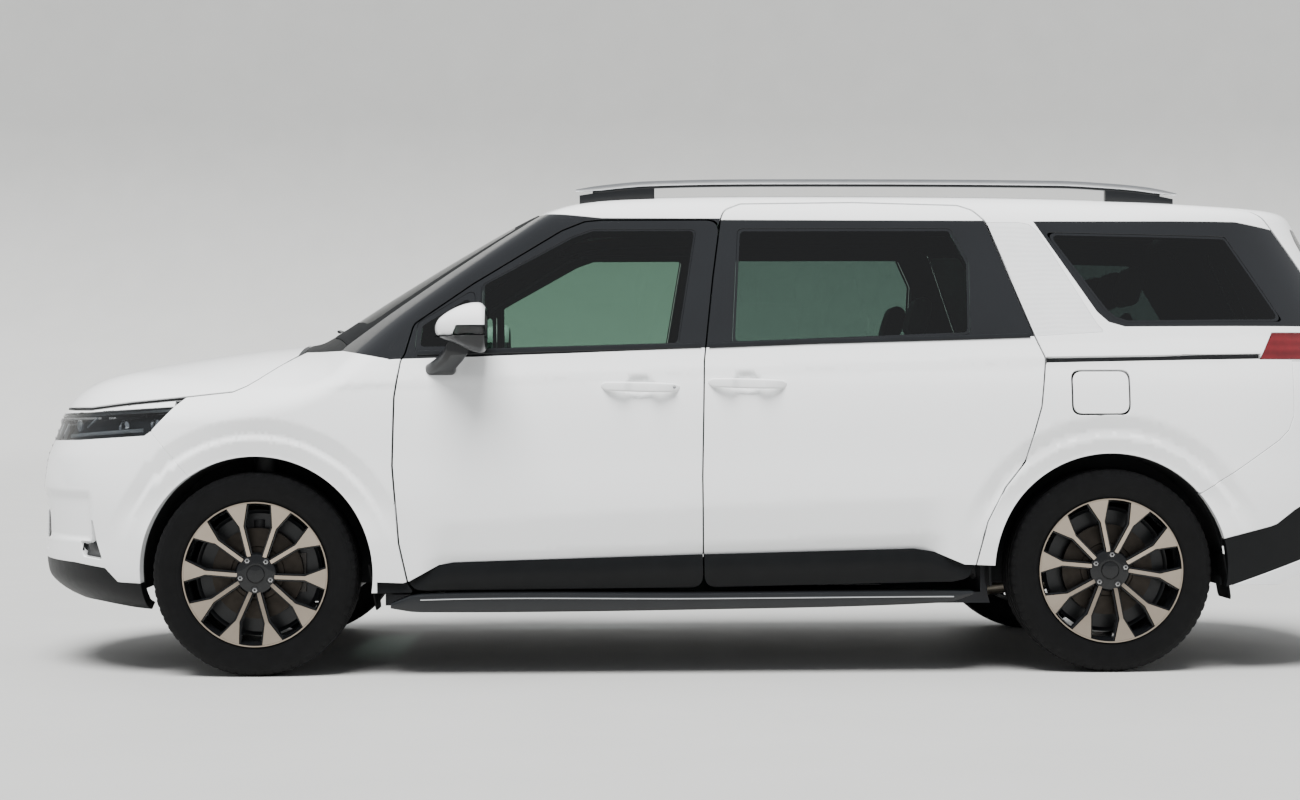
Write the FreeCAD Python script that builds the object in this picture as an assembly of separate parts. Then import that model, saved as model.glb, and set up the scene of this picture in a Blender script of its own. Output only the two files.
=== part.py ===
# Minivan: body panels, doors, glass, wheels, steering and cabin as separate solids.
# Frame: +X forward, +Y to the car's left, +Z up, origin on the ground at mid length and mid width.
import FreeCAD, Part
import math
import os

# Driving dimensions, in millimetres and degrees
LENGTH = 5155.0
WIDTH = 1995.0
HEIGHT = 1812.0
WHEELBASE = 3090.0
FRONT_OVERHANG = 935.0
TRACK = 1720.0
TYRE_DIAMETER = 736.0
TYRE_WIDTH = 235.0
RIM_DIAMETER = 524.0
PANEL_GAP = 5.0
OUTER_PANEL = 24.0
DOOR_THICKNESS = 90.0
ROOF_THICKNESS = 45.0
BUMPER_THICKNESS = 36.0
LAMP_DEPTH = 70.0
TAILGATE_THICKNESS = 62.0
SEAM_GAP = 0.3
GLASS_INSET = 3.0
GLASS_THICKNESS = 5.0
PILLAR_DEPTH = 50.0
RUNNING_CLEARANCE = 0.3
OVERRUN = 400.0

# Places that follow from them
HALF_WIDTH = WIDTH / 2
FRONT_X = LENGTH / 2
FRONT_AXLE_X = FRONT_X - FRONT_OVERHANG
REAR_AXLE_X = FRONT_AXLE_X - WHEELBASE
REAR_OVERHANG = LENGTH - FRONT_OVERHANG - WHEELBASE
AXLE_HEIGHT = TYRE_DIAMETER / 2
HALF_TRACK = TRACK / 2

V = FreeCAD.Vector
ORIGIN = V(0, 0, 0)
ALONG_Y = V(0, 1, 0)
ALONG_Z = V(0, 0, 1)


# Outline helpers
def blend(shares, place):
    """Smooth curve through hand-chosen (place, value) pairs."""
    last = len(shares) - 1
    if place <= shares[0][0]:
        return shares[0][1]
    if place >= shares[last][0]:
        return shares[last][1]
    low = 0
    while shares[low + 1][0] < place:
        low += 1
    (x0, y0), (x1, y1) = shares[low], shares[low + 1]
    before = shares[max(low - 1, 0)]
    after = shares[min(low + 2, last)]
    slope0 = (y1 - before[1]) / (x1 - before[0])
    slope1 = (after[1] - y0) / (after[0] - x0)
    run = x1 - x0
    t = (place - x0) / run
    rise = y1 - y0
    return (y0 + t * run * slope0
            + t * t * (3 * rise - run * (2 * slope0 + slope1))
            + t * t * t * (run * (slope0 + slope1) - 2 * rise))


def side_point(share):
    """A share of the wheelbase behind the front axle and of the height, as (x, z)."""
    return (FRONT_AXLE_X - share[0] * WHEELBASE, share[1] * HEIGHT)


def side_points(shares):
    return [side_point(share) for share in shares]


def turned_area(points):
    return sum(a[0] * b[1] - b[0] * a[1] for a, b in zip(points, points[1:] + points[:1]))


def grown(points, margin):
    """The closed outline moved outward by a margin, with mitred corners."""
    if margin == 0:
        return list(points)
    side = 1 if turned_area(points) > 0 else -1
    count = len(points)
    result = []
    for i in range(count):
        before, here, after = points[i - 1], points[i], points[(i + 1) % count]
        ux, uy = unit(before, here)
        vx, vy = unit(here, after)
        nx, ny = uy + vy, -(ux + vx)
        reach = side * margin * 2 / (nx * nx + ny * ny)
        result.append((here[0] + nx * reach, here[1] + ny * reach))
    return result


def unit(a, b):
    run = math.hypot(b[0] - a[0], b[1] - a[1])
    return (b[0] - a[0]) / run, (b[1] - a[1]) / run


CORNER_SHARE = 0.45


def rounded_wire(points, radius, place):
    """Closed wire of straight runs and tangent arcs. place turns (u, v) into a vector."""
    count = len(points)
    ends = []
    for i in range(count):
        before, here, after = points[i - 1], points[i], points[(i + 1) % count]
        ux, uy = unit(here, before)
        vx, vy = unit(here, after)
        opening = math.acos(max(-1, min(1, ux * vx + uy * vy)))
        room = CORNER_SHARE * min(math.dist(before, here), math.dist(here, after))
        back = min(radius / math.tan(opening / 2), room)
        start = (here[0] + ux * back, here[1] + uy * back)
        end = (here[0] + vx * back, here[1] + vy * back)
        bow = back * math.tan(opening / 2) * (1 / math.sin(opening / 2) - 1)
        mx, my = (ux + vx), (uy + vy)
        size = math.hypot(mx, my)
        if size * back < RUNNING_CLEARANCE:
            ends.append((here, None, here))
            continue
        ends.append((start, (here[0] + mx / size * bow, here[1] + my / size * bow), end))
    edges = []
    for i in range(count):
        start, middle, end = ends[i]
        if middle is not None:
            edges.append(Part.Arc(place(*start), place(*middle), place(*end)).toShape())
        following = ends[(i + 1) % count][0]
        edges.append(Part.LineSegment(place(*end), place(*following)).toShape())
    return Part.Wire(edges)


def side_prism(points, radius=0, low=0, high=HALF_WIDTH + OVERRUN):
    """Outline in side view (x, z), pushed through from y = low to y = high."""
    wire = rounded_wire(points, radius, lambda x, z: V(x, low, z))
    return Part.Face(wire).extrude(V(0, high - low, 0))


def top_prism(points, radius=0, low=0, high=HEIGHT + OVERRUN):
    wire = rounded_wire(points, radius, lambda x, y: V(x, y, low))
    return Part.Face(wire).extrude(V(0, 0, high - low))


def end_prism(points, radius, low, high):
    """Outline in end view (y, z), pushed through from x = low to x = high."""
    wire = rounded_wire(points, radius, lambda y, z: V(low, y, z))
    return Part.Face(wire).extrude(V(high - low, 0, 0))


def block(x0, x1, y0, y1, z0, z1):
    return Part.makeBox(x1 - x0, y1 - y0, z1 - z0, V(x0, y0, z0))


def across(radius, x, y0, y1, z):
    """A round bar across the car."""
    return Part.makeCylinder(radius, y1 - y0, V(x, y0, z), ALONG_Y)


def rod(radius, start, end):
    return Part.makeCylinder(radius, (end - start).Length, start, end - start)


def joined(shapes):
    whole = shapes[0].multiFuse(shapes[1:])
    return whole.removeSplitter()


def right_of(shape):
    return shape.mirror(ORIGIN, ALONG_Y)


def both_sides(shape):
    return Part.makeCompound(shape.Solids + right_of(shape).Solids)


def save(node, shape):
    solids = shape.Solids
    result = solids[0] if len(solids) == 1 else Part.makeCompound(solids)
    result.exportStep("parts/" + node + ".step")


# Master skin: half width by height, nose and tail by height, and a crowned top
section_shares = ((0.08, 0.935), (0.126, 0.955), (0.163, 0.972), (0.244, 0.988), (0.352, 1.0), (0.434, 0.996),
                  (0.515, 0.989), (0.575, 0.976), (0.623, 0.953), (0.672, 0.928), (0.759, 0.885), (0.84, 0.844),
                  (0.913, 0.806), (0.954, 0.78), (1.06, 0.70))
nose_shares = ((0.08, 0.60), (0.126, 0.70), (0.138, 0.842), (0.173, 0.96), (0.206, 0.988), (0.27, 0.99),
               (0.37, 1.0), (0.43, 0.99), (0.466, 0.965), (0.526, 0.917), (0.575, 0.86), (0.63, 0.78),
               (0.70, 0.68), (0.80, 0.58), (1.06, 0.40))
nose_start_shares = ((0.08, 0.0), (0.50, 0.0), (0.60, 0.16), (0.70, 0.36), (0.80, 0.42), (1.06, 0.42))
tail_shares = ((0.08, 0.90), (0.126, 0.945), (0.20, 0.985), (0.30, 1.0), (0.40, 1.0), (0.50, 0.985),
               (0.60, 0.958), (0.68, 0.925), (0.78, 0.858), (0.88, 0.775), (0.93, 0.735), (1.06, 0.63))
NOSE_ROUNDNESS = 2.25
TAIL_ROUNDNESS = 3.4
ring_height_shares = (0.10, 0.126, 0.15, 0.19, 0.25, 0.31, 0.37, 0.43, 0.49, 0.55, 0.60, 0.65, 0.70, 0.76,
                      0.82, 0.88, 0.93, 0.98, 1.05)
ring_station_shares = (0.0, 0.06, 0.13, 0.21, 0.30, 0.40, 0.51, 0.63, 0.76, 0.89, 1.0)
RING_MIDDLE_COUNT = 6

top_shares = ((-0.36, 0.47), (-0.302, 0.505), (-0.2808, 0.5377), (-0.2403, 0.5827), (-0.1808, 0.6173),
              (-0.115, 0.6385), (-0.0163, 0.6623), (0.0367, 0.6715), (0.0558, 0.681), (0.138, 0.7696),
              (0.2218, 0.8558), (0.3018, 0.9315), (0.34, 0.9565), (0.402, 0.9725), (0.499, 0.979),
              (0.693, 0.98), (0.92, 0.9755), (1.114, 0.962), (1.26, 0.94), (1.42, 0.89))
crown_shares = ((-0.36, 0.03), (-0.24, 0.045), (-0.10, 0.072), (0.03, 0.078), (0.12, 0.055), (0.30, 0.034),
                (0.45, 0.026), (1.0, 0.026), (1.42, 0.03))
sweep_shares = ((-0.36, 0.0), (0.0, 0.0), (0.06, 0.04), (0.30, 0.04), (0.40, 0.0), (1.42, 0.0))
top_station_shares = (-0.36, -0.33, -0.302, -0.2808, -0.26, -0.2403, -0.21, -0.1808, -0.15, -0.115, -0.065,
                      -0.0163, 0.02, 0.045, 0.065, 0.095, 0.138, 0.18, 0.2218, 0.265, 0.295, 0.32, 0.34,
                      0.37, 0.402, 0.45, 0.499, 0.60, 0.693, 0.80, 0.92, 1.02, 1.114, 1.19, 1.26, 1.34, 1.42)
top_across_shares = (-1.15, -1.0, -0.85, -0.68, -0.5, -0.25, 0.0, 0.25, 0.5, 0.68, 0.85, 1.0, 1.15)
CROWN_POWER = 2.6
CROWN_REACH_SHARE = 0.85


def half_width(z):
    return HALF_WIDTH * blend(section_shares, z / HEIGHT)


def plan_curve(z, inset):
    """One side of the car's outline at a height, from tail to nose."""
    share = z / HEIGHT
    wide = half_width(z) - inset
    nose_from = FRONT_AXLE_X - WHEELBASE * blend(nose_start_shares, share)
    nose = FRONT_AXLE_X + FRONT_OVERHANG * blend(nose_shares, share) - inset
    tail = REAR_AXLE_X - REAR_OVERHANG * blend(tail_shares, share) + inset
    points = []
    for turn in ring_station_shares:
        angle = turn * math.pi / 2
        along = math.cos(angle) ** (2 / TAIL_ROUNDNESS) if turn < 1 else 0
        points.append((REAR_AXLE_X + (tail - REAR_AXLE_X) * along,
                       wide * math.sin(angle) ** (2 / TAIL_ROUNDNESS)))
    for i in range(1, RING_MIDDLE_COUNT):
        points.append((REAR_AXLE_X + (nose_from - REAR_AXLE_X) * i / RING_MIDDLE_COUNT, wide))
    for turn in reversed(ring_station_shares):
        angle = turn * math.pi / 2
        along = math.cos(angle) ** (2 / NOSE_ROUNDNESS) if turn < 1 else 0
        points.append((nose_from + (nose - nose_from) * along,
                       wide * math.sin(angle) ** (2 / NOSE_ROUNDNESS)))
    return points


def top_height(x, y):
    """Height of the bonnet, windscreen and roof at a place in plan."""
    out = abs(y) / HALF_WIDTH
    behind = (FRONT_AXLE_X - x) / WHEELBASE
    swept = behind - blend(sweep_shares, behind) * out * out
    drop = blend(crown_shares, behind) * (out / CROWN_REACH_SHARE) ** CROWN_POWER
    return HEIGHT * (blend(top_shares, swept) - drop)


def top_body(inset):
    rows = []
    for behind in top_station_shares:
        x = FRONT_AXLE_X - behind * WHEELBASE
        row = []
        for out in top_across_shares:
            y = out * HALF_WIDTH
            rise = top_height(x + inset, y) - top_height(x - inset, y) if inset else 0
            run = 2 * inset if inset else 1
            lean = math.hypot(1, rise / run)
            row.append(V(x, y, top_height(x, y) - inset * lean))
        rows.append(row)
    surface = Part.BSplineSurface()
    surface.interpolate(rows)
    return surface.toShape().extrude(V(0, 0, -(HEIGHT + OVERRUN)))


def ring_body(inset):
    """Closed side skin from below the sills to above the roof."""
    halves = []
    for side in (1, -1):
        rows = []
        for share in ring_height_shares:
            z = share * HEIGHT
            rows.append([V(x, y * side, z) for x, y in plan_curve(z, inset)])
        surface = Part.BSplineSurface()
        surface.interpolate(rows)
        half = surface.toShape()
        half.fixTolerance(RIM_TOLERANCE)
        halves.append(half)
    caps = []
    for share in (ring_height_shares[0], ring_height_shares[-1]):
        z = share * HEIGHT
        rim = [edge for half in halves for edge in half.Edges if level(edge, z)]
        caps.append(Part.makeFace(Part.Wire(Part.__sortEdges__(rim)), "Part::FaceMakerSimple"))
    shell = Part.Shell(Part.makeCompound(halves + caps).Faces)
    shell.sewShape()
    return Part.Solid(shell)


LEVEL_TOLERANCE = 0.01
RIM_TOLERANCE = 0.001


def level(edge, z):
    box = edge.BoundBox
    return abs(box.ZMin - z) < LEVEL_TOLERANCE and abs(box.ZMax - z) < LEVEL_TOLERANCE


kept_skins = {}


def skin(inset):
    """The car's outside, moved inward by an inset, as one solid."""
    if inset not in kept_skins:
        body = ring_body(inset).common(top_body(inset))
        kept_skins[inset] = body.Solids[0]
    return kept_skins[inset]


def wall(prism, outer, inner):
    """The part of the body wall inside a prism, between two depths."""
    return prism.common(skin(outer)).cut(skin(inner))


# Side view outlines, as shares of the wheelbase behind the front axle and of the height
front_door_shares = ((0.1692, 0.6262), (0.1742, 0.6415), (0.1831, 0.7009), (0.2518, 0.7817), (0.3573, 0.8909),
                     (0.3845, 0.9095), (0.4047, 0.9128), (0.5456, 0.9128), (0.5357, 0.7943), (0.5241, 0.6235),
                     (0.5212, 0.3948), (0.5225, 0.1706), (0.2012, 0.1672), (0.1861, 0.1701), (0.178, 0.1829),
                     (0.1678, 0.2632), (0.1605, 0.4173), (0.1625, 0.5543))
sliding_door_shares = ((0.5456, 0.9128), (0.5500, 0.9330), (0.5700, 0.9470), (0.7046, 0.9500), (0.8302, 0.9430),
                       (0.8471, 0.9322), (0.861, 0.9096), (0.9135, 0.6725), (0.9249, 0.6268), (0.9183, 0.5314),
                       (0.8991, 0.4224), (0.8749, 0.371), (0.8541, 0.302), (0.8408, 0.2158), (0.8324, 0.1889),
                       (0.8137, 0.1801), (0.5225, 0.1706), (0.5212, 0.3948), (0.5241, 0.6235), (0.5357, 0.7943))
vent_glass_shares = ((0.1880, 0.7040), (0.2554, 0.7738), (0.2545, 0.6473), (0.1850, 0.6450))
front_glass_shares = ((0.264, 0.7822), (0.3692, 0.8787), (0.3928, 0.8931), (0.5169, 0.8934), (0.4941, 0.6582),
                      (0.2641, 0.6479))
sliding_glass_shares = ((0.5658, 0.8944), (0.8192, 0.8943), (0.8399, 0.8226), (0.8377, 0.676), (0.557, 0.6583))
quarter_glass_shares = ((0.9323, 0.8852), (1.1498, 0.8763), (1.215, 0.7021), (1.0245, 0.6993), (1.0093, 0.7072),
                        (0.998, 0.7251))
fender_shares = ((-0.0959, 0.5368), (-0.0836, 0.555), (-0.0281, 0.5648), (-0.0136, 0.5761), (-0.0028, 0.589),
                 (0.0202, 0.6212), (0.0434, 0.6491), (0.0960, 0.6491), (0.1640, 0.6262), (0.1573, 0.5543),
                 (0.1553, 0.4173), (0.1626, 0.2632), (0.1728, 0.1829), (0.1809, 0.1651), (0.13, 0.1651),
                 (-0.05, 0.30), (-0.0753, 0.394), (-0.1234, 0.4874))
bonnet_shares = ((-0.36, 0.534), (-0.2107, 0.534), (-0.152, 0.5449), (-0.0836, 0.555), (-0.0281, 0.5648),
                 (-0.0136, 0.5761), (-0.0028, 0.589), (0.0202, 0.6212), (0.0360, 0.6430), (0.0360, 0.80),
                 (-0.36, 0.80))
lamp_shares = ((-0.36, 0.5180), (-0.2097, 0.5261), (-0.0959, 0.5368), (-0.1234, 0.4874), (-0.131, 0.4789),
               (-0.2209, 0.4698), (-0.36, 0.4650))
front_bumper_shares = ((-0.36, 0.529), (-0.2107, 0.529), (-0.152, 0.5399), (-0.0959, 0.5480), (-0.0959, 0.5368),
                       (-0.1234, 0.4874), (-0.0753, 0.394), (-0.05, 0.30), (-0.05, 0.126), (-0.36, 0.126))
side_shares = ((0.0960, 0.6491), (0.0434, 0.6491), (0.0434, 1.04), (1.30, 1.04), (1.30, 0.1722),
               (0.80, 0.1722), (0.1809, 0.1651), (0.1640, 0.6262))
rear_bumper_shares = ((0.95, 0.20), (1.05, 0.3575), (1.107, 0.3575), (1.1597, 0.4157), (1.201, 0.4628),
                      (1.2128, 0.4824), (1.2199, 0.5118), (1.222, 0.6213), (1.45, 0.6213), (1.45, 0.145),
                      (1.12, 0.145), (0.95, 0.145))
tail_lamp_shares = ((1.181, 0.6254), (1.1985, 0.6784), (1.45, 0.6810), (1.45, 0.6254))
fuel_flap_shares = ((0.9544, 0.6027), (1.0216, 0.6027), (1.0216, 0.5153), (0.9544, 0.5153))

DOOR_CORNER = 45.0
GLASS_CORNER = 22.0
FLAP_CORNER = 35.0
PANEL_CORNER = 12.0
ARCH_RADIUS = 424.0


def arch(axle_x, margin=0):
    return across(ARCH_RADIUS + margin, axle_x, 0, HALF_WIDTH + OVERRUN, AXLE_HEIGHT)


# Plan outlines of the windscreen and the roof, as shares of the wheelbase and of the half width
windscreen_shares = ((0.064, 0.0), (0.073, 0.40), (0.100, 0.735), (0.330, 0.655), (0.325, 0.40), (0.322, 0.0))
roof_shares = ((0.327, 0.0), (0.330, 0.40), (0.335, 0.655), (0.345, 0.70), (1.150, 0.70), (1.165, 0.50),
               (1.172, 0.0))
TAILGATE_CORNER = 40.0
ROOF_CUT_SHARE = 0.90


def roof_edge():
    """Half width of the roof panel where the sliding doors end."""
    return roof_shares[3][1] * HALF_WIDTH


def plan_points(shares):
    """Half a plan outline and its mirror image, as one closed outline."""
    half = [(FRONT_AXLE_X - behind * WHEELBASE, out * HALF_WIDTH) for behind, out in shares]
    return half + [(x, -y) for x, y in reversed(half) if y > 0]


tailgate_shares = ((0.0, 0.352), (0.62, 0.352), (0.68, 0.385), (0.70, 0.46), (0.70, 1.06), (0.0, 1.06))
tailgate_glass_shares = ((0.0, 0.70), (0.63, 0.70), (0.645, 0.725), (0.61, 0.872), (0.585, 0.90), (0.0, 0.90))
TAILGATE_SEAM_SHARE = 1.172


def end_points(shares):
    half = [(out * HALF_WIDTH, up * HEIGHT) for out, up in shares]
    return half + [(-y, z) for y, z in reversed(half) if y > 0]


def tailgate_prism(margin):
    seam = FRONT_AXLE_X - TAILGATE_SEAM_SHARE * WHEELBASE - PANEL_GAP + margin
    outline = grown(end_points(tailgate_shares), margin)
    return end_prism(outline, TAILGATE_CORNER, -LENGTH, seam)


# Doors
HANDLE_LENGTH = 215.0
HANDLE_WIDTH = 26.0
HANDLE_STANDOFF = 26.0
HANDLE_DEPTH = 12.0
handle_shares = ((0.449, 0.5725), (0.574, 0.5790))


def door_handle(place_share):
    """Pull bar on two feet, standing off the door."""
    x, z = side_point(place_share)
    y = half_width(z)
    grip = block(x - HANDLE_LENGTH / 2, x + HANDLE_LENGTH / 2, y + HANDLE_STANDOFF - HANDLE_DEPTH,
                 y + HANDLE_STANDOFF, z - HANDLE_WIDTH / 2, z + HANDLE_WIDTH / 2)
    feet = []
    for side in (-1, 1):
        inner = x + side * (HANDLE_LENGTH / 2 - HANDLE_WIDTH)
        outer = x + side * HANDLE_LENGTH / 2
        feet.append(block(min(inner, outer), max(inner, outer), y - HANDLE_STANDOFF,
                          y + HANDLE_STANDOFF - HANDLE_DEPTH, z - HANDLE_WIDTH / 2, z + HANDLE_WIDTH / 2))
    return joined([grip] + feet)


def front_door():
    outline = grown(side_points(front_door_shares), -PANEL_GAP / 2)
    door = wall(side_prism(outline, DOOR_CORNER, roof_edge() + PANEL_GAP), 0, DOOR_THICKNESS)
    for window in (vent_glass_shares, front_glass_shares):
        door = door.cut(side_prism(side_points(window), GLASS_CORNER))
    return joined([door.Solids[0], door_handle(handle_shares[0])])


def sliding_door():
    outline = grown(side_points(sliding_door_shares), -PANEL_GAP / 2)
    door = wall(side_prism(outline, DOOR_CORNER, roof_edge() + PANEL_GAP), 0, DOOR_THICKNESS)
    door = door.cut(side_prism(side_points(sliding_glass_shares), GLASS_CORNER))
    return joined([door.Solids[0], door_handle(handle_shares[1])])


def pane(shares):
    return wall(side_prism(side_points(shares), GLASS_CORNER), GLASS_INSET, GLASS_INSET + GLASS_THICKNESS)


# Mirrors: a foot on the door and a rounded housing
MIRROR_LENGTH = 150.0
MIRROR_HEIGHT = 175.0
MIRROR_WIDTH = 235.0
MIRROR_GAP = 40.0
MIRROR_CORNER = 40.0
MIRROR_FOOT_HEIGHT = 60.0
MIRROR_FOOT_LENGTH = 90.0
mirror_share = (0.243, 0.690)


def mirror():
    x, z = side_point(mirror_share)
    root = half_width(z)
    shape = block(x - MIRROR_LENGTH / 2, x + MIRROR_LENGTH / 2, root + MIRROR_GAP,
                  root + MIRROR_GAP + MIRROR_WIDTH, z - MIRROR_HEIGHT / 2, z + MIRROR_HEIGHT / 2)
    shape = shape.makeFillet(MIRROR_CORNER, shape.Edges)
    low = z - MIRROR_HEIGHT / 2 - MIRROR_FOOT_HEIGHT / 2
    foot_x = x + MIRROR_LENGTH / 2
    foot = block(foot_x - MIRROR_FOOT_LENGTH, foot_x, half_width(low), root + MIRROR_GAP + MIRROR_FOOT_LENGTH,
                 low, low + MIRROR_FOOT_HEIGHT)
    neck = block(foot_x - MIRROR_FOOT_LENGTH, foot_x - MIRROR_CORNER, root + MIRROR_GAP,
                 root + MIRROR_GAP + MIRROR_FOOT_LENGTH, low, z)
    return joined([shape, foot, neck])


# Body side: quarter panel, pillars, roof rail and sill
SILL_INSIDE = 790.0
SILL_OUTSIDE = 885.0
SILL_TOP = 425.0
SILL_BOTTOM = 236.0
b_pillar_shares = ((0.490, 0.16), (0.545, 0.16), (0.575, 0.95), (0.525, 0.95))
HINGE_PILLAR_REAR = 1156.0
HINGE_PILLAR_FRONT = 1204.0
HINGE_PILLAR_TOP = 1110.0
FILLER_RADIUS = 38.0
FLAP_GAP = 6.0
FLAP_POCKET = 55.0
FLAP_THICKNESS = 10.0


def door_space(depth):
    """Room that each side door takes up on one side, with the gap round it."""
    spaces = []
    for shares in (front_door_shares, sliding_door_shares):
        prism = side_prism(grown(side_points(shares), PANEL_GAP / 2), DOOR_CORNER, roof_edge())
        spaces.append(prism.cut(skin(depth)))
    return spaces


def body_side():
    panel = side_prism(side_points(side_shares))
    panel = panel.cut(arch(REAR_AXLE_X))
    for shares in (rear_bumper_shares, tail_lamp_shares):
        panel = panel.cut(side_prism(grown(side_points(shares), SEAM_GAP)))
    panel = panel.cut(side_prism(side_points(quarter_glass_shares), PANEL_CORNER))
    side = wall(panel, 0, DOOR_THICKNESS)
    for space in door_space(DOOR_THICKNESS):
        side = side.cut(space)
    side = side.cut(top_prism(plan_points(windscreen_shares)))
    side = side.cut(top_prism(plan_points(cowl_shares)))
    side = side.cut(top_prism(plan_points(roof_shares), 0, HEIGHT * ROOF_CUT_SHARE))
    side = side.cut(tailgate_prism(PANEL_GAP / 2))
    side = largest(side)
    post = wall(side_prism(side_points(b_pillar_shares), 0, roof_edge()), DOOR_THICKNESS + RUNNING_CLEARANCE,
                DOOR_THICKNESS + PILLAR_DEPTH)
    from_arch = ARCH_RADIUS + LINER_THICKNESS + PANEL_GAP
    sill = block(REAR_AXLE_X + from_arch, FRONT_AXLE_X - from_arch, SILL_INSIDE, SILL_OUTSIDE, SILL_BOTTOM,
                 SILL_TOP)
    pillar = block(HINGE_PILLAR_REAR, HINGE_PILLAR_FRONT, SILL_INSIDE, SILL_OUTSIDE, SILL_BOTTOM,
                   HINGE_PILLAR_TOP)
    frame = joined([post, sill, pillar])
    for space in door_space(DOOR_THICKNESS + RUNNING_CLEARANCE):
        frame = frame.cut(space)
    return side.fuse(frame)


def fuel_pocket():
    """Room behind the flap, with the filler cap left standing in it."""
    room = side_prism(grown(side_points(fuel_flap_shares), FLAP_GAP / 2), FLAP_CORNER).cut(skin(FLAP_POCKET))
    (x0, z0), (x1, z1) = side_point(fuel_flap_shares[0]), side_point(fuel_flap_shares[2])
    cap = across(FILLER_RADIUS, (x0 + x1) / 2, 0, HALF_WIDTH, (z0 + z1) / 2)
    return room.cut(cap.common(skin(FLAP_THICKNESS + RUNNING_CLEARANCE)))


# Wheels
HUB_RADIUS = 78.0
HUB_BORE = 24.0
SPOKE_PAIRS = 5
SPOKE_SPREAD = 16.8
FRONT_SPOKE_TURN = 51.0
REAR_SPOKE_TURN = 33.0
RIM_WALL = 12.0
RIM_WIDTH = 214.0
DISC_RADIUS = 165.0
DISC_THICKNESS = 28.0
WHEEL_FACE = 70.0
SPOKE_DEPTH = 38.0
SPOKE_TIP_WIDTH = 64.0
SPOKE_ROOT_WIDTH = 20.0
LUG_CIRCLE = 114.3
LUG_HOLE_RADIUS = 7.0
LUG_COUNT = 5
SIDEWALL_ROUND = 30.0
SHOULDER_SET = 10.0
BEAD_HEIGHT = 10.0
STUB_LENGTH = 60.0


def turned(profile):
    """Solid of revolution about the wheel's own axis. profile is (y, radius) pairs."""
    points = [V(r, y, 0) for y, r in profile]
    face = Part.Face(Part.makePolygon(points + points[:1]))
    return face.revolve(ORIGIN, ALONG_Y, 360)


def tyre():
    half = TYRE_WIDTH / 2
    outer = TYRE_DIAMETER / 2
    bead = RIM_DIAMETER / 2 - BEAD_HEIGHT
    tread = half - SIDEWALL_ROUND
    waist = (outer + bead) / 2
    seat_half = RIM_WIDTH / 2 - RIM_WALL - RUNNING_CLEARANCE
    flange = RIM_DIAMETER / 2 + RUNNING_CLEARANCE
    shoulder = half - SHOULDER_SET
    right = [(tread, outer), (shoulder, outer - SIDEWALL_ROUND), (half, waist), (half - RIM_WALL, flange + BEAD_HEIGHT),
             (seat_half, flange), (seat_half, bead + RUNNING_CLEARANCE)]
    left = [(-y, radius) for y, radius in reversed(right)]
    return turned(left + right)


def spoke(angle):
    tip = RIM_DIAMETER / 2 - RIM_WALL
    root = HUB_RADIUS - RIM_WALL
    outline = [V(-SPOKE_ROOT_WIDTH / 2, WHEEL_FACE, root), V(SPOKE_ROOT_WIDTH / 2, WHEEL_FACE, root),
               V(SPOKE_ROOT_WIDTH / 2, WHEEL_FACE, root + (tip - root) / 2),
               V(SPOKE_TIP_WIDTH / 2, WHEEL_FACE, tip), V(-SPOKE_TIP_WIDTH / 2, WHEEL_FACE, tip),
               V(-SPOKE_ROOT_WIDTH / 2, WHEEL_FACE, root + (tip - root) / 2)]
    face = Part.Face(Part.makePolygon(outline + outline[:1]))
    bar = face.extrude(V(0, SPOKE_DEPTH, 0))
    bar.rotate(ORIGIN, ALONG_Y, angle)
    return bar


def wheel(first_turn):
    half = RIM_WIDTH / 2
    outer = RIM_DIAMETER / 2
    bead = outer - BEAD_HEIGHT
    barrel = turned([(-half, outer), (-half + RIM_WALL, outer), (-half + RIM_WALL, bead),
                     (half - RIM_WALL, bead), (half - RIM_WALL, outer), (half, outer), (half, bead - RIM_WALL),
                     (-half, bead - RIM_WALL)])
    hub = turned([(WHEEL_FACE - SPOKE_DEPTH, 0), (WHEEL_FACE + SPOKE_DEPTH - RIM_WALL, 0),
                  (WHEEL_FACE + SPOKE_DEPTH - RIM_WALL, HUB_RADIUS - RIM_WALL), (WHEEL_FACE, HUB_RADIUS),
                  (WHEEL_FACE - SPOKE_DEPTH, HUB_RADIUS)])
    back = WHEEL_FACE - SPOKE_DEPTH
    disc = turned([(back - DISC_THICKNESS, 0), (back, 0), (back, DISC_RADIUS), (back - DISC_THICKNESS, DISC_RADIUS)])
    spokes = []
    for pair in range(SPOKE_PAIRS):
        for side in (-1, 1):
            spokes.append(spoke(first_turn + pair * 360 / SPOKE_PAIRS + side * SPOKE_SPREAD))
    whole = joined([barrel, hub, disc] + spokes)
    bore = across(HUB_BORE, 0, back - DISC_THICKNESS - OVERRUN, back, 0)
    holes = [bore]
    for i in range(LUG_COUNT):
        angle = math.radians(first_turn + i * 360 / LUG_COUNT)
        reach = LUG_CIRCLE / 2
        holes.append(across(LUG_HOLE_RADIUS, reach * math.sin(angle), back, WHEEL_FACE + SPOKE_DEPTH,
                            reach * math.cos(angle)))
    return whole.cut(Part.makeCompound(holes))


def at_wheel(shape, axle_x, side):
    placed = shape.copy() if side > 0 else right_of(shape)
    placed.translate(V(axle_x, side * HALF_TRACK, AXLE_HEIGHT))
    return placed


# Steering knuckles on vertical kingpins, with the brake calipers
KINGPIN_INSET = 26.0
KINGPIN_RADIUS = 15.0
KINGPIN_BOTTOM = 236.0
KINGPIN_TOP = 560.0
EYE_RADIUS = 24.0
EYE_HEIGHT = 34.0
UPRIGHT_RADIUS = 40.0
CALIPER_LENGTH = 70.0
CALIPER_HEIGHT = 140.0
CALIPER_GAP = 6.0
BRACKET_HEIGHT = 76.0


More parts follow.
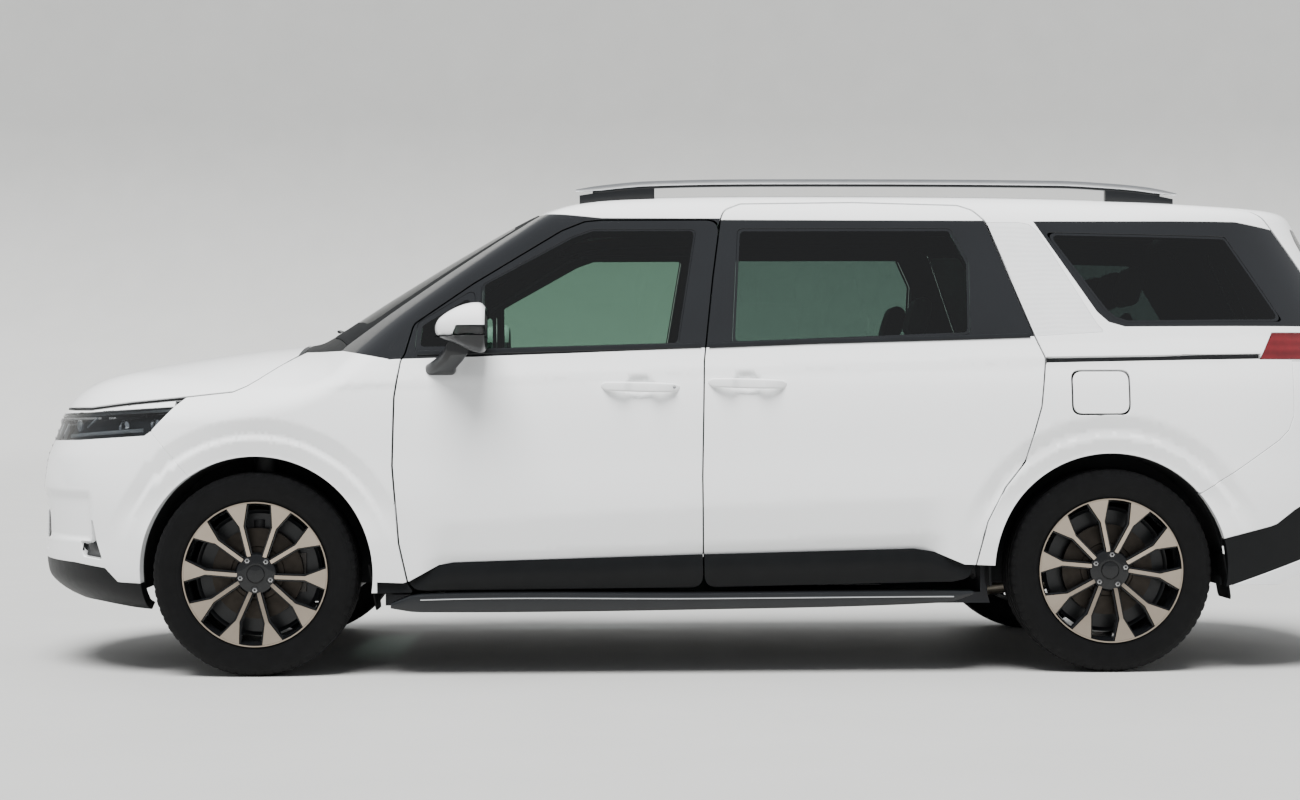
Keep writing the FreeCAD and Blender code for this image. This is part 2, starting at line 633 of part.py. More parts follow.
def stub():
    """Axle stub that the hub turns on, in the wheel's own frame."""
    back = WHEEL_FACE - SPOKE_DEPTH
    return across(HUB_BORE - RUNNING_CLEARANCE, 0, -KINGPIN_INSET, back - RUNNING_CLEARANCE, 0)


def caliper():
    """Brake caliper with the bracket that reaches to the stub."""
    back = WHEEL_FACE - SPOKE_DEPTH
    inner = back - DISC_THICKNESS - CALIPER_GAP
    body = block(-DISC_RADIUS - CALIPER_GAP, -DISC_RADIUS + CALIPER_LENGTH, inner - SPOKE_DEPTH, inner,
                 -CALIPER_HEIGHT / 2, CALIPER_HEIGHT / 2)
    bracket = block(-DISC_RADIUS, 0, inner - SPOKE_DEPTH, inner, -BRACKET_HEIGHT / 2, BRACKET_HEIGHT / 2)
    return body.fuse(bracket)


def knuckle():
    pin_y = HALF_TRACK - KINGPIN_INSET
    pin = Part.makeCylinder(KINGPIN_RADIUS, KINGPIN_TOP - KINGPIN_BOTTOM, V(FRONT_AXLE_X, pin_y, KINGPIN_BOTTOM))
    upright = Part.makeCylinder(UPRIGHT_RADIUS, KINGPIN_TOP - KINGPIN_BOTTOM - EYE_HEIGHT - EYE_HEIGHT,
                                V(FRONT_AXLE_X, pin_y - UPRIGHT_RADIUS / 2, KINGPIN_BOTTOM + EYE_HEIGHT))
    axle = stub()
    axle.translate(V(FRONT_AXLE_X, HALF_TRACK, AXLE_HEIGHT))
    brake = caliper()
    brake.translate(V(FRONT_AXLE_X, HALF_TRACK, AXLE_HEIGHT))
    return joined([pin, upright, axle, brake])


def eye(z):
    pin_y = HALF_TRACK - KINGPIN_INSET
    ring = Part.makeCylinder(EYE_RADIUS, EYE_HEIGHT - RUNNING_CLEARANCE, V(FRONT_AXLE_X, pin_y, z))
    return ring, Part.makeCylinder(KINGPIN_RADIUS + RUNNING_CLEARANCE, EYE_HEIGHT, V(FRONT_AXLE_X, pin_y, z))


ARM_WIDTH = 54.0
SUBFRAME_HALF = 520.0
SUBFRAME_BAR = 60.0
STRUT_RADIUS = 48.0
STRUT_Y = 650.0


def front_suspension():
    """Subframe, lower arms and struts, fixed to the body."""
    pin_y = HALF_TRACK - KINGPIN_INSET
    low_ring, low_hole = eye(KINGPIN_BOTTOM)
    top_z = KINGPIN_TOP - EYE_HEIGHT + RUNNING_CLEARANCE
    top_ring, top_hole = eye(top_z)
    arm = block(FRONT_AXLE_X - ARM_WIDTH / 2, FRONT_AXLE_X + ARM_WIDTH / 2, SUBFRAME_HALF - SUBFRAME_BAR, pin_y,
                KINGPIN_BOTTOM, KINGPIN_BOTTOM + EYE_HEIGHT - RUNNING_CLEARANCE)
    link = block(FRONT_AXLE_X - ARM_WIDTH / 2, FRONT_AXLE_X + ARM_WIDTH / 2, STRUT_Y, pin_y,
                 top_z, top_z + EYE_HEIGHT - RUNNING_CLEARANCE)
    strut_top = AXLE_HEIGHT + ARCH_RADIUS
    strut = Part.makeCylinder(STRUT_RADIUS, strut_top - top_z, V(FRONT_AXLE_X, STRUT_Y, top_z))
    strut = strut.common(across(ARCH_RADIUS, FRONT_AXLE_X, 0, HALF_WIDTH, AXLE_HEIGHT))
    half = joined([low_ring, top_ring, arm, link, strut]).cut(Part.makeCompound([low_hole, top_hole]))
    frame = block(FRONT_AXLE_X - SUBFRAME_HALF / 2, FRONT_AXLE_X + SUBFRAME_HALF / 2, -SUBFRAME_HALF, SUBFRAME_HALF,
                  KINGPIN_BOTTOM, KINGPIN_BOTTOM + SUBFRAME_BAR)
    inner = block(FRONT_AXLE_X - SUBFRAME_HALF / 2 + SUBFRAME_BAR, FRONT_AXLE_X + SUBFRAME_HALF / 2 - SUBFRAME_BAR,
                  -SUBFRAME_HALF + SUBFRAME_BAR, SUBFRAME_HALF - SUBFRAME_BAR, 0, HEIGHT)
    posts = []
    for side in (-1, 1):
        for end in (-1, 1):
            x = FRONT_AXLE_X + end * (SUBFRAME_HALF - SUBFRAME_BAR) / 2
            y = side * (SUBFRAME_HALF - SUBFRAME_BAR / 2)
            posts.append(block(x - SUBFRAME_BAR / 2, x + SUBFRAME_BAR / 2, y - SUBFRAME_BAR / 2,
                               y + SUBFRAME_BAR / 2, KINGPIN_BOTTOM, RAIL_BOTTOM))
    return joined([half, right_of(half), frame.cut(inner)] + posts)


BEAM_RADIUS = 38.0
TRAILING_Y = 560.0


def rear_axle():
    """Twist beam with trailing arms and hub stubs."""
    reach = HALF_TRACK + WHEEL_FACE - SPOKE_DEPTH - DISC_THICKNESS - CALIPER_GAP
    beam = across(BEAM_RADIUS, REAR_AXLE_X, -reach, reach, AXLE_HEIGHT)
    pieces = [beam]
    for side in (-1, 1):
        y = side * TRAILING_Y
        front = STEP_X - FLOOR_THICKNESS
        pieces.append(block(REAR_AXLE_X, front, y - BEAM_RADIUS, y + BEAM_RADIUS,
                            AXLE_HEIGHT - BEAM_RADIUS, AXLE_HEIGHT + BEAM_RADIUS))
        pieces.append(block(REAR_AXLE_X + BEAM_RADIUS, REAR_AXLE_X + BEAM_RADIUS * 3, y - BEAM_RADIUS,
                            y + BEAM_RADIUS, AXLE_HEIGHT, LOAD_FLOOR))
        pieces.append(at_wheel(stub(), REAR_AXLE_X, side))
        pieces.append(at_wheel(caliper(), REAR_AXLE_X, side))
    return joined(pieces)


# Underbody: floor, firewall, front rails, wheel houses
FLOOR_THICKNESS = 40.0
FLOOR_BOTTOM = 240.0
LOAD_FLOOR = 440.0
FIREWALL_X = 1190.0
FIREWALL_THICKNESS = 20.0
FIREWALL_TOP_SHARE = 0.62
RAIL_WIDTH = 60.0
RAIL_BOTTOM = 420.0
RAIL_HEIGHT = 120.0
FRONT_HOUSE_INSIDE = 552.0
REAR_HOUSE_INSIDE = 705.0
LINER_THICKNESS = 8.0
HOUSE_DROP = 60.0
AXLE_ROOM = 45.0
RADIATOR_SETBACK = 190.0
RADIATOR_BOTTOM = 300.0
RADIATOR_TOP = 900.0
STOP_RADIUS = 14.0
STOP_Y = 440.0
LATCH_TOP = 700.0
STEP_X_SHARE = 0.855
STEP_X = FRONT_AXLE_X - STEP_X_SHARE * WHEELBASE


def wheel_house(axle_x, inside, depth):
    """Arched liner over a wheel with its flat inner wall, out to the body panel."""
    outer = across(ARCH_RADIUS + LINER_THICKNESS, axle_x, inside, HALF_WIDTH, AXLE_HEIGHT)
    room = across(ARCH_RADIUS, axle_x, inside + LINER_THICKNESS, HALF_WIDTH, AXLE_HEIGHT)
    reach = ARCH_RADIUS + OVERRUN
    below = block(axle_x - reach, axle_x + reach, 0, HALF_WIDTH, -HEIGHT, AXLE_HEIGHT - HOUSE_DROP)
    notch = BEAM_RADIUS + AXLE_ROOM
    slot = block(axle_x - notch, axle_x + notch, 0, HALF_WIDTH, 0, AXLE_HEIGHT + notch)
    return outer.cut(room).cut(below).cut(slot).common(skin(depth + RUNNING_CLEARANCE))


def front_frame():
    """Radiator frame with the two stops that the bonnet rests on, front rails and firewall."""
    front = FRONT_AXLE_X + ARCH_RADIUS + RADIATOR_SETBACK
    high = RADIATOR_TOP
    pieces = [block(front, front + RAIL_WIDTH, -FRONT_HOUSE_INSIDE, FRONT_HOUSE_INSIDE, RADIATOR_BOTTOM, high)]
    for side in (-1, 1):
        pieces.append(rod(STOP_RADIUS, V(front + RAIL_WIDTH / 2, side * STOP_Y, high - RAIL_WIDTH),
                          V(front + RAIL_WIDTH / 2, side * STOP_Y, HEIGHT)))
    ahead = joined(pieces).common(skin(BONNET_THICKNESS + RUNNING_CLEARANCE))
    wall_rear = FIREWALL_X - FIREWALL_THICKNESS
    pieces = [ahead, block(wall_rear, FIREWALL_X, -SILL_INSIDE, SILL_INSIDE, cabin_floor(),
                           FIREWALL_TOP_SHARE * HEIGHT)]
    for side in (-1, 1):
        outside = side * (FRONT_HOUSE_INSIDE - RUNNING_CLEARANCE)
        inside = outside - side * RAIL_WIDTH
        pieces.append(block(wall_rear, front, min(inside, outside), max(inside, outside), RAIL_BOTTOM,
                            RAIL_BOTTOM + RAIL_HEIGHT))
    return joined(pieces)


def load_room():
    """Inside of the car ahead of the tailgate, which the load floor and its panel end at."""
    return skin(TAILGATE_THICKNESS + RUNNING_CLEARANCE)


def floor_pan():
    rear_x = REAR_AXLE_X - REAR_OVERHANG
    house = REAR_HOUSE_INSIDE - RUNNING_CLEARANCE
    floor = block(STEP_X, FIREWALL_X, -SILL_INSIDE, SILL_INSIDE, FLOOR_BOTTOM, cabin_floor())
    riser = block(STEP_X - FLOOR_THICKNESS, STEP_X, -SILL_INSIDE, SILL_INSIDE, FLOOR_BOTTOM,
                  LOAD_FLOOR + FLOOR_THICKNESS)
    load = block(rear_x, STEP_X, -house, house, LOAD_FLOOR, LOAD_FLOOR + FLOOR_THICKNESS)
    latch_panel = block(rear_x, rear_x + TAILGATE_THICKNESS + FLOOR_THICKNESS, -house, house, LOAD_FLOOR,
                        LATCH_TOP)
    tail = load.fuse(latch_panel).common(load_room())
    houses = Part.makeCompound([arch_outside(), right_of(arch_outside())])
    return joined([floor, riser, tail]).cut(houses)


def arch_outside():
    """Room of the rear wheel house, which the floor stops at."""
    return across(ARCH_RADIUS + LINER_THICKNESS + RUNNING_CLEARANCE, REAR_AXLE_X,
                  REAR_HOUSE_INSIDE - RUNNING_CLEARANCE, HALF_WIDTH, AXLE_HEIGHT)


# Engine, seats, dashboard and steering wheel
ENGINE_LENGTH = 620.0
ENGINE_WIDTH = 820.0
ENGINE_HEIGHT = 560.0
ENGINE_SHIFT = 20.0


def engine():
    x = FRONT_AXLE_X + ENGINE_SHIFT
    low = KINGPIN_BOTTOM + SUBFRAME_BAR
    return block(x - ENGINE_LENGTH / 2, x + ENGINE_LENGTH / 2, -ENGINE_WIDTH / 2, ENGINE_WIDTH / 2, low,
                 low + ENGINE_HEIGHT)


SEAT_DEPTH = 520.0
SEAT_HEIGHT = 330.0
REAR_SEAT_HEIGHT = 270.0
CUSHION = 130.0
BACK_HEIGHT = 640.0
BACK_THICKNESS = 120.0
BACK_LEAN = 190.0
HEADREST_HEIGHT = 170.0
HEADREST_WIDTH = 270.0
SEAT_CORNER = 35.0
PLINTH_INSET = 60.0


def seat(front_x, floor_z, middle_y, width, height):
    low = floor_z + height - CUSHION
    top = floor_z + height
    rear_x = front_x - SEAT_DEPTH
    outline = [(front_x, low), (front_x, top), (rear_x + BACK_THICKNESS, top),
               (rear_x + BACK_THICKNESS - BACK_LEAN, top + BACK_HEIGHT), (rear_x - BACK_LEAN, top + BACK_HEIGHT),
               (rear_x, low)]
    body = side_prism(outline, SEAT_CORNER, middle_y - width / 2, middle_y + width / 2)
    plinth = block(rear_x + PLINTH_INSET, front_x - PLINTH_INSET, middle_y - width / 2 + PLINTH_INSET,
                   middle_y + width / 2 - PLINTH_INSET, floor_z, low)
    pieces = [body, plinth]
    count = max(1, round(width / (2 * HEADREST_WIDTH)))
    for i in range(count):
        y = middle_y - width / 2 + width * (i + 1 / 2) / count
        head = top + BACK_HEIGHT
        pieces.append(block(rear_x - BACK_LEAN, rear_x - BACK_LEAN + BACK_THICKNESS, y - HEADREST_WIDTH / 2,
                            y + HEADREST_WIDTH / 2, head, head + HEADREST_HEIGHT))
    return joined(pieces)


SEAT_WIDTH = 520.0
SEAT_MIDDLE = 400.0
BENCH_WIDTH = 1220.0
front_seat_share = 0.405
middle_seat_share = 0.665
rear_seat_share = 0.935


def cabin_floor():
    return FLOOR_BOTTOM + FLOOR_THICKNESS


dash_shares = ((0.150, 0.42), (0.150, 0.60), (0.205, 0.605), (0.240, 0.575), (0.235, 0.50), (0.190, 0.42))
COLUMN_RADIUS = 22.0
COLUMN_LENGTH = 190.0
SPINDLE_RADIUS = 11.0
WHEEL_RIM_RADIUS = 182.0
WHEEL_GRIP = 15.0
WHEEL_TILT = 24.0
STEERING_Y = 400.0
steering_share = (0.292, 0.535)


def steering_axis():
    """Axis of the steering column, pointing forward and down."""
    tilt = math.radians(WHEEL_TILT)
    return V(math.cos(tilt), 0, -math.sin(tilt))


def steering_centre():
    x, z = side_point(steering_share)
    return V(x, STEERING_Y, z)


def dashboard():
    front = FIREWALL_X - FIREWALL_THICKNESS
    outline = [(front, z) if x > front else (x, z) for x, z in side_points(dash_shares)]
    half = SILL_INSIDE - RUNNING_CLEARANCE
    body = side_prism(outline, SEAT_CORNER, -half, half)
    start = steering_centre() + steering_axis() * (WHEEL_GRIP + PANEL_GAP)
    column = rod(COLUMN_RADIUS, start, start + steering_axis() * COLUMN_LENGTH)
    spindle = rod(SPINDLE_RADIUS, steering_centre(), start)
    return joined([body, column, spindle])


def steering_wheel():
    centre = steering_centre()
    axis = steering_axis()
    rim = Part.makeTorus(WHEEL_RIM_RADIUS, WHEEL_GRIP, centre, axis)
    hub = rod(COLUMN_RADIUS + COLUMN_RADIUS, centre - axis * WHEEL_GRIP, centre + axis * WHEEL_GRIP)
    pieces = [rim, hub]
    for angle in (0, 180, 270):
        direction = FreeCAD.Rotation(axis, angle).multVec(ALONG_Y)
        pieces.append(rod(WHEEL_GRIP - PANEL_GAP, centre, centre + direction * WHEEL_RIM_RADIUS))
    bore = rod(SPINDLE_RADIUS + RUNNING_CLEARANCE, centre - axis * RUNNING_CLEARANCE, centre + axis * OVERRUN)
    return joined(pieces).cut(bore)


# Running boards and roof rails
BOARD_OUTSIDE = 985.0
board_shares = ((0.1524, 0.1398), (0.193, 0.1256), (0.5226, 0.1291), (0.8086, 0.141), (0.8407, 0.1613),
                (0.8350, 0.168), (0.20, 0.163), (0.178, 0.163))


def running_board():
    return side_prism(side_points(board_shares), PANEL_CORNER, SILL_OUTSIDE, BOARD_OUTSIDE)


RAIL_Y = 700.0
ROOF_RAIL_WIDTH = 34.0
ROOF_RAIL_HEIGHT = 20.0
RAIL_FOOT = 260.0
rail_span_shares = (0.372, 1.10)
rail_top_shares = ((0.372, 0.9800), (0.46, 0.9960), (0.60, 1.0), (0.95, 0.9960), (1.05, 0.9860), (1.10, 0.9700))


def roof_rail():
    """Long bar on two feet, over an open gap."""
    top = [side_point(share) for share in rail_top_shares]
    bottom = [(x, z - ROOF_RAIL_HEIGHT) for x, z in reversed(top)]
    bar = side_prism(top + bottom, 0, RAIL_Y - ROOF_RAIL_WIDTH / 2, RAIL_Y + ROOF_RAIL_WIDTH / 2)
    front_x = FRONT_AXLE_X - rail_span_shares[0] * WHEELBASE
    rear_x = FRONT_AXLE_X - rail_span_shares[1] * WHEELBASE
    pieces = [bar]
    for low_x in (front_x - RAIL_FOOT, rear_x):
        foot = block(low_x, low_x + RAIL_FOOT, RAIL_Y - ROOF_RAIL_WIDTH / 2, RAIL_Y + ROOF_RAIL_WIDTH / 2, 0,
                     HEIGHT)
        under = side_prism(top + [(top[-1][0], HEIGHT / 2), (top[0][0], HEIGHT / 2)], 0, 0, HALF_WIDTH)
        pieces.append(foot.common(under).cut(skin(0)))
    return joined([piece.Solids[0] for piece in pieces])


# Outer panels that cover the front and the rear
GRILLE_BAR = 14.0
GRILLE_BAR_DEPTH = 30.0
grille_shares = ((0.0, 0.365), (0.50, 0.365), (0.585, 0.40), (0.60, 0.515), (0.0, 0.515))
GRILLE_BARS = 7
GRILLE_POSTS = 9
COWL_DEPTH = 20.0
cowl_shares = ((0.0394, 0.0), (0.0394, 0.84), (0.062, 0.84), (0.100, 0.735), (0.100, 0.0))
BONNET_THICKNESS = 30.0


def largest(shape):
    return max(shape.Solids, key=lambda solid: solid.Volume)


def fender():
    panel = side_prism(side_points(fender_shares)).cut(arch(FRONT_AXLE_X))
    panel = panel.cut(top_prism(plan_points(windscreen_shares)))
    panel = panel.cut(top_prism(plan_points(cowl_shares)))
    return largest(wall(panel, 0, OUTER_PANEL))


def bonnet():
    outline = grown(side_points(bonnet_shares), -PANEL_GAP)
    return largest(wall(side_prism(outline, 0, -HALF_WIDTH, HALF_WIDTH), 0, BONNET_THICKNESS))


def grille_prism():
    return end_prism(end_points(grille_shares), PANEL_CORNER, FRONT_AXLE_X, LENGTH)


def front_bumper():
    panel = side_prism(side_points(front_bumper_shares), 0, -HALF_WIDTH, HALF_WIDTH)
    lamp = side_prism(side_points(lamp_shares), 0, -HALF_WIDTH, HALF_WIDTH)
    wheels = Part.makeCompound([arch(FRONT_AXLE_X), right_of(arch(FRONT_AXLE_X))])
    panel = panel.cut(lamp).cut(wheels).cut(grille_prism())
    return largest(wall(panel, 0, BUMPER_THICKNESS))


def headlamps():
    panel = side_prism(side_points(lamp_shares)).cut(grille_prism())
    return both_sides(largest(wall(panel, 0, LAMP_DEPTH)))


def grille():
    """Frame with crossing bars that follow the nose."""
    outline = end_points(grille_shares)
    whole = end_prism(outline, PANEL_CORNER, FRONT_AXLE_X, LENGTH)
    window = end_prism(grown(outline, -GRILLE_BAR), PANEL_CORNER, FRONT_AXLE_X, LENGTH)
    pieces = [whole.cut(window)]
    low = HEIGHT * grille_shares[0][1]
    high = HEIGHT * grille_shares[-1][1]
    wide = HALF_WIDTH * grille_shares[3][0]
    for i in range(1, GRILLE_BARS):
        z = low + (high - low) * i / GRILLE_BARS
        pieces.append(block(FRONT_AXLE_X, LENGTH, -wide, wide, z - GRILLE_BAR / 2, z + GRILLE_BAR / 2))
    for i in range(1, GRILLE_POSTS):
        y = wide * (2 * i / GRILLE_POSTS - 1)
        pieces.append(block(FRONT_AXLE_X, LENGTH, y - GRILLE_BAR / 2, y + GRILLE_BAR / 2, low, high))
    lattice = joined(pieces).common(whole)
    return wall(lattice, 0, GRILLE_BAR_DEPTH)


def cowl():
    panel = top_prism(plan_points(cowl_shares))
    panel = panel.cut(side_prism(side_points(bonnet_shares), 0, -HALF_WIDTH, HALF_WIDTH))
    panel = panel.cut(top_prism(plan_points(windscreen_shares)))
    return largest(wall(panel, 0, COWL_DEPTH))


def windscreen():
    return wall(top_prism(plan_points(windscreen_shares)), GLASS_INSET, GLASS_INSET + GLASS_THICKNESS)


def roof_panel():
    panel = top_prism(plan_points(roof_shares), 0, HEIGHT * ROOF_CUT_SHARE)
    return largest(wall(panel, 0, ROOF_THICKNESS).cut(tailgate_prism(PANEL_GAP)))


def rear_bumper():
    panel = side_prism(side_points(rear_bumper_shares), 0, -HALF_WIDTH, HALF_WIDTH)
    wheels = Part.makeCompound([arch(REAR_AXLE_X), right_of(arch(REAR_AXLE_X))])
    panel = panel.cut(wheels).cut(tailgate_prism(PANEL_GAP / 2))
    return largest(wall(panel, 0, BUMPER_THICKNESS))


def tail_lamps():
    panel = side_prism(side_points(tail_lamp_shares)).cut(tailgate_prism(PANEL_GAP / 2))
    return both_sides(largest(wall(panel, 0, LAMP_DEPTH)))


def tailgate():
    door = wall(tailgate_prism(-PANEL_GAP / 2), 0, TAILGATE_THICKNESS)
    return largest(door.cut(tailgate_window()))


def tailgate_window():
    return end_prism(end_points(tailgate_glass_shares), GLASS_CORNER, -LENGTH, REAR_AXLE_X - OVERRUN)


def tailgate_glass():
    return largest(wall(tailgate_window(), GLASS_INSET, GLASS_INSET + GLASS_THICKNESS))


def fuel_flap():
    outline = grown(side_points(fuel_flap_shares), -FLAP_GAP / 2)
    return largest(wall(side_prism(outline, FLAP_CORNER), 0, FLAP_THICKNESS))


# Exhaust: tail pipe and silencer under the load floor
SILENCER_RADIUS = 90.0
SILENCER_LENGTH = 460.0
PIPE_RADIUS = 28.0
EXHAUST_Y = -380.0
EXHAUST_Z = 330.0
EXHAUST_FRONT = 1050.0
EXHAUST_INBOARD = -120.0
PIPE_HEIGHT = 205.0
HANGER_RADIUS = 8.0


def exhaust():
    rear = REAR_AXLE_X - REAR_OVERHANG + OVERRUN
    silencer = rod(SILENCER_RADIUS, V(rear, EXHAUST_Y, EXHAUST_Z), V(rear + SILENCER_LENGTH, EXHAUST_Y, EXHAUST_Z))
    route = [V(rear + SILENCER_LENGTH / 2, EXHAUST_Y, EXHAUST_Z),
             V(REAR_AXLE_X - DISC_RADIUS - DISC_RADIUS, EXHAUST_Y, EXHAUST_Z),
             V(REAR_AXLE_X, EXHAUST_Y, PIPE_HEIGHT + PIPE_RADIUS),
             V(STEP_X, EXHAUST_INBOARD, PIPE_HEIGHT),
             V(EXHAUST_FRONT, EXHAUST_INBOARD, PIPE_HEIGHT)]
    pieces = [silencer]
    for start, end in zip(route, route[1:]):
        pieces.append(rod(PIPE_RADIUS, start, end))
        pieces.append(Part.makeSphere(PIPE_RADIUS + RUNNING_CLEARANCE, end))
    hanger = V(rear + SILENCER_LENGTH / 2, EXHAUST_Y, EXHAUST_Z)
    pieces.append(rod(HANGER_RADIUS, hanger, V(hanger.x, hanger.y, LOAD_FLOOR)))
    front = V(EXHAUST_FRONT / 2, EXHAUST_INBOARD, PIPE_HEIGHT)
    pieces.append(rod(HANGER_RADIUS, front, V(front.x, front.y, FLOOR_BOTTOM)))
    return joined(pieces)


def save_panels():
    door = front_door()
    slider = sliding_door()
    save("front_door_left", door)
    save("front_door_right", right_of(door))
    save("sliding_door_left", slider)
    save("sliding_door_right", right_of(slider))
    glass = Part.makeCompound([pane(vent_glass_shares), pane(front_glass_shares)])
    save("front_door_glass_left", glass)
    save("front_door_glass_right", right_of(glass))
    fixed = Part.makeCompound([pane(sliding_glass_shares), pane(quarter_glass_shares)])
    save("side_glass", both_sides(fixed))
    housing = largest(mirror().cut(skin(0)))
    save("mirror_left", housing)
    save("mirror_right", right_of(housing))
    side = body_side()
    save("body_side_left", side.cut(fuel_pocket()))
    save("body_side_right", right_of(side))
    wing = fender()
    save("fender_left", wing)
    save("fender_right", right_of(wing))
    save("bonnet", bonnet())
    save("front_bumper", front_bumper())
    save("headlamps", headlamps())
    save("grille", grille())
    save("cowl", cowl())
    save("windscreen", windscreen())
    save("roof_panel", roof_panel())
    save("rear_bumper", rear_bumper())
    save("tail_lamps", tail_lamps())
    save("tailgate", tailgate())
    save("tailgate_glass", tailgate_glass())
    save("fuel_flap", fuel_flap())
    save("running_boards", both_sides(running_board()))
    save("roof_rails", both_sides(roof_rail()))


def save_running_gear():
    front = wheel(FRONT_SPOKE_TURN)
    rear = wheel(REAR_SPOKE_TURN)
    rubber = tyre()
    for name, shape, axle_x in (("front", front, FRONT_AXLE_X), ("rear", rear, REAR_AXLE_X)):
        for hand, side in (("left", 1), ("right", -1)):
            save("wheel_" + name + "_" + hand, at_wheel(shape, axle_x, side))
            save("tyre_" + name + "_" + hand, at_wheel(rubber, axle_x, side))
    upright = knuckle()
    save("knuckle_left", upright)
    save("knuckle_right", right_of(upright))
    save("front_suspension", front_suspension())
    save("rear_axle", rear_axle())
    save("floor_pan", floor_pan())
    save("front_frame", front_frame())
    save("front_wheel_houses", both_sides(wheel_house(FRONT_AXLE_X, FRONT_HOUSE_INSIDE, BUMPER_THICKNESS)))
    save("rear_wheel_houses", both_sides(wheel_house(REAR_AXLE_X, REAR_HOUSE_INSIDE, DOOR_THICKNESS)))
    save("engine", engine())
    save("exhaust", exhaust())


def save_cabin():
    rows = ((front_seat_share, cabin_floor()), (middle_seat_share, cabin_floor()))
    names = ("front_seats", "middle_seats")
    for name, (share, floor_z) in zip(names, rows):
        x = FRONT_AXLE_X - share * WHEELBASE + SEAT_DEPTH / 2
        save(name, both_sides(seat(x, floor_z, SEAT_MIDDLE, SEAT_WIDTH, SEAT_HEIGHT)))
    x = FRONT_AXLE_X - rear_seat_share * WHEELBASE + SEAT_DEPTH / 2
    save("rear_bench", seat(x, LOAD_FLOOR + FLOOR_THICKNESS, 0, BENCH_WIDTH, REAR_SEAT_HEIGHT))
    save("dashboard", dashboard())
    save("steering_wheel", steering_wheel())


def main():
    os.makedirs("parts", exist_ok=True)
    save_panels()
    save_running_gear()
    save_cabin()


main()
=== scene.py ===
import bpy
import math
import numpy as np
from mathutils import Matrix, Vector, geometry, kdtree


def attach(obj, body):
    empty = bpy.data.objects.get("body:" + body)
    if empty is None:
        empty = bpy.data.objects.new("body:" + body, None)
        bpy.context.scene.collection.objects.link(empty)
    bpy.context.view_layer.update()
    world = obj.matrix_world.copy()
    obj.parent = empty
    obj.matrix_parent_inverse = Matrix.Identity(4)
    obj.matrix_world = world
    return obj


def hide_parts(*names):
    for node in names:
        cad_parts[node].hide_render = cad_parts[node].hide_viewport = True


# White minivan. Metres, +X forward, +Y to its left, +Z up.
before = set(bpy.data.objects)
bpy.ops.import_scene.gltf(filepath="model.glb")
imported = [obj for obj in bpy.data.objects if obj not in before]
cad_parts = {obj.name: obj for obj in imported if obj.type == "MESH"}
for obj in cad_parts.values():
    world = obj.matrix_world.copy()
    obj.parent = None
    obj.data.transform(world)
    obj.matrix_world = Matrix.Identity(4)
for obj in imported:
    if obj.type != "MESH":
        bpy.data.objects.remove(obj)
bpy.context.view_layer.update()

# Car sizes in metres, the same as those the solids were made from
car = {
    "length": 5.155,
    "width": 1.995,
    "height": 1.812,
    "wheelbase": 3.090,
    "frontOverhang": 0.935,
    "track": 1.720,
    "tyreDiameter": 0.736,
    "panelGap": 0.005,
    "archRadius": 0.424,
}
carHeight = car["height"]
wheelbase = car["wheelbase"]
halfWidth = car["width"] / 2
frontAxle = car["length"] / 2 - car["frontOverhang"]
rearAxle = frontAxle - wheelbase
rearOverhang = car["length"] - car["frontOverhang"] - wheelbase
axleHeight = car["tyreDiameter"] / 2
halfTrack = car["track"] / 2
otherSide = np.array([1, -1, 1])
upward = np.array([0, 0, 1])


# Materials: colours are written in hex and turned to linear here
def toLinear(hexColour):
    channels = [int(hexColour[i:i + 2], 16) / 255 for i in (1, 3, 5)]
    return [c / 12.92 if c <= 0.04045 else ((c + 0.055) / 1.055) ** 2.4 for c in channels] + [1.0]


def addNode(tree, kind, settings=None, links=None):
    node = tree.nodes.new(kind)
    for key, value in (settings or {}).items():
        if isinstance(key, str) and hasattr(node, key):
            setattr(node, key, value)
        else:
            node.inputs[key].default_value = value
    for key, source in (links or {}).items():
        tree.links.new(source, node.inputs[key])
    return node


def newMaterial(name, hexColour, settings):
    material = bpy.data.materials.new(name)
    material.use_nodes = True
    tree = material.node_tree
    shader = tree.nodes["Principled BSDF"]
    colour = toLinear(hexColour)
    material.diffuse_color = colour
    shader.inputs["Base Color"].default_value = colour
    for key, value in settings.items():
        shader.inputs[key].default_value = value
    return material, tree, shader


# Cloudy change of colour, fine grain and change of roughness. All sizes are in millimetres.
def placeIn(tree):
    return addNode(tree, "ShaderNodeTexCoord").outputs["Object"]


def mottle(tree, shader, first, second, size):
    place = placeIn(tree)
    cloud = addNode(tree, "ShaderNodeTexNoise", {"Scale": 1000 / size, "Detail": 3.0}, {"Vector": place})
    mix = addNode(tree, "ShaderNodeMix", {"data_type": "RGBA"}, {"Factor": cloud.outputs["Fac"]})
    mix.inputs[6].default_value = toLinear(first)
    mix.inputs[7].default_value = toLinear(second)
    tree.links.new(mix.outputs[2], shader.inputs["Base Color"])


def emboss(tree, shader, strength, distance, height, socket="Normal"):
    bump = addNode(tree, "ShaderNodeBump", {"Strength": strength, "Distance": distance}, {"Height": height})
    tree.links.new(bump.outputs["Normal"], shader.inputs[socket])


def grain(tree, shader, size, height, detail=2.0, socket="Normal"):
    place = placeIn(tree)
    speck = addNode(tree, "ShaderNodeTexNoise", {"Scale": 1000 / size, "Detail": detail}, {"Vector": place})
    emboss(tree, shader, 1.0, height / 1000, speck.outputs["Fac"], socket)


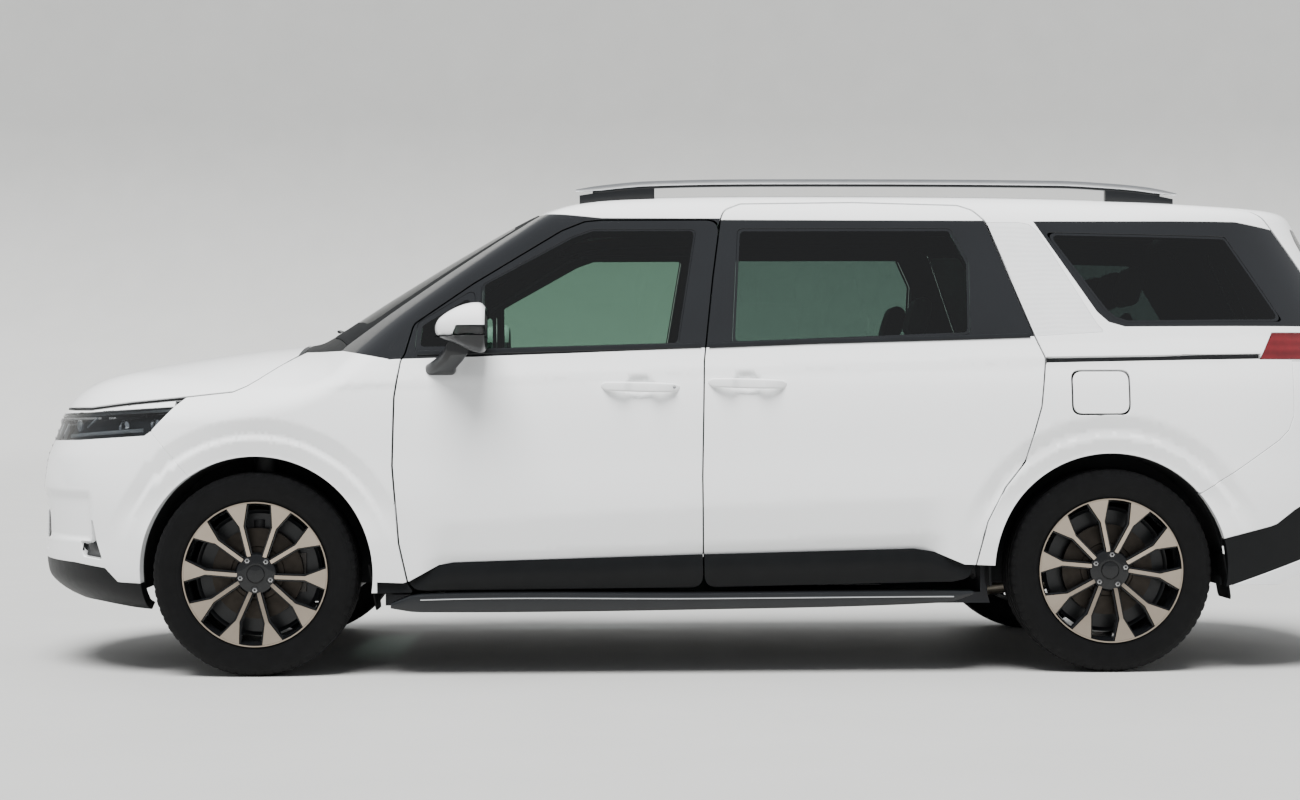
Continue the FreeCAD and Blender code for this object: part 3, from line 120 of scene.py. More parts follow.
def roughen(tree, shader, low, high, size):
    place = placeIn(tree)
    cloud = addNode(tree, "ShaderNodeTexNoise", {"Scale": 1000 / size, "Detail": 4.0}, {"Vector": place})
    spread = addNode(tree, "ShaderNodeMapRange", {"To Min": low, "To Max": high}, {"Value": cloud.outputs["Fac"]})
    tree.links.new(spread.outputs["Result"], shader.inputs["Roughness"])


def finished(name, hexColour, settings, clouded, roughened=None, grained=None):
    material, tree, shader = newMaterial(name, hexColour, settings)
    mottle(tree, shader, *clouded)
    if roughened:
        roughen(tree, shader, *roughened)
    if grained:
        grain(tree, shader, *grained)
    return material


# Sprayed white enamel under clear lacquer: bright even body, soft mirror coat with faint orange peel
white = finished("lacquered_white_steel", "#F0F1F1",
                 {"Roughness": 0.42, "IOR": 1.5, "Coat Weight": 1.0, "Coat Roughness": 0.04, "Coat IOR": 1.5},
                 ("#F2F3F3", "#EDEEEE", 900), None, (5.0, 0.006, 1.0, "Coat Normal"))

# Black piano-finish polymer film on pillars and frames: deep, even, mirror-like
glossBlack = finished("gloss_black_polymer", "#101113",
                      {"Roughness": 0.16, "IOR": 1.5, "Coat Weight": 0.5, "Coat Roughness": 0.05},
                      ("#0E0F11", "#15171A", 260), None, (4.0, 0.004, 1.0))

# Moulded polypropylene with a fine spark-eroded grain: soft grey-black sheen
grainedBlack = finished("grained_black_polypropylene", "#0B0C0D", {"IOR": 1.49, "Specular IOR Level": 0.2},
                        ("#0A0B0C", "#111213", 60), (0.42, 0.55, 30), (2.0, 0.05, 2.0))

# Satin moulded trim: smoother than the grained kind, slight broad sheen
satinBlack = finished("satin_black_trim", "#121315", {"IOR": 1.49},
                      ("#111214", "#191B1D", 140), (0.28, 0.36, 60), (1.6, 0.012, 1.0))

# Vulcanised rubber: flat charcoal with dusty lighter patches
tyreRubber = finished("vulcanised_tyre_rubber", "#070708", {"IOR": 1.52, "Specular IOR Level": 0.2},
                      ("#060606", "#0D0D0E", 45), (0.62, 0.80, 25), (1.8, 0.06, 3.0))

# Soft rubber lip and dark gap lining
seal = finished("black_seal_rubber", "#0B0B0C", {"IOR": 1.5},
                ("#090909", "#101011", 80), (0.7, 0.85, 40), (3.0, 0.03, 2.0))


# The body's skin: half width by height, nose and tail by height, and a crowned top.
# Places are shares of the wheelbase behind the front axle, heights are shares of the height.
def curveOf(pairs):
    places = np.array([p[0] for p in pairs])
    values = np.array([p[1] for p in pairs])
    last = len(pairs) - 1

    def read(place):
        place = np.clip(place, places[0], places[-1])
        low = np.clip(np.searchsorted(places, place) - 1, 0, last - 1)
        before = np.maximum(low - 1, 0)
        after = np.minimum(low + 2, last)
        run = places[low + 1] - places[low]
        rise = values[low + 1] - values[low]
        slopeIn = (values[low + 1] - values[before]) / (places[low + 1] - places[before])
        slopeOut = (values[after] - values[low]) / (places[after] - places[low])
        t = (place - places[low]) / run
        return (values[low] + t * run * slopeIn + t * t * (3 * rise - run * (2 * slopeIn + slopeOut))
                + t * t * t * (run * (slopeIn + slopeOut) - 2 * rise))
    return read


skin = {
    "section": curveOf([(0.08, 0.935), (0.126, 0.955), (0.163, 0.972), (0.244, 0.988), (0.352, 1.0),
                        (0.434, 0.996), (0.515, 0.989), (0.575, 0.976), (0.623, 0.953), (0.672, 0.928),
                        (0.759, 0.885), (0.84, 0.844), (0.913, 0.806), (0.954, 0.78), (1.06, 0.70)]),
    "nose": curveOf([(0.08, 0.60), (0.126, 0.70), (0.138, 0.842), (0.173, 0.96), (0.206, 0.988), (0.27, 0.99),
                     (0.37, 1.0), (0.43, 0.99), (0.466, 0.965), (0.526, 0.917), (0.575, 0.86), (0.63, 0.78),
                     (0.70, 0.68), (0.80, 0.58), (1.06, 0.40)]),
    "noseFrom": curveOf([(0.08, 0.0), (0.50, 0.0), (0.60, 0.16), (0.70, 0.36), (0.80, 0.42), (1.06, 0.42)]),
    "tail": curveOf([(0.08, 0.90), (0.126, 0.945), (0.20, 0.985), (0.30, 1.0), (0.40, 1.0), (0.50, 0.985),
                     (0.60, 0.958), (0.68, 0.925), (0.78, 0.858), (0.88, 0.775), (0.93, 0.735), (1.06, 0.63)]),
    "top": curveOf([(-0.36, 0.47), (-0.302, 0.505), (-0.2808, 0.5377), (-0.2403, 0.5827), (-0.1808, 0.6173),
                    (-0.115, 0.6385), (-0.0163, 0.6623), (0.0367, 0.6715), (0.0558, 0.681), (0.138, 0.7696),
                    (0.2218, 0.8558), (0.3018, 0.9315), (0.34, 0.9565), (0.402, 0.9725), (0.499, 0.979),
                    (0.693, 0.98), (0.92, 0.9755), (1.114, 0.962), (1.26, 0.94), (1.42, 0.89)]),
    "crown": curveOf([(-0.36, 0.03), (-0.24, 0.045), (-0.10, 0.072), (0.03, 0.078), (0.12, 0.055),
                      (0.30, 0.034), (0.45, 0.026), (1.0, 0.026), (1.42, 0.03)]),
    "sweep": curveOf([(-0.36, 0.0), (0.0, 0.0), (0.06, 0.04), (0.30, 0.04), (0.40, 0.0), (1.42, 0.0)]),
    "edgeRadius": curveOf([(-0.36, 0.02), (-0.27, 0.035), (-0.15, 0.07), (0.0, 0.07), (0.08, 0.05), (0.30, 0.06),
                           (0.45, 0.10), (1.0, 0.10), (1.12, 0.05), (1.42, 0.03)]),
    "noseRound": 2.25,
    "tailRound": 3.4,
    "crownPower": 2.6,
    "crownReach": 0.85,
}

# Pressed forms of the side: wheel arch bands, the ridge under the windows and the two low folds
press = {
    "archBand": ([0.400, 0.431, 0.485, 0.505, 0.564, 0.600], [-0.022, -0.021, -0.008, -0.017, 0.0, 0.0]),
    "archFade": (0.10, 0.30),
    "belt": curveOf([(-0.0483, 0.5722), (0.1486, 0.583), (0.5248, 0.6074), (0.9235, 0.6258), (1.2, 0.640)]),
    "beltRise": 0.004,
    "beltAbove": 0.060,
    "beltBelow": 0.022,
    "foldHigh": curveOf([(0.2073, 0.3031), (0.5223, 0.3344), (0.8078, 0.351)]),
    "foldLow": curveOf([(0.2104, 0.2373), (0.5224, 0.2596), (0.808, 0.2792)]),
    "foldSlopes": (0.12, 0.24),
    "foldEnds": (0.19, 0.23, 0.775, 0.815),
    "pocket": (-0.2060, -0.1985, 0.262, 0.272, 0.345, 0.372),
    "pocketDepth": 0.010,
    "hollows": [(0.449, 0.5725), (0.574, 0.5790)],
    "hollowSize": (0.062, 0.046, 0.016),
}


def turnsOf(count):
    return np.linspace(0, 2 * math.pi, count, endpoint=False)


def ease(low, high, value):
    t = np.clip((value - low) / (high - low), 0, 1)
    return t * t * (3 - 2 * t)


def pressing(x, z):
    share = (frontAxle - x) / wheelbase
    form = np.zeros_like(x)
    for axle in (frontAxle, rearAxle):
        reach = np.hypot(x - axle, z - axleHeight)
        form = form + np.interp(reach, *press["archBand"]) * ease(*press["archFade"], z - axleHeight)
    up = z - carHeight * press["belt"](share)
    ridge = np.where(up > 0, 1 - up / press["beltAbove"], 1 + up / press["beltBelow"])
    form = form + press["beltRise"] * np.clip(ridge, 0, 1) * ease(-0.08, 0.02, share)
    a, b, c, d = press["foldEnds"]
    along = ease(a, b, share) * (1 - ease(c, d, share))
    high = np.maximum(0, carHeight * press["foldHigh"](share) - z)
    low = np.maximum(0, carHeight * press["foldLow"](share) - z)
    ahead, behind, bottom, floor, ceiling, top = press["pocket"]
    height = z / carHeight
    form = form - press["pocketDepth"] * ((1 - ease(ahead, behind, share)) * ease(bottom, floor, height)
                                          * (1 - ease(ceiling, top, height)))
    wide, tall, deep = press["hollowSize"]
    for place, middle in press["hollows"]:
        reach = np.hypot((share - place) * wheelbase / wide, (z - middle * carHeight) / tall)
        form = form - deep * (1 - ease(0.45, 1.0, reach))
    return form - along * (high * press["foldSlopes"][0] + low * press["foldSlopes"][1])


def topHeight(x, y):
    out = np.abs(y) / halfWidth
    behind = (frontAxle - x) / wheelbase
    drop = skin["crown"](behind) * (out / skin["crownReach"]) ** skin["crownPower"]
    return carHeight * (skin["top"](behind - skin["sweep"](behind) * out * out) - drop)


# Below zero inside the body, above zero outside, and close to the distance in metres
def skinField(x, y, z, pressed=True):
    share = z / carHeight
    wide = halfWidth * skin["section"](share)
    noseFrom = frontAxle - wheelbase * skin["noseFrom"](share)
    nose = frontAxle + car["frontOverhang"] * skin["nose"](share)
    tail = rearAxle - rearOverhang * skin["tail"](share)
    ahead = np.maximum(0, (x - noseFrom) / (nose - noseFrom))
    behind = np.maximum(0, (rearAxle - x) / (rearAxle - tail))
    power = np.where(ahead > 0, skin["noseRound"], skin["tailRound"])
    roundness = (np.maximum(ahead, behind) ** power + (np.abs(y) / wide) ** power) ** (1 / power)
    side = (roundness - 1) * wide
    if pressed:
        side = side - pressing(x, z)
    top = z - topHeight(x, y)
    edge = skin["edgeRadius"]((frontAxle - x) / wheelbase)
    meet = np.maximum(edge - np.abs(side - top), 0)
    return np.maximum(side, top) + meet * meet / (4 * edge)


def skinNormals(points, pressed=True):
    step = 0.0015
    slopes = []
    for axis in range(3):
        shift = np.zeros(3)
        shift[axis] = step
        slopes.append(skinField(*(points + shift).T, pressed) - skinField(*(points - shift).T, pressed))
    normals = np.array(slopes).T
    return normals / np.linalg.norm(normals, axis=1, keepdims=True)


# Where rays from inside the body meet the skin
def reachSkin(origins, ways, far=2.2, pressed=True):
    low = np.zeros(len(origins))
    high = np.full(len(origins), far)
    for _ in range(22):
        middle = (low + high) / 2
        inside = skinField(*(origins + ways * middle[:, None]).T, pressed) < 0
        low = np.where(inside, middle, low)
        high = np.where(inside, high, middle)
    return origins + ways * high[:, None]


# Charts: each one flattens a stretch of the skin to two lengths, by rays from inside
# The numbers say where those rays start, and the radius that makes a length of their angle.
chartAt = {"sideUp": 0.85, "sideRadius": 0.95, "nose": 1.50, "tail": -1.40, "gate": -1.55, "gateUp": 0.95,
           "endRadius": 0.9, "topUp": 0.30}


def sideRays(flat):
    angle = flat[:, 1] / chartAt["sideRadius"]
    zero = np.zeros(len(flat))
    return (np.stack([flat[:, 0], zero, zero + chartAt["sideUp"]], 1),
            np.stack([zero, np.cos(angle), np.sin(angle)], 1))


def sideFlat(points):
    angle = np.arctan2(points[:, 2] - chartAt["sideUp"], points[:, 1])
    return np.stack([points[:, 0], angle * chartAt["sideRadius"]], 1)


def noseRays(flat):
    angle = flat[:, 0] / chartAt["endRadius"]
    zero = np.zeros(len(flat))
    return (np.stack([zero + chartAt["nose"], zero, flat[:, 1]], 1),
            np.stack([np.cos(angle), np.sin(angle), zero], 1))


def noseFlat(points):
    angle = np.arctan2(points[:, 1], points[:, 0] - chartAt["nose"])
    return np.stack([angle * chartAt["endRadius"], points[:, 2]], 1)


def tailRays(flat):
    angle = flat[:, 0] / chartAt["endRadius"]
    zero = np.zeros(len(flat))
    return (np.stack([zero + chartAt["tail"], zero, flat[:, 1]], 1),
            np.stack([-np.cos(angle), np.sin(angle), zero], 1))


def tailFlat(points):
    angle = np.arctan2(points[:, 1], chartAt["tail"] - points[:, 0])
    return np.stack([angle * chartAt["endRadius"], points[:, 2]], 1)


def topRays(flat):
    zero = np.zeros(len(flat))
    return (np.stack([flat[:, 0], flat[:, 1], zero + chartAt["topUp"]], 1), np.stack([zero, zero, zero + 1], 1))


def topFlat(points):
    return points[:, :2].copy()


def gateRays(flat):
    angle = flat[:, 1] / chartAt["endRadius"]
    zero = np.zeros(len(flat))
    return (np.stack([zero + chartAt["gate"], flat[:, 0], zero + chartAt["gateUp"]], 1),
            np.stack([-np.cos(angle), zero, np.sin(angle)], 1))


def gateFlat(points):
    angle = np.arctan2(points[:, 2] - chartAt["gateUp"], chartAt["gate"] - points[:, 0])
    return np.stack([points[:, 1], angle * chartAt["endRadius"]], 1)


charts = {"side": (sideRays, sideFlat), "nose": (noseRays, noseFlat), "tail": (tailRays, tailFlat),
          "top": (topRays, topFlat), "gate": (gateRays, gateFlat)}


# Outlines. A share pair is behind the front axle and up.
def sidePlace(share):
    return (frontAxle - share[0] * wheelbase, share[1] * carHeight)


def sidePlaces(shares):
    return [sidePlace(share) for share in shares]


def grown(points, margin):
    area = sum(a[0] * b[1] - b[0] * a[1] for a, b in zip(points, points[1:] + points[:1]))
    turn = 1 if area > 0 else -1
    moved = []
    for i, here in enumerate(points):
        before, after = points[i - 1], points[(i + 1) % len(points)]
        u = Vector(here) - Vector(before)
        v = Vector(after) - Vector(here)
        u.normalize()
        v.normalize()
        way = Vector((u.y + v.y, -(u.x + v.x)))
        reach = turn * margin * 2 / way.length_squared
        moved.append((here[0] + way.x * reach, here[1] + way.y * reach))
    return moved


# Corners become arcs, and long runs are divided so that they can follow the skin
def softened(points, radius, step=0.012):
    line = []
    for i, here in enumerate(points):
        before, after = Vector(points[i - 1]), Vector(points[(i + 1) % len(points)])
        here = Vector(here)
        u, v = (before - here), (after - here)
        room = 0.45 * min(u.length, v.length)
        opening = max(u.angle(v), 0.02)
        back = min(radius / math.tan(opening / 2), room) if radius else 0
        start, end = here + u.normalized() * back, here + v.normalized() * back
        if back < 0.001 or opening > 3.1:
            line.append(here)
            continue
        count = max(3, int((math.pi - opening) / 0.25))
        for k in range(count + 1):
            t = k / count
            line.append(start.lerp(here, t).lerp(here.lerp(end, t), t))
    even = []
    for a, b in zip(line, line[1:] + line[:1]):
        count = max(1, math.ceil((b - a).length / step))
        even += [a.lerp(b, k / count) for k in range(count)]
    return np.array([tuple(p) for p in even])


def openLine(points, step=0.012):
    even = []
    for a, b in zip(points, points[1:]):
        a, b = Vector(a), Vector(b)
        count = max(1, math.ceil((b - a).length / step))
        even += [a.lerp(b, k / count) for k in range(count)]
    even.append(Vector(points[-1]))
    return np.array([tuple(p) for p in even])


# Side view outline, sent across the car onto the skin
def fromSide(flat, pressed=True):
    zero = np.zeros(len(flat))
    starts = np.stack([flat[:, 0], zero, flat[:, 1]], 1)
    return reachSkin(starts, np.stack([zero, zero + 1, zero], 1), 1.4, pressed)


def fromTop(flat):
    return reachSkin(*topRays(flat))


def fromRear(flat):
    zero = np.zeros(len(flat))
    return reachSkin(np.stack([zero - 1.3, flat[:, 0], flat[:, 1]], 1), np.stack([zero - 1, zero, zero], 1))


def fromFront(flat):
    zero = np.zeros(len(flat))
    return reachSkin(np.stack([zero + 1.3, flat[:, 0], flat[:, 1]], 1), np.stack([zero + 1, zero, zero], 1))


def insideOf(points, loop):
    x, y = points[:, 0], points[:, 1]
    found = np.zeros(len(points), bool)
    for a, b in zip(loop, np.roll(loop, -1, axis=0)):
        crosses = (a[1] > y) != (b[1] > y)
        with np.errstate(divide="ignore", invalid="ignore"):
            cut = a[0] + (y - a[1]) * (b[0] - a[0]) / (b[1] - a[1])
        found ^= crosses & (x < cut)
    return found


# Triangles over a chart inside one flat loop, with every given line on the skin kept as edges
def cutSheet(chart, outer, lines=(), spacing=0.014, pressed=True):
    rays, flatten = charts[chart]
    flats = [(outer, True)] + [(flatten(line), False) for line in lines if len(line) > 1]
    points, edges = [], []
    for flat, closed in flats:
        start = len(points)
        points += flat.tolist()
        edges += [(start + i, start + (i + 1) % len(flat)) for i in range(len(flat) if closed else len(flat) - 1)]
    tree = kdtree.KDTree(len(points))
    for i, p in enumerate(points):
        tree.insert((p[0], p[1], 0), i)
    tree.balance()
    low, high = outer.min(0), outer.max(0)
    grid = []
    for row in range(int((high[1] - low[1]) / (spacing * 0.866)) + 1):
        for column in range(int((high[0] - low[0]) / spacing) + 1):
            u = low[0] + (column + 0.5 * (row % 2)) * spacing
            v = low[1] + (row + 0.5) * spacing * 0.866
            if tree.find((u, v, 0))[2] > spacing * 0.55:
                grid.append([u, v])
    grid = np.array(grid).reshape(-1, 2)
    points += grid[insideOf(grid, outer)].tolist()
    made = geometry.delaunay_2d_cdt([Vector(p) for p in points], edges, [], 0, 1e-6)
    flat = np.array([tuple(p) for p in made[0]])
    triangles = np.array([f for f in made[2] if len(f) == 3])
    triangles = triangles[insideOf(flat[triangles].mean(axis=1), outer)]
    spots = reachSkin(*rays(flat), pressed=pressed)
    return {"points": spots, "triangles": triangles, "pressed": pressed,
            "centres": spots[triangles].mean(axis=1)}


views = {"side": [0, 2], "rear": [1, 2], "top": [0, 1]}


# Outlines of one view, as keepArea takes them
def seen(view, *loops):
    return [(view, loop) for loop in loops]


# Which triangles lie inside the wanted outlines and outside the others, as seen in a view
def keepArea(sheet, within=(), without=()):
    keep = np.ones(len(sheet["centres"]), bool)
    for view, loop in within:
        keep &= insideOf(sheet["centres"][:, views[view]], np.array(loop))
    for view, loop in without:
        keep &= ~insideOf(sheet["centres"][:, views[view]], np.array(loop))
    return sheet["triangles"][keep]


# A pressed panel: skin surface, rounded hem, side wall, and where asked a lining behind
def formPanel(sheet, triangles, lift=0.0, hem=0.0018, depth=0.020, deep=0.0, form=None):
    used, compact = np.unique(triangles, return_inverse=True)
    triangles = compact.reshape(-1, 3)
    base = sheet["points"][used]
    pressed = sheet["pressed"]
    normals = skinNormals(base, pressed)
    rise = np.full(len(base), lift) if form is None else lift + form(base)
    points = base + normals * rise[:, None]
    if form is not None:
        normals = meshNormals(points, triangles, normals)
    corners = points[triangles]
    facing = np.cross(corners[:, 1] - corners[:, 0], corners[:, 2] - corners[:, 0])
    flipped = (facing * normals[triangles[:, 0]]).sum(1) < 0
    triangles[flipped] = triangles[flipped][:, ::-1]
    directed = set()
    for a, b, c in triangles:
        directed |= {(a, b), (b, c), (c, a)}
    border = [(a, b) for a, b in directed if (b, a) not in directed]
    border.sort()
    out = np.zeros_like(points)
    for a, b in border:
        run = points[b] - points[a]
        size = np.linalg.norm(run)
        if size > 1e-9:
            way = np.cross(run / size, normals[a] + normals[b])
            out[a] += way
            out[b] += way
    rim = sorted({a for a, b in border} | {b for a, b in border})
    place = {v: i for i, v in enumerate(rim)}
    rim = np.array(rim)
    away = out[rim] / np.maximum(np.linalg.norm(out[rim], axis=1, keepdims=True), 1e-9)
    up = normals[rim]
    edge = points[rim]
    points = points.copy()
    points[rim] = edge - away * hem
    soft = hem * 0.293
    rings = [(edge - away * soft - up * soft, (away + up) * 0.7071), (edge - up * hem, away),
             (edge - up * depth, away)]
    if deep:
        rings += [(edge - up * depth, away), (edge - up * deep, away)]
    allPoints, allNormals = [points], [normals]
    faces = [tuple(t) for t in triangles.tolist()]
    kinds = [0] * len(faces)
    before = rim
    count = len(points)
    for level, (ring, facing) in enumerate(rings):
        allPoints.append(ring)
        allNormals.append(facing)
        current = np.arange(count, count + len(rim))
        count += len(rim)
        if level != 3:
            for a, b in border:
                faces.append((int(before[place[a]]), int(current[place[a]]), int(current[place[b]]),
                              int(before[place[b]])))
                kinds.append(1 if level > 3 else 0)
        before = current
    if deep:
        allPoints.append(base - skinNormals(base, pressed) * deep)
        allNormals.append(-normals)
        faces += [tuple((count + np.array(t)[::-1]).tolist()) for t in triangles]
        kinds += [1] * len(triangles)
    return {"points": np.concatenate(allPoints), "normals": np.concatenate(allNormals), "faces": faces,
            "kinds": kinds}


def meshNormals(points, triangles, toward):
    corners = points[triangles]
    facing = np.cross(corners[:, 1] - corners[:, 0], corners[:, 2] - corners[:, 0])
    facing[(facing * toward[triangles[:, 0]]).sum(1) < 0] *= -1
    total = np.zeros_like(points)
    for i in range(3):
        np.add.at(total, triangles[:, i], facing)
    return total / np.maximum(np.linalg.norm(total, axis=1, keepdims=True), 1e-12)


def mirrored(made):
    copy = dict(made)
    copy["points"] = made["points"] * otherSide
    copy["faces"] = [tuple(reversed(f)) for f in made["faces"]]
    if made.get("normals") is not None:
        copy["normals"] = made["normals"] * otherSide
    return copy


def joinForms(forms):
    points, normals, faces, kinds = [], [], [], []
    count = 0
    for form in forms:
        points.append(form["points"])
        normals.append(form["normals"])
        faces += [tuple(i + count for i in f) for f in form["faces"]]
        kinds += form["kinds"]
        count += len(form["points"])
    normals = None if any(n is None for n in normals) else np.concatenate(normals)
    return {"points": np.concatenate(points), "normals": normals, "faces": faces, "kinds": kinds}


def addPiece(name, made, materials, body, replaces=(), sharp=None):
    mesh = bpy.data.meshes.new(name)
    mesh.from_pydata(made["points"].tolist(), [], made["faces"])
    for material in materials:
        mesh.materials.append(material)
    if made.get("kinds"):
        mesh.polygons.foreach_set("material_index", made["kinds"])
    mesh.polygons.foreach_set("use_smooth", [True] * len(mesh.polygons))
    mesh.update()
    if made.get("normals") is not None:
        mesh.normals_split_custom_set_from_vertices(made["normals"].tolist())
    elif sharp is not None:
        mesh.set_sharp_from_angle(angle=math.radians(sharp))
    piece = bpy.data.objects.new(name, mesh)
    bpy.context.scene.collection.objects.link(piece)
    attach(piece, body)
    for node in replaces:
        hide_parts(node)
    return piece


def addBoth(name, made, materials, body, replaces=(), sharp=None):
    addPiece(name + "_left", made, materials, body, replaces, sharp)
    addPiece(name + "_right", mirrored(made), materials, body.replace("left", "right"),
             [node.replace("left", "right") for node in replaces], sharp)


# A closed form through loops that all have the same count of points
def loft(loops, ends=(True, True), closed=False):
    loops = np.array(loops)
    rows, count = loops.shape[:2]
    faces = []
    for i in range(rows if closed else rows - 1):
        a, b = i * count, (i + 1) % rows * count
        faces += [(a + j, a + (j + 1) % count, b + (j + 1) % count, b + j) for j in range(count)]
    if ends[0] and not closed:
        faces.append(tuple(range(count))[::-1])
    if ends[1] and not closed:
        faces.append(tuple(range((rows - 1) * count, rows * count)))
    return {"points": loops.reshape(-1, 3), "faces": faces, "normals": None, "kinds": [0] * len(faces)}


# Rounded rectangle as a closed loop about its middle
def roundedLoop(wide, tall, radius, steps=5):
    radius = min(radius, wide / 2 - 1e-5, tall / 2 - 1e-5)
    turns = np.linspace(0, math.pi / 2, steps + 1)
    points = []
    for turn, (a, b) in enumerate(((1, 1), (-1, 1), (-1, -1), (1, -1))):
        middle = np.array([a * (wide / 2 - radius), b * (tall / 2 - radius)])
        angle = turns + turn * math.pi / 2
        points.append(middle + radius * np.stack([np.cos(angle), np.sin(angle)], 1))
    return np.concatenate(points)


def closedLoop(loop):
    return np.concatenate([loop, loop[:1]])


# A flat loop stood across the car, or laid level
def acrossLoop(flat, x, y, z):
    return np.stack([np.full(len(flat), x), y + flat[:, 0], z + flat[:, 1]], 1)


def levelLoop(flat, x, y, z):
    return np.stack([x + flat[:, 0], y + flat[:, 1], np.full(len(flat), z)], 1)


# A form of level rounded loops, from (x, y, z, length, width, radius) rows
def stackedForm(rows, steps):
    return loft([levelLoop(roundedLoop(long, wide, radius, steps), x, y, z)
                 for x, y, z, long, wide, radius in rows])


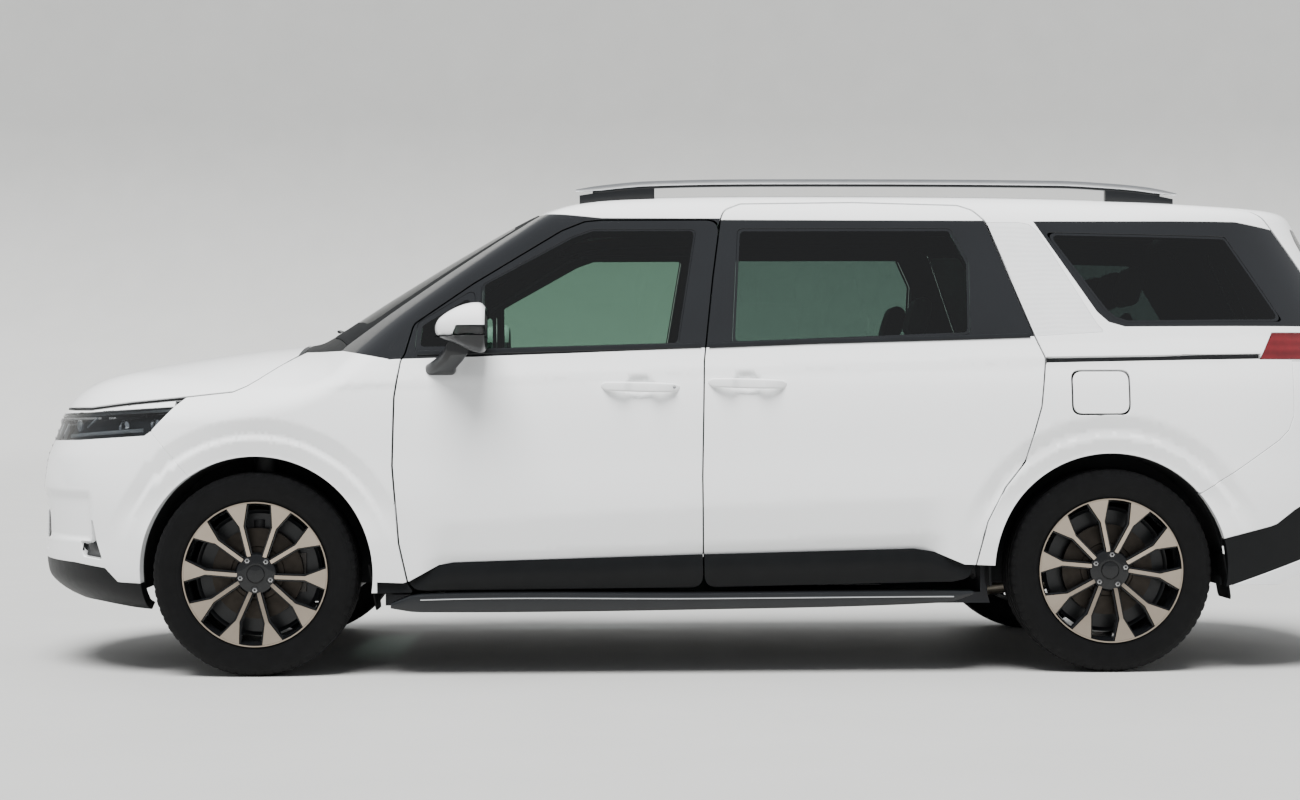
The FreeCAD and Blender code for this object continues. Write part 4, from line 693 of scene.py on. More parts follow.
# Side view outlines, shares of the wheelbase behind the front axle and of the height
outline = {
    "frontDoor": [(0.1692, 0.6262), (0.1742, 0.6415), (0.1831, 0.7009), (0.2518, 0.7817), (0.3573, 0.8909),
                  (0.3845, 0.9095), (0.4047, 0.9128), (0.5456, 0.9128), (0.5357, 0.7943), (0.5241, 0.6235),
                  (0.5212, 0.3948), (0.5225, 0.1706), (0.2012, 0.1672), (0.1861, 0.1701), (0.178, 0.1829),
                  (0.1678, 0.2632), (0.1605, 0.4173), (0.1625, 0.5543)],
    "slidingDoor": [(0.5456, 0.9128), (0.5500, 0.9330), (0.5700, 0.9470), (0.7046, 0.9500), (0.8302, 0.9430),
                    (0.8471, 0.9322), (0.861, 0.9096), (0.9135, 0.6725), (0.9249, 0.6268), (0.9183, 0.5314),
                    (0.8991, 0.4224), (0.8749, 0.371), (0.8541, 0.302), (0.8408, 0.2158), (0.8324, 0.1889),
                    (0.8137, 0.1801), (0.5225, 0.1706), (0.5212, 0.3948), (0.5241, 0.6235), (0.5357, 0.7943)],
    "quarterLight": [(0.1880, 0.7040), (0.2554, 0.7738), (0.2545, 0.6473), (0.1850, 0.6450)],
    "dropGlass": [(0.264, 0.7822), (0.3692, 0.8787), (0.3928, 0.8931), (0.5169, 0.8934), (0.4941, 0.6582),
                  (0.2641, 0.6479)],
    "slidingGlass": [(0.5658, 0.8944), (0.8192, 0.8943), (0.8399, 0.8226), (0.8377, 0.676), (0.557, 0.6583)],
    "rearGlass": [(0.9323, 0.8852), (1.1498, 0.8763), (1.215, 0.7021), (1.0245, 0.6993), (1.0093, 0.7072),
                  (0.998, 0.7251)],
    "fender": [(-0.0959, 0.5368), (-0.0836, 0.555), (-0.0281, 0.5648), (-0.0136, 0.5761), (-0.0028, 0.589),
               (0.0202, 0.6212), (0.0434, 0.6491), (0.0960, 0.6491), (0.1680, 0.6262), (0.1613, 0.5543),
               (0.1593, 0.4173), (0.1666, 0.2632), (0.1768, 0.1829), (0.1850, 0.1651), (0.13, 0.1651),
               (-0.05, 0.30), (-0.0753, 0.394), (-0.1234, 0.4874)],
    "rearBumper": [(0.95, 0.20), (1.05, 0.3575), (1.107, 0.3575), (1.1597, 0.4157), (1.201, 0.4628),
                   (1.2128, 0.4824), (1.2199, 0.5118), (1.222, 0.6213), (1.45, 0.6213), (1.45, 0.235),
                   (1.235, 0.226), (1.131, 0.166), (1.10, 0.150), (0.95, 0.145)],
    "tailLamp": [(1.181, 0.6254), (1.1985, 0.6784), (1.45, 0.6810), (1.45, 0.6254)],
    "fuelFlap": [(0.9544, 0.6027), (1.0216, 0.6027), (1.0216, 0.5153), (0.9544, 0.5153)],
    "darkFront": [(0.05, 0.6285), (0.1317, 0.6285), (0.2296, 0.6331), (0.358, 0.6403), (0.5242, 0.6511),
                  (0.60, 0.6552), (0.60, 1.0), (0.05, 1.0)],
    "darkSliding": [(0.48, 0.6489), (0.5242, 0.6511), (0.9135, 0.6725), (0.95, 0.6745), (0.95, 0.9087),
                    (0.861, 0.9096), (0.56, 0.9122), (0.48, 0.9130)],
    "darkRear": [(0.9190, 0.9080), (1.165, 0.9075), (1.1985, 0.8980), (1.40, 0.840), (1.40, 0.6925),
                 (1.2150, 0.6925), (1.0210, 0.6915), (1.0020, 0.7010), (0.9890, 0.7215)],
    "claddingTop": [(0.1421, 0.1867), (0.1722, 0.1847), (0.1797, 0.1886), (0.2137, 0.2201), (0.2304, 0.2246),
                    (0.2478, 0.2257), (0.5213, 0.2384), (0.7685, 0.2479), (0.7923, 0.242), (0.8271, 0.217),
                    (0.8663, 0.2143)],
    "rearTrim": [(0.8627, 0.9057), (0.9004, 0.9058), (0.9133, 0.9016), (0.9235, 0.8864), (0.9402, 0.8388),
                 (0.987, 0.6992), (0.9956, 0.6805), (0.9167, 0.6725)],
    "railSlot": [(0.9258, 0.6308), (1.1814, 0.6359), (1.1811, 0.6260), (0.9255, 0.6189)],
    "frontBumper": [(-0.36, 0.529), (-0.2107, 0.529), (-0.152, 0.5399), (-0.0959, 0.5480), (-0.0959, 0.5368),
               (-0.1234, 0.4874), (-0.0753, 0.394), (-0.05, 0.30), (-0.05, 0.126), (-0.36, 0.126)],
    "headlamp": [(-0.36, 0.5180), (-0.2097, 0.5261), (-0.0959, 0.5368), (-0.1234, 0.4874), (-0.131, 0.4789),
               (-0.2209, 0.4698), (-0.36, 0.4650)],
    "frontLower": [(-0.36, 0.225), (-0.2268, 0.2204), (-0.1829, 0.2121), (-0.1659, 0.1846), (-0.05, 0.1800),
               (-0.05, 0.10), (-0.36, 0.10)],
    "airCurtain": [(-0.2010, 0.3080), (-0.1986, 0.3080), (-0.1935, 0.2650), (-0.1865, 0.2290),
               (-0.2130, 0.2340), (-0.2175, 0.2660), (-0.2010, 0.2650)],
    "rearLower": [(1.00, 0.2400), (1.1248, 0.2631), (1.1947, 0.2922), (1.2238, 0.3281), (1.45, 0.3281),
               (1.45, 0.10), (1.00, 0.10)],
    "pillarDark": [(0.0434, 0.6285), (0.0434, 0.70), (0.20, 0.90), (0.27, 0.9400), (0.3018, 0.9330),
               (0.36, 0.9250), (0.4047, 0.9165), (0.58, 0.9150), (0.58, 0.6535), (0.5242, 0.6511),
               (0.358, 0.6403), (0.2296, 0.6331), (0.1317, 0.6285)],
}
cladding = sidePlaces(outline["claddingTop"])
cladding += [(cladding[-1][0], 0.20), (cladding[0][0], 0.20)]

corner = {"door": 0.045, "glass": 0.022, "flap": 0.035, "panel": 0.012}
gap = car["panelGap"]


# An outline in side view, moved by a margin and with its corners rounded
def sideShape(name, margin=0.0, radius=0.0):
    points = sidePlaces(outline[name])
    return softened(grown(points, margin) if margin else points, radius)


def archShape(axle, radius=car["archRadius"]):
    turns = turnsOf(220)
    return np.stack([axle + radius * np.cos(turns), axleHeight + radius * np.sin(turns)], 1)


# The stretches of a side view line that lie on the body, brought onto the skin
def onSide(shape, closed=True, pressed=True, least=0.45):
    if closed:
        shape = closedLoop(shape)
    points = fromSide(shape, pressed)
    lines, run = [], []
    for p in points:
        if p[1] > least:
            run.append(p)
        else:
            lines.append(run)
            run = []
    return [np.array(line) for line in lines + [run] if len(line) > 1]


# Where the pressed folds run between two places, so that the mesh has edges along them
def foldLines(rear, front):
    lines = []
    for name, first, last in (("foldHigh", 0.2073, 0.8078), ("foldLow", 0.2104, 0.808)):
        shares = np.linspace(first, last, 160)
        lines.append(np.stack([frontAxle - shares * wheelbase, carHeight * press[name](shares)], 1))
    shares = np.linspace(-0.03, 1.17, 260)
    for lift in (0.0, -press["beltBelow"]):
        line = carHeight * press["belt"](shares) + lift
        lines.append(np.stack([frontAxle - shares * wheelbase, line], 1))
    for axle in (frontAxle, rearAxle):
        for radius in (0.485, 0.505, 0.564):
            turns = np.linspace(0.25, math.pi - 0.25, int(radius * 130))
            lines.append(np.stack([axle + radius * np.cos(turns), axleHeight + radius * np.sin(turns)], 1))
    kept = []
    for line in lines:
        inside = (line[:, 0] > rear) & (line[:, 0] < front)
        if inside.sum() > 2:
            kept += onSide(line[inside], False)
    return kept


panel = {"spacing": 0.018, "fine": 0.012, "hem": 0.0018, "depth": 0.020, "deep": 0.086}
pane = {"drop": 0.003, "thick": 0.0045, "edgeThick": 0.005, "corner": 0.022, "spacing": 0.03, "inset": 0.0005}
bumper = {"hem": 0.0025, "depth": 0.025, "deep": 0.034, "lowerDepth": 0.03}
claddingShape = softened(cladding, 0)


# Lower cladding: a shelf at its top, a soft ridge at mid height, tucked in at the bottom
def claddingForm(points):
    top = np.interp(-points[:, 0], [-p[0] for p in cladding[:-2]], [p[1] for p in cladding[:-2]])
    down = np.clip((top - points[:, 2]) / 0.12, 0, 1)
    return np.interp(down, [0, 0.06, 0.42, 0.50, 1.0], [-0.020, -0.012, 0.0, -0.002, -0.012])


def addCladding(name, outer, body, without=(), deep=panel["deep"]):
    lines = onSide(claddingShape, True, False)
    sheet = cutSheet("side", sideFlat(fromSide(outer, False)), lines, panel["spacing"], False)
    low = keepArea(sheet, seen("side", claddingShape), without)
    lower = formPanel(sheet, low, 0, 0.002, 0.02, deep, claddingForm)
    addBoth(name, lower, [grainedBlack, seal], body)


def doorPanels(name, shape, body, darkName, windowNames, span):
    outer = sideShape(shape, -gap / 2, corner["door"])
    dark = sideShape(darkName)
    windows = [sideShape(w, 0, corner["glass"]) for w in windowNames]
    lines = onSide(dark) + onSide(claddingShape) + foldLines(*span)
    for window in windows:
        lines += onSide(window)
    sheet = cutSheet("side", sideFlat(fromSide(outer)), lines, panel["spacing"])
    metal = keepArea(sheet, [], seen("side", dark, claddingShape))
    skinForm = formPanel(sheet, metal, 0, panel["hem"], panel["depth"], panel["deep"])
    addBoth(name + "_skin", skinForm, [white, seal], body, [name + "_left"])
    rim = keepArea(sheet, seen("side", dark), [("side", w) for w in windows])
    frameForm = formPanel(sheet, rim, -0.0015, 0.0015, panel["depth"], panel["deep"])
    addBoth(name + "_frame", frameForm, [glossBlack, seal], body)
    addCladding(name + "_cladding", outer, body)


def fenderPanels():
    outer = sideShape("fender", 0, corner["panel"])
    arch = archShape(frontAxle)
    sheet = cutSheet("side", sideFlat(fromSide(outer)), onSide(arch) + onSide(claddingShape) + foldLines(1.0, 2.2),
                     panel["fine"])
    metal = keepArea(sheet, [], seen("side", arch, claddingShape))
    addBoth("fender_skin", formPanel(sheet, metal, 0, panel["hem"], 0.022), [white, seal], "body",
            ["fender_left"])
    addCladding("fender_cladding", outer, "body", seen("side", arch), 0)


print("side panels")
doorPanels("front_door", "frontDoor", "front_door_left", "darkFront", ("quarterLight", "dropGlass"), (0.0, 1.2))
doorPanels("sliding_door", "slidingDoor", "body", "darkSliding", ("slidingGlass",), (-1.3, 0.1))
fenderPanels()


plan = {
    "windscreen": [(0.064, 0.0), (0.073, 0.40), (0.100, 0.735), (0.330, 0.655), (0.325, 0.40), (0.322, 0.0)],
    "roof": [(0.327, 0.0), (0.330, 0.40), (0.335, 0.655), (0.345, 0.70), (1.169, 0.70), (1.169, 0.0)],
    "cowl": [(0.0394, 0.0), (0.0394, 0.84), (0.062, 0.84), (0.100, 0.735), (0.073, 0.40), (0.064, 0.0)],
    "sideTop": [(0.0434, 0.90), (0.0434, 0.84), (0.062, 0.84), (0.100, 0.735), (0.330, 0.655), (0.335, 0.655),
                (0.345, 0.70), (1.172, 0.70)],
}
rearView = {
    "tailgate": [(0.0, 0.352), (0.62, 0.352), (0.68, 0.385), (0.70, 0.46), (0.70, 1.06), (0.0, 1.06)],
    "tailgateGlass": [(0.0, 0.70), (0.63, 0.70), (0.645, 0.725), (0.61, 0.872), (0.585, 0.90), (0.0, 0.90)],
    "grille": [(0.0, 0.365), (0.38, 0.365), (0.45, 0.40), (0.465, 0.515), (0.0, 0.515)],
}


def planPlaces(shares):
    return [(frontAxle - behind * wheelbase, out * halfWidth) for behind, out in shares]


def bothHalves(points):
    return points + [(x, -y) for x, y in reversed(points) if y > 0]


def endShape(name, margin=0.0, radius=0.0):
    half = [(out * halfWidth, up * carHeight) for out, up in rearView[name]]
    whole = half + [(-y, z) for y, z in reversed(half) if y > 0]
    return softened(grown(whole, margin) if margin else whole, radius)


def planShape(name, margin=0.0, radius=0.0):
    whole = bothHalves(planPlaces(plan[name]))
    return softened(grown(whole, margin) if margin else whole, radius)


# Body side: pillars, roof edge and quarter panel, round to the tailgate
def bodySidePanels():
    top = fromTop(openLine(planPlaces(plan["sideTop"])))
    edge = (0.70 * halfWidth + gap / 2)
    fall = np.linspace(top[-1][2] - 0.004, 0.30 * carHeight, 110)
    rear = fromRear(np.stack([np.full(110, edge), fall], 1))
    low = sidePlaces([(1.20, 0.1722), (0.80, 0.1722), (0.1809, 0.1651), (0.1640, 0.6262), (0.0960, 0.6491),
                      (0.0434, 0.6491)])
    under = fromSide(openLine(low))
    outer = sideFlat(np.concatenate([top, rear, under]))
    arch = archShape(rearAxle)
    doors = [sideShape(door, gap / 2, corner["door"]) for door in ("frontDoor", "slidingDoor")]
    glass = sideShape("rearGlass", 0, corner["panel"])
    flap = sideShape("fuelFlap", 0.003, corner["flap"])
    rearEnd = sideShape("rearBumper", 0.0015)
    lamp = sideShape("tailLamp", 0.0015)
    slot = sideShape("railSlot")
    trim = sideShape("rearTrim", 0, 0.004)
    darkFront = softened(sidePlaces(outline["pillarDark"]), 0)
    darkRear = sideShape("darkRear")
    lid = sideShape("fuelFlap", -0.003, corner["flap"])
    marks = [arch, glass, flap, lid, rearEnd, lamp, slot, trim, darkFront, darkRear, claddingShape] + doors
    lines = foldLines(-2.5, 1.4)
    for mark in marks:
        lines += onSide(mark)
    sheet = cutSheet("side", outer, lines, panel["spacing"])
    openings = seen("side", arch, glass, flap, rearEnd, lamp, slot, claddingShape, *doors)
    others = seen("side", trim, darkFront, darkRear)
    bare = keepArea(sheet, [], openings + others)
    metal = formPanel(sheet, bare, 0, panel["hem"], panel["depth"], panel["deep"])
    addBoth("quarter_skin", metal, [white, seal], "body", ["body_side_left"])
    silver = formPanel(sheet, keepArea(sheet, seen("side", trim), openings), -0.0005, 0.0018, panel["depth"])
    addBoth("rear_pillar_trim", silver, [texturedTrim], "body")
    dark = [keepArea(sheet, seen("side", darkFront), openings),
            keepArea(sheet, seen("side", darkRear), openings + seen("side", trim))]
    films = [formPanel(sheet, area, -0.001, 0.0015, panel["depth"], 0.05) for area in dark]
    addBoth("pillar_film", joinForms(films), [glossBlack, seal], "body")
    groove = formPanel(sheet, keepArea(sheet, seen("side", slot), []), -0.016, 0.001, 0.02)
    addBoth("door_rail_groove", groove, [satinBlack], "body")
    cap = formPanel(sheet, keepArea(sheet, seen("side", lid), []), 0, 0.0018, 0.010)
    addPiece("fuel_flap_lid", cap, [white], "fuel_flap", ["fuel_flap"])
    addPiece("fuel_flap_blank", mirrored(cap), [white], "body")


def roofPanel():
    sheet = cutSheet("top", planShape("roof", -0.0005), (), 0.03)
    form = formPanel(sheet, sheet["triangles"], 0, panel["hem"], panel["depth"], 0.043)
    addPiece("roof_skin", form, [white, headlining], "body", ["roof_panel"])


# Bonnet: its edge in side view, and lines that run forward over it, which the mesh keeps as edges
bonnet = {"edge": [(0.0345, 0.6410), (0.0202, 0.6212), (-0.0028, 0.589), (-0.0136, 0.5761), (-0.0281, 0.5648),
                   (-0.0836, 0.555), (-0.152, 0.5449), (-0.2107, 0.534)],
          "folds": [((-0.02, 0.50), (-0.24, 0.40))]}


def bonnetPanel():
    line = [(behind, up + gap / carHeight) for behind, up in bonnet["edge"]]
    side = fromSide(openLine(sidePlaces(line)))
    front = np.linspace(side[-1][1], 0, 60)
    nose = fromFront(np.stack([front, np.full(60, 0.534 * carHeight + gap)], 1))[1:]
    back = np.linspace(0, side[0][1], 70)
    rear = fromTop(np.stack([np.full(70, side[0][0]), back], 1))[:-1]
    rim = np.concatenate([side, nose, nose[:-1][::-1] * otherSide, side[::-1] * otherSide])
    loop = np.concatenate([rim, rear[1:][::-1] * otherSide, rear])
    folds = bothSideLines([fromTop(openLine(planPlaces(fold), 0.02)) for fold in bonnet["folds"]])
    sheet = cutSheet("side", sideFlat(loop), folds, 0.022)
    form = formPanel(sheet, sheet["triangles"], 0, 0.003, 0.022)
    addPiece("bonnet_skin", form, [white, seal], "bonnet", ["bonnet"])
    strip = []
    for at, normal, run in zip(rim, skinNormals(rim), np.gradient(rim, axis=0)):
        across = np.cross(run / np.linalg.norm(run), normal)
        flat = roundedLoop(0.012, 0.006, 0.002, 2)
        strip.append(at - normal * 0.009 + flat[:, :1] * across + flat[:, 1:] * normal)
    addPiece("bonnet_seal", loft(strip), [seal], "body", sharp=40)


# Glass of a screen: a clear middle and a slightly thicker printed edge, set below the skin
def glassForms(sheet, view, inner):
    clear, edge = keepArea(sheet, [(view, inner)]), keepArea(sheet, [], [(view, inner)])
    return (formPanel(sheet, clear, -pane["drop"], 0.0001, pane["thick"]),
            formPanel(sheet, edge, -pane["drop"], 0.0005, pane["edgeThick"]))


def screenPanels():
    inner = planShape("windscreen", -0.090, 0.05)
    sheet = cutSheet("top", planShape("windscreen", -pane["inset"]), [fromTop(inner)], pane["spacing"])
    clear, edge = glassForms(sheet, "top", inner)
    addPiece("windscreen_glass", clear, [screenGlass], "body", ["windscreen"])
    addPiece("windscreen_frit", edge, [screenBand], "body")
    cowl = cutSheet("top", planShape("cowl", -0.0005), (), 0.02)
    tray = formPanel(cowl, cowl["triangles"], -0.004, 0.002, 0.02)
    addPiece("cowl_tray", tray, [grainedBlack], "body", ["cowl"])


# Rear: tailgate with its window, bumper and lamps
def seamOnRoof():
    return frontAxle - 1.172 * wheelbase - gap - gap / 2


def tailgatePanels():
    edge = 0.70 * halfWidth - gap / 2
    across = np.linspace(edge, -edge, 90)
    roof = fromTop(np.stack([np.full(90, seamOnRoof()), across], 1))
    shape = endShape("tailgate", -gap / 2, 0.04)
    shape = shape[shape[:, 1] < roof[0][2] - 0.01]
    start = int(np.argmax(shape[:, 1] * (shape[:, 0] < 0)))
    shape = np.roll(shape, -start, axis=0)
    if shape[1][1] > shape[0][1] or shape[-1][0] < 0:
        shape = np.roll(shape[::-1], 1, axis=0)
    rear = fromRear(shape)
    outer = gateFlat(np.concatenate([roof, rear]))
    window = endShape("tailgateGlass", 0, corner["glass"])
    plate = softened([(-0.30, 0.80), (0.30, 0.80), (0.28, 0.955), (-0.28, 0.955)], 0.02)
    sheet = cutSheet("gate", outer, [fromRear(closedLoop(window)), fromRear(closedLoop(plate))], 0.02)
    metal = formPanel(sheet, keepArea(sheet, [], seen("rear", window, plate)), 0, panel["hem"],
                      panel["depth"], 0.058)
    addPiece("tailgate_skin", metal, [white, cabinPlastic], "tailgate", ["tailgate"])
    recess = formPanel(sheet, keepArea(sheet, seen("rear", plate)), -0.014, 0.002, 0.02)
    addPiece("tailgate_plate_recess", recess, [grainedBlack], "tailgate")
    inner = endShape("tailgateGlass", -0.05, 0.04)
    outer = gateFlat(fromRear(endShape("tailgateGlass", -pane["inset"], corner["glass"])))
    glass = cutSheet("gate", outer, [fromRear(closedLoop(inner))], pane["spacing"])
    clear, frit = glassForms(glass, "rear", inner)
    addPiece("tailgate_glass_pane", clear, [privacyGlass], "tailgate", ["tailgate_glass"])
    addPiece("tailgate_frit", frit, [glossBlack], "tailgate")


# A band of a chart between two shares of the height, to an equal reach on both sides
def endBand(low, high, reach):
    low, high = low * carHeight, high * carHeight
    wide, tall = int(2 * reach / 0.03), int((high - low) / 0.03)
    a, b = np.linspace(-reach, reach, wide), np.linspace(low, high, tall)
    return np.concatenate([np.stack([a, np.full(wide, low)], 1), np.stack([np.full(tall - 1, reach), b[1:]], 1),
                           np.stack([a[::-1][1:], np.full(wide - 1, high)], 1),
                           np.stack([np.full(tall - 2, -reach), b[::-1][1:-1]], 1)])


# A side view line carried round the nose or the tail, by the height it has at each depth
def roundLine(chart, line, reach, count=160):
    rays = charts[chart][0]
    turns = np.linspace(-reach, reach, count)
    line = sorted(line)
    places, heights = [p[0] for p in line], [p[1] for p in line]
    up = np.full(count, heights[-1])
    for _ in range(6):
        points = reachSkin(*rays(np.stack([turns, up], 1)))
        up = np.interp(points[:, 0], places, heights)
    return points


def bothSideLines(lines):
    return lines + [line * otherSide for line in lines]


def rearBumperPanels():
    shape = sideShape("rearBumper")
    arch = archShape(rearAxle)
    gate = endShape("tailgate", gap / 2, 0.04)
    lower = softened(sidePlaces(outline["rearLower"]), 0)
    lines = bothSideLines(onSide(shape) + onSide(arch))
    lines += [fromRear(gate[gate[:, 1] < 0.70 * carHeight]),
              roundLine("tail", sidePlaces(outline["rearLower"][:4]), 1.25)]
    sheet = cutSheet("tail", endBand(0.146, 0.6213, 1.30), lines, 0.02)
    holes = [("side", arch), ("rear", gate)]
    metal = keepArea(sheet, seen("side", shape), holes + seen("side", lower))
    skinForm = formPanel(sheet, metal, 0, bumper["hem"], bumper["depth"], bumper["deep"])
    addPiece("rear_bumper_skin", skinForm, [white, seal], "body", ["rear_bumper"])
    black = keepArea(sheet, seen("side", shape, lower), holes)
    lowerForm = formPanel(sheet, black, -0.002, 0.002, bumper["lowerDepth"])
    addPiece("rear_bumper_lower", lowerForm, [grainedBlack], "body")


def tailLampPanels():
    lamp = sideShape("tailLamp")
    gate = endShape("tailgate", gap / 2, 0.04)
    lines = bothSideLines(onSide(lamp, True, True, 0.3)) + [fromRear(gate[gate[:, 1] < 0.75 * carHeight])]
    sheet = cutSheet("tail", endBand(0.62, 0.685, 1.15), lines, 0.01)
    lens = keepArea(sheet, seen("side", lamp), seen("rear", gate))
    addPiece("tail_lamp_lenses", formPanel(sheet, lens, -0.001, 0.003, 0.03, 0, lampRidges), [redLens], "body",
             ["tail_lamps"])


def lampRidges(points):
    return 0.0015 * np.cos((points[:, 2] - 0.6254 * carHeight) / 0.0165 * math.pi)


def frontPanels():
    shape = sideShape("frontBumper")
    lamp = sideShape("headlamp")
    arch = archShape(frontAxle)
    grille = endShape("grille", 0, corner["panel"])
    lower = softened(sidePlaces(outline["frontLower"]), 0)
    inlet = softened([(-0.44, 0.435), (0.44, 0.435), (0.48, 0.59), (-0.48, 0.59)], 0.03)
    curtain = softened(sidePlaces(outline["airCurtain"]), 0.008)
    lines = bothSideLines(onSide(shape) + onSide(arch) + onSide(lamp) + onSide(curtain, True, True, 0.2))
    lines += [fromFront(closedLoop(grille)), fromFront(closedLoop(inlet))]
    for edge in (outline["frontLower"][:5], outline["headlamp"][:3], outline["headlamp"][3:],
                 outline["frontBumper"][:4]):
        lines.append(roundLine("nose", sidePlaces(edge), 1.2))
    sheet = cutSheet("nose", endBand(0.127, 0.55, 1.25), lines, 0.018)
    holes = [("side", arch), ("rear", grille)]
    metal = keepArea(sheet, seen("side", shape), holes + seen("side", lamp, lower, curtain) + seen("rear", inlet))
    skinForm = formPanel(sheet, metal, 0, bumper["hem"], bumper["depth"], bumper["deep"])
    addPiece("front_bumper_skin", skinForm, [white, seal], "body", ["front_bumper"])
    black = keepArea(sheet, seen("side", shape, lower), holes)
    lip = formPanel(sheet, black, -0.002, 0.002, bumper["lowerDepth"])
    addPiece("front_bumper_lip", lip, [grainedBlack], "body")
    duct = keepArea(sheet, seen("side", shape, curtain), holes + seen("side", lower))
    ductForm = formPanel(sheet, duct, -0.02, 0.001, 0.03, 0, curtainForm)
    addPiece("front_air_curtains", ductForm, [satinBlack], "body")
    mesh = keepArea(sheet, [("side", shape), ("rear", inlet)], holes + seen("side", lower, curtain))
    meshForm = formPanel(sheet, mesh, -0.022, 0.001, 0.03, 0, inletForm)
    addPiece("front_lower_inlet", meshForm, [satinBlack], "body")


def curtainForm(points):
    return 0.006 * np.cos(points[:, 2] / 0.012 * math.pi)


def inletForm(points):
    return 0.008 * np.cos(points[:, 2] / 0.02 * math.pi)


# Silver polymer of the rear pillar: pale satin with fine pressed waves
def texturedSilverTrim():
    material, tree, shader = newMaterial("waved_satin_silver_polymer", "#F0F1F1", {
        "Metallic": 0.2, "Roughness": 0.34, "IOR": 1.5})
    place = placeIn(tree)
    waves = {"bands_direction": "Z", "Scale": 1000 / 9 / (2 * math.pi), "Distortion": 3.4, "Detail": 1.0,
             "Detail Scale": 0.6}
    wave = addNode(tree, "ShaderNodeTexWave", waves, {"Vector": place})
    emboss(tree, shader, 0.45, 0.0005, wave.outputs["Fac"])
    mottle(tree, shader, "#F4F5F5", "#E6E7E8", 120)
    return material


# Glass that shows the cabin, reflects at its skin, and colours what is behind it
def tintedGlass(name, tint, edge):
    material = bpy.data.materials.new(name)
    material.use_nodes = True
    material.diffuse_color = toLinear(tint)[:3] + [0.4]
    tree = material.node_tree
    shader = tree.nodes["Principled BSDF"]
    shader.inputs["Base Color"].default_value = toLinear(edge)
    shader.inputs["Metallic"].default_value = 1.0
    shader.inputs["Roughness"].default_value = 0.02
    shader.inputs["IOR"].default_value = 1.5
    through = addNode(tree, "ShaderNodeBsdfTransparent")
    place = placeIn(tree)
    cloud = addNode(tree, "ShaderNodeTexNoise", {"Scale": 2.0, "Detail": 1.0}, {"Vector": place})
    tone = addNode(tree, "ShaderNodeMix", {"data_type": "RGBA"}, {"Factor": cloud.outputs["Fac"]})
    tone.inputs[6].default_value = toLinear(tint)
    tone.inputs[7].default_value = [c * 0.94 for c in toLinear(tint)[:3]] + [1.0]
    tree.links.new(tone.outputs[2], through.inputs["Color"])
    fresnel = addNode(tree, "ShaderNodeFresnel", {"IOR": 1.5})
    mix = addNode(tree, "ShaderNodeMixShader", {}, {"Fac": fresnel.outputs["Fac"]})
    tree.links.new(through.outputs["BSDF"], mix.inputs[1])
    tree.links.new(shader.outputs["BSDF"], mix.inputs[2])
    tree.links.new(mix.outputs["Shader"], tree.nodes["Material Output"].inputs["Surface"])
    return material


# Red acrylic lens: deep red with bright ridges
redLens = finished("red_acrylic_lens", "#5A0610",
                   {"Roughness": 0.08, "IOR": 1.49, "Coat Weight": 1.0, "Coat Roughness": 0.03},
                   ("#6A0812", "#480409", 40), None, (6.0, 0.01, 1.0))

# Black ceramic band fired on the screen's edge: flat and dull, so that it stays dark at a slant
screenBand = finished("black_ceramic_screen_band", "#0C0D0E", {"Specular IOR Level": 0.1},
                      ("#0C0D0E", "#131416", 90), (0.55, 0.65, 30))

# Needled roof lining: pale, soft and without any gloss
headlining = finished("needled_grey_felt", "#A9A7A2", {"Roughness": 0.95, "Sheen Weight": 0.3},
                      ("#AEACA7", "#9E9C97", 20), None, (2.0, 0.2, 4.0))

# Moulded cabin plastic: dark grey with a fine leather grain
cabinPlastic = finished("moulded_cabin_plastic", "#2A2B2D", {"IOR": 1.49},
                        ("#28292B", "#303134", 90), (0.5, 0.62, 40), (2.0, 0.06, 2.0))


texturedTrim = texturedSilverTrim()
# Front door panes: pale green, and clear enough to show the seats
greenGlass = tintedGlass("green_tinted_glass", "#96AFA2", "#FFFFFF")
# Windscreen: a darker green, so that the dashboard stays in shade
screenGlass = tintedGlass("laminated_screen_glass", "#687A72", "#3E4244")
# Sliding door panes: grey green, a shade deeper than the front
smokedGlass = tintedGlass("grey_green_side_glass", "#82968E", "#FFFFFF")
# Rear panes: nearly black until light stands behind them
privacyGlass = tintedGlass("dark_privacy_glass", "#5C6966", "#FFFFFF")
print("body, roof, bonnet, tailgate and bumpers")
bodySidePanels()
roofPanel()
bonnetPanel()
screenPanels()
tailgatePanels()
rearBumperPanels()
tailLampPanels()
frontPanels()


# A turned form about a wheel's axis; the profile has (distance along the axis, radius, kind) rows
def turnedForm(profile, middle, steps):
    turns = turnsOf(steps)
    profile = np.array(profile, float)
    reach, along = profile[:, 1][:, None], profile[:, 0][:, None]
    points = np.stack([middle[0] + reach * np.sin(turns), middle[1] + along + 0 * turns,
                       middle[2] + reach * np.cos(turns)], 2)
    rows, faces, kinds = len(profile), [], []
    for i in range(rows - 1):
        for j in range(steps):
            k = (j + 1) % steps
            faces.append((i * steps + j, i * steps + k, (i + 1) * steps + k, (i + 1) * steps + j))
            kinds.append(int(profile[i][2]))
    return {"points": points.reshape(-1, 3), "faces": faces, "normals": None, "kinds": kinds}


# Tyre: ribs and shoulder blocks in the tread, rings and a rim guard on the wall
tyre = {"pitches": 66, "perPitch": 4, "groove": 0.007, "shoulder": 0.0028, "grooveWidth": 0.011, "radius": 0.368,
        "grooves": (-0.068, -0.024, 0.024, 0.068)}


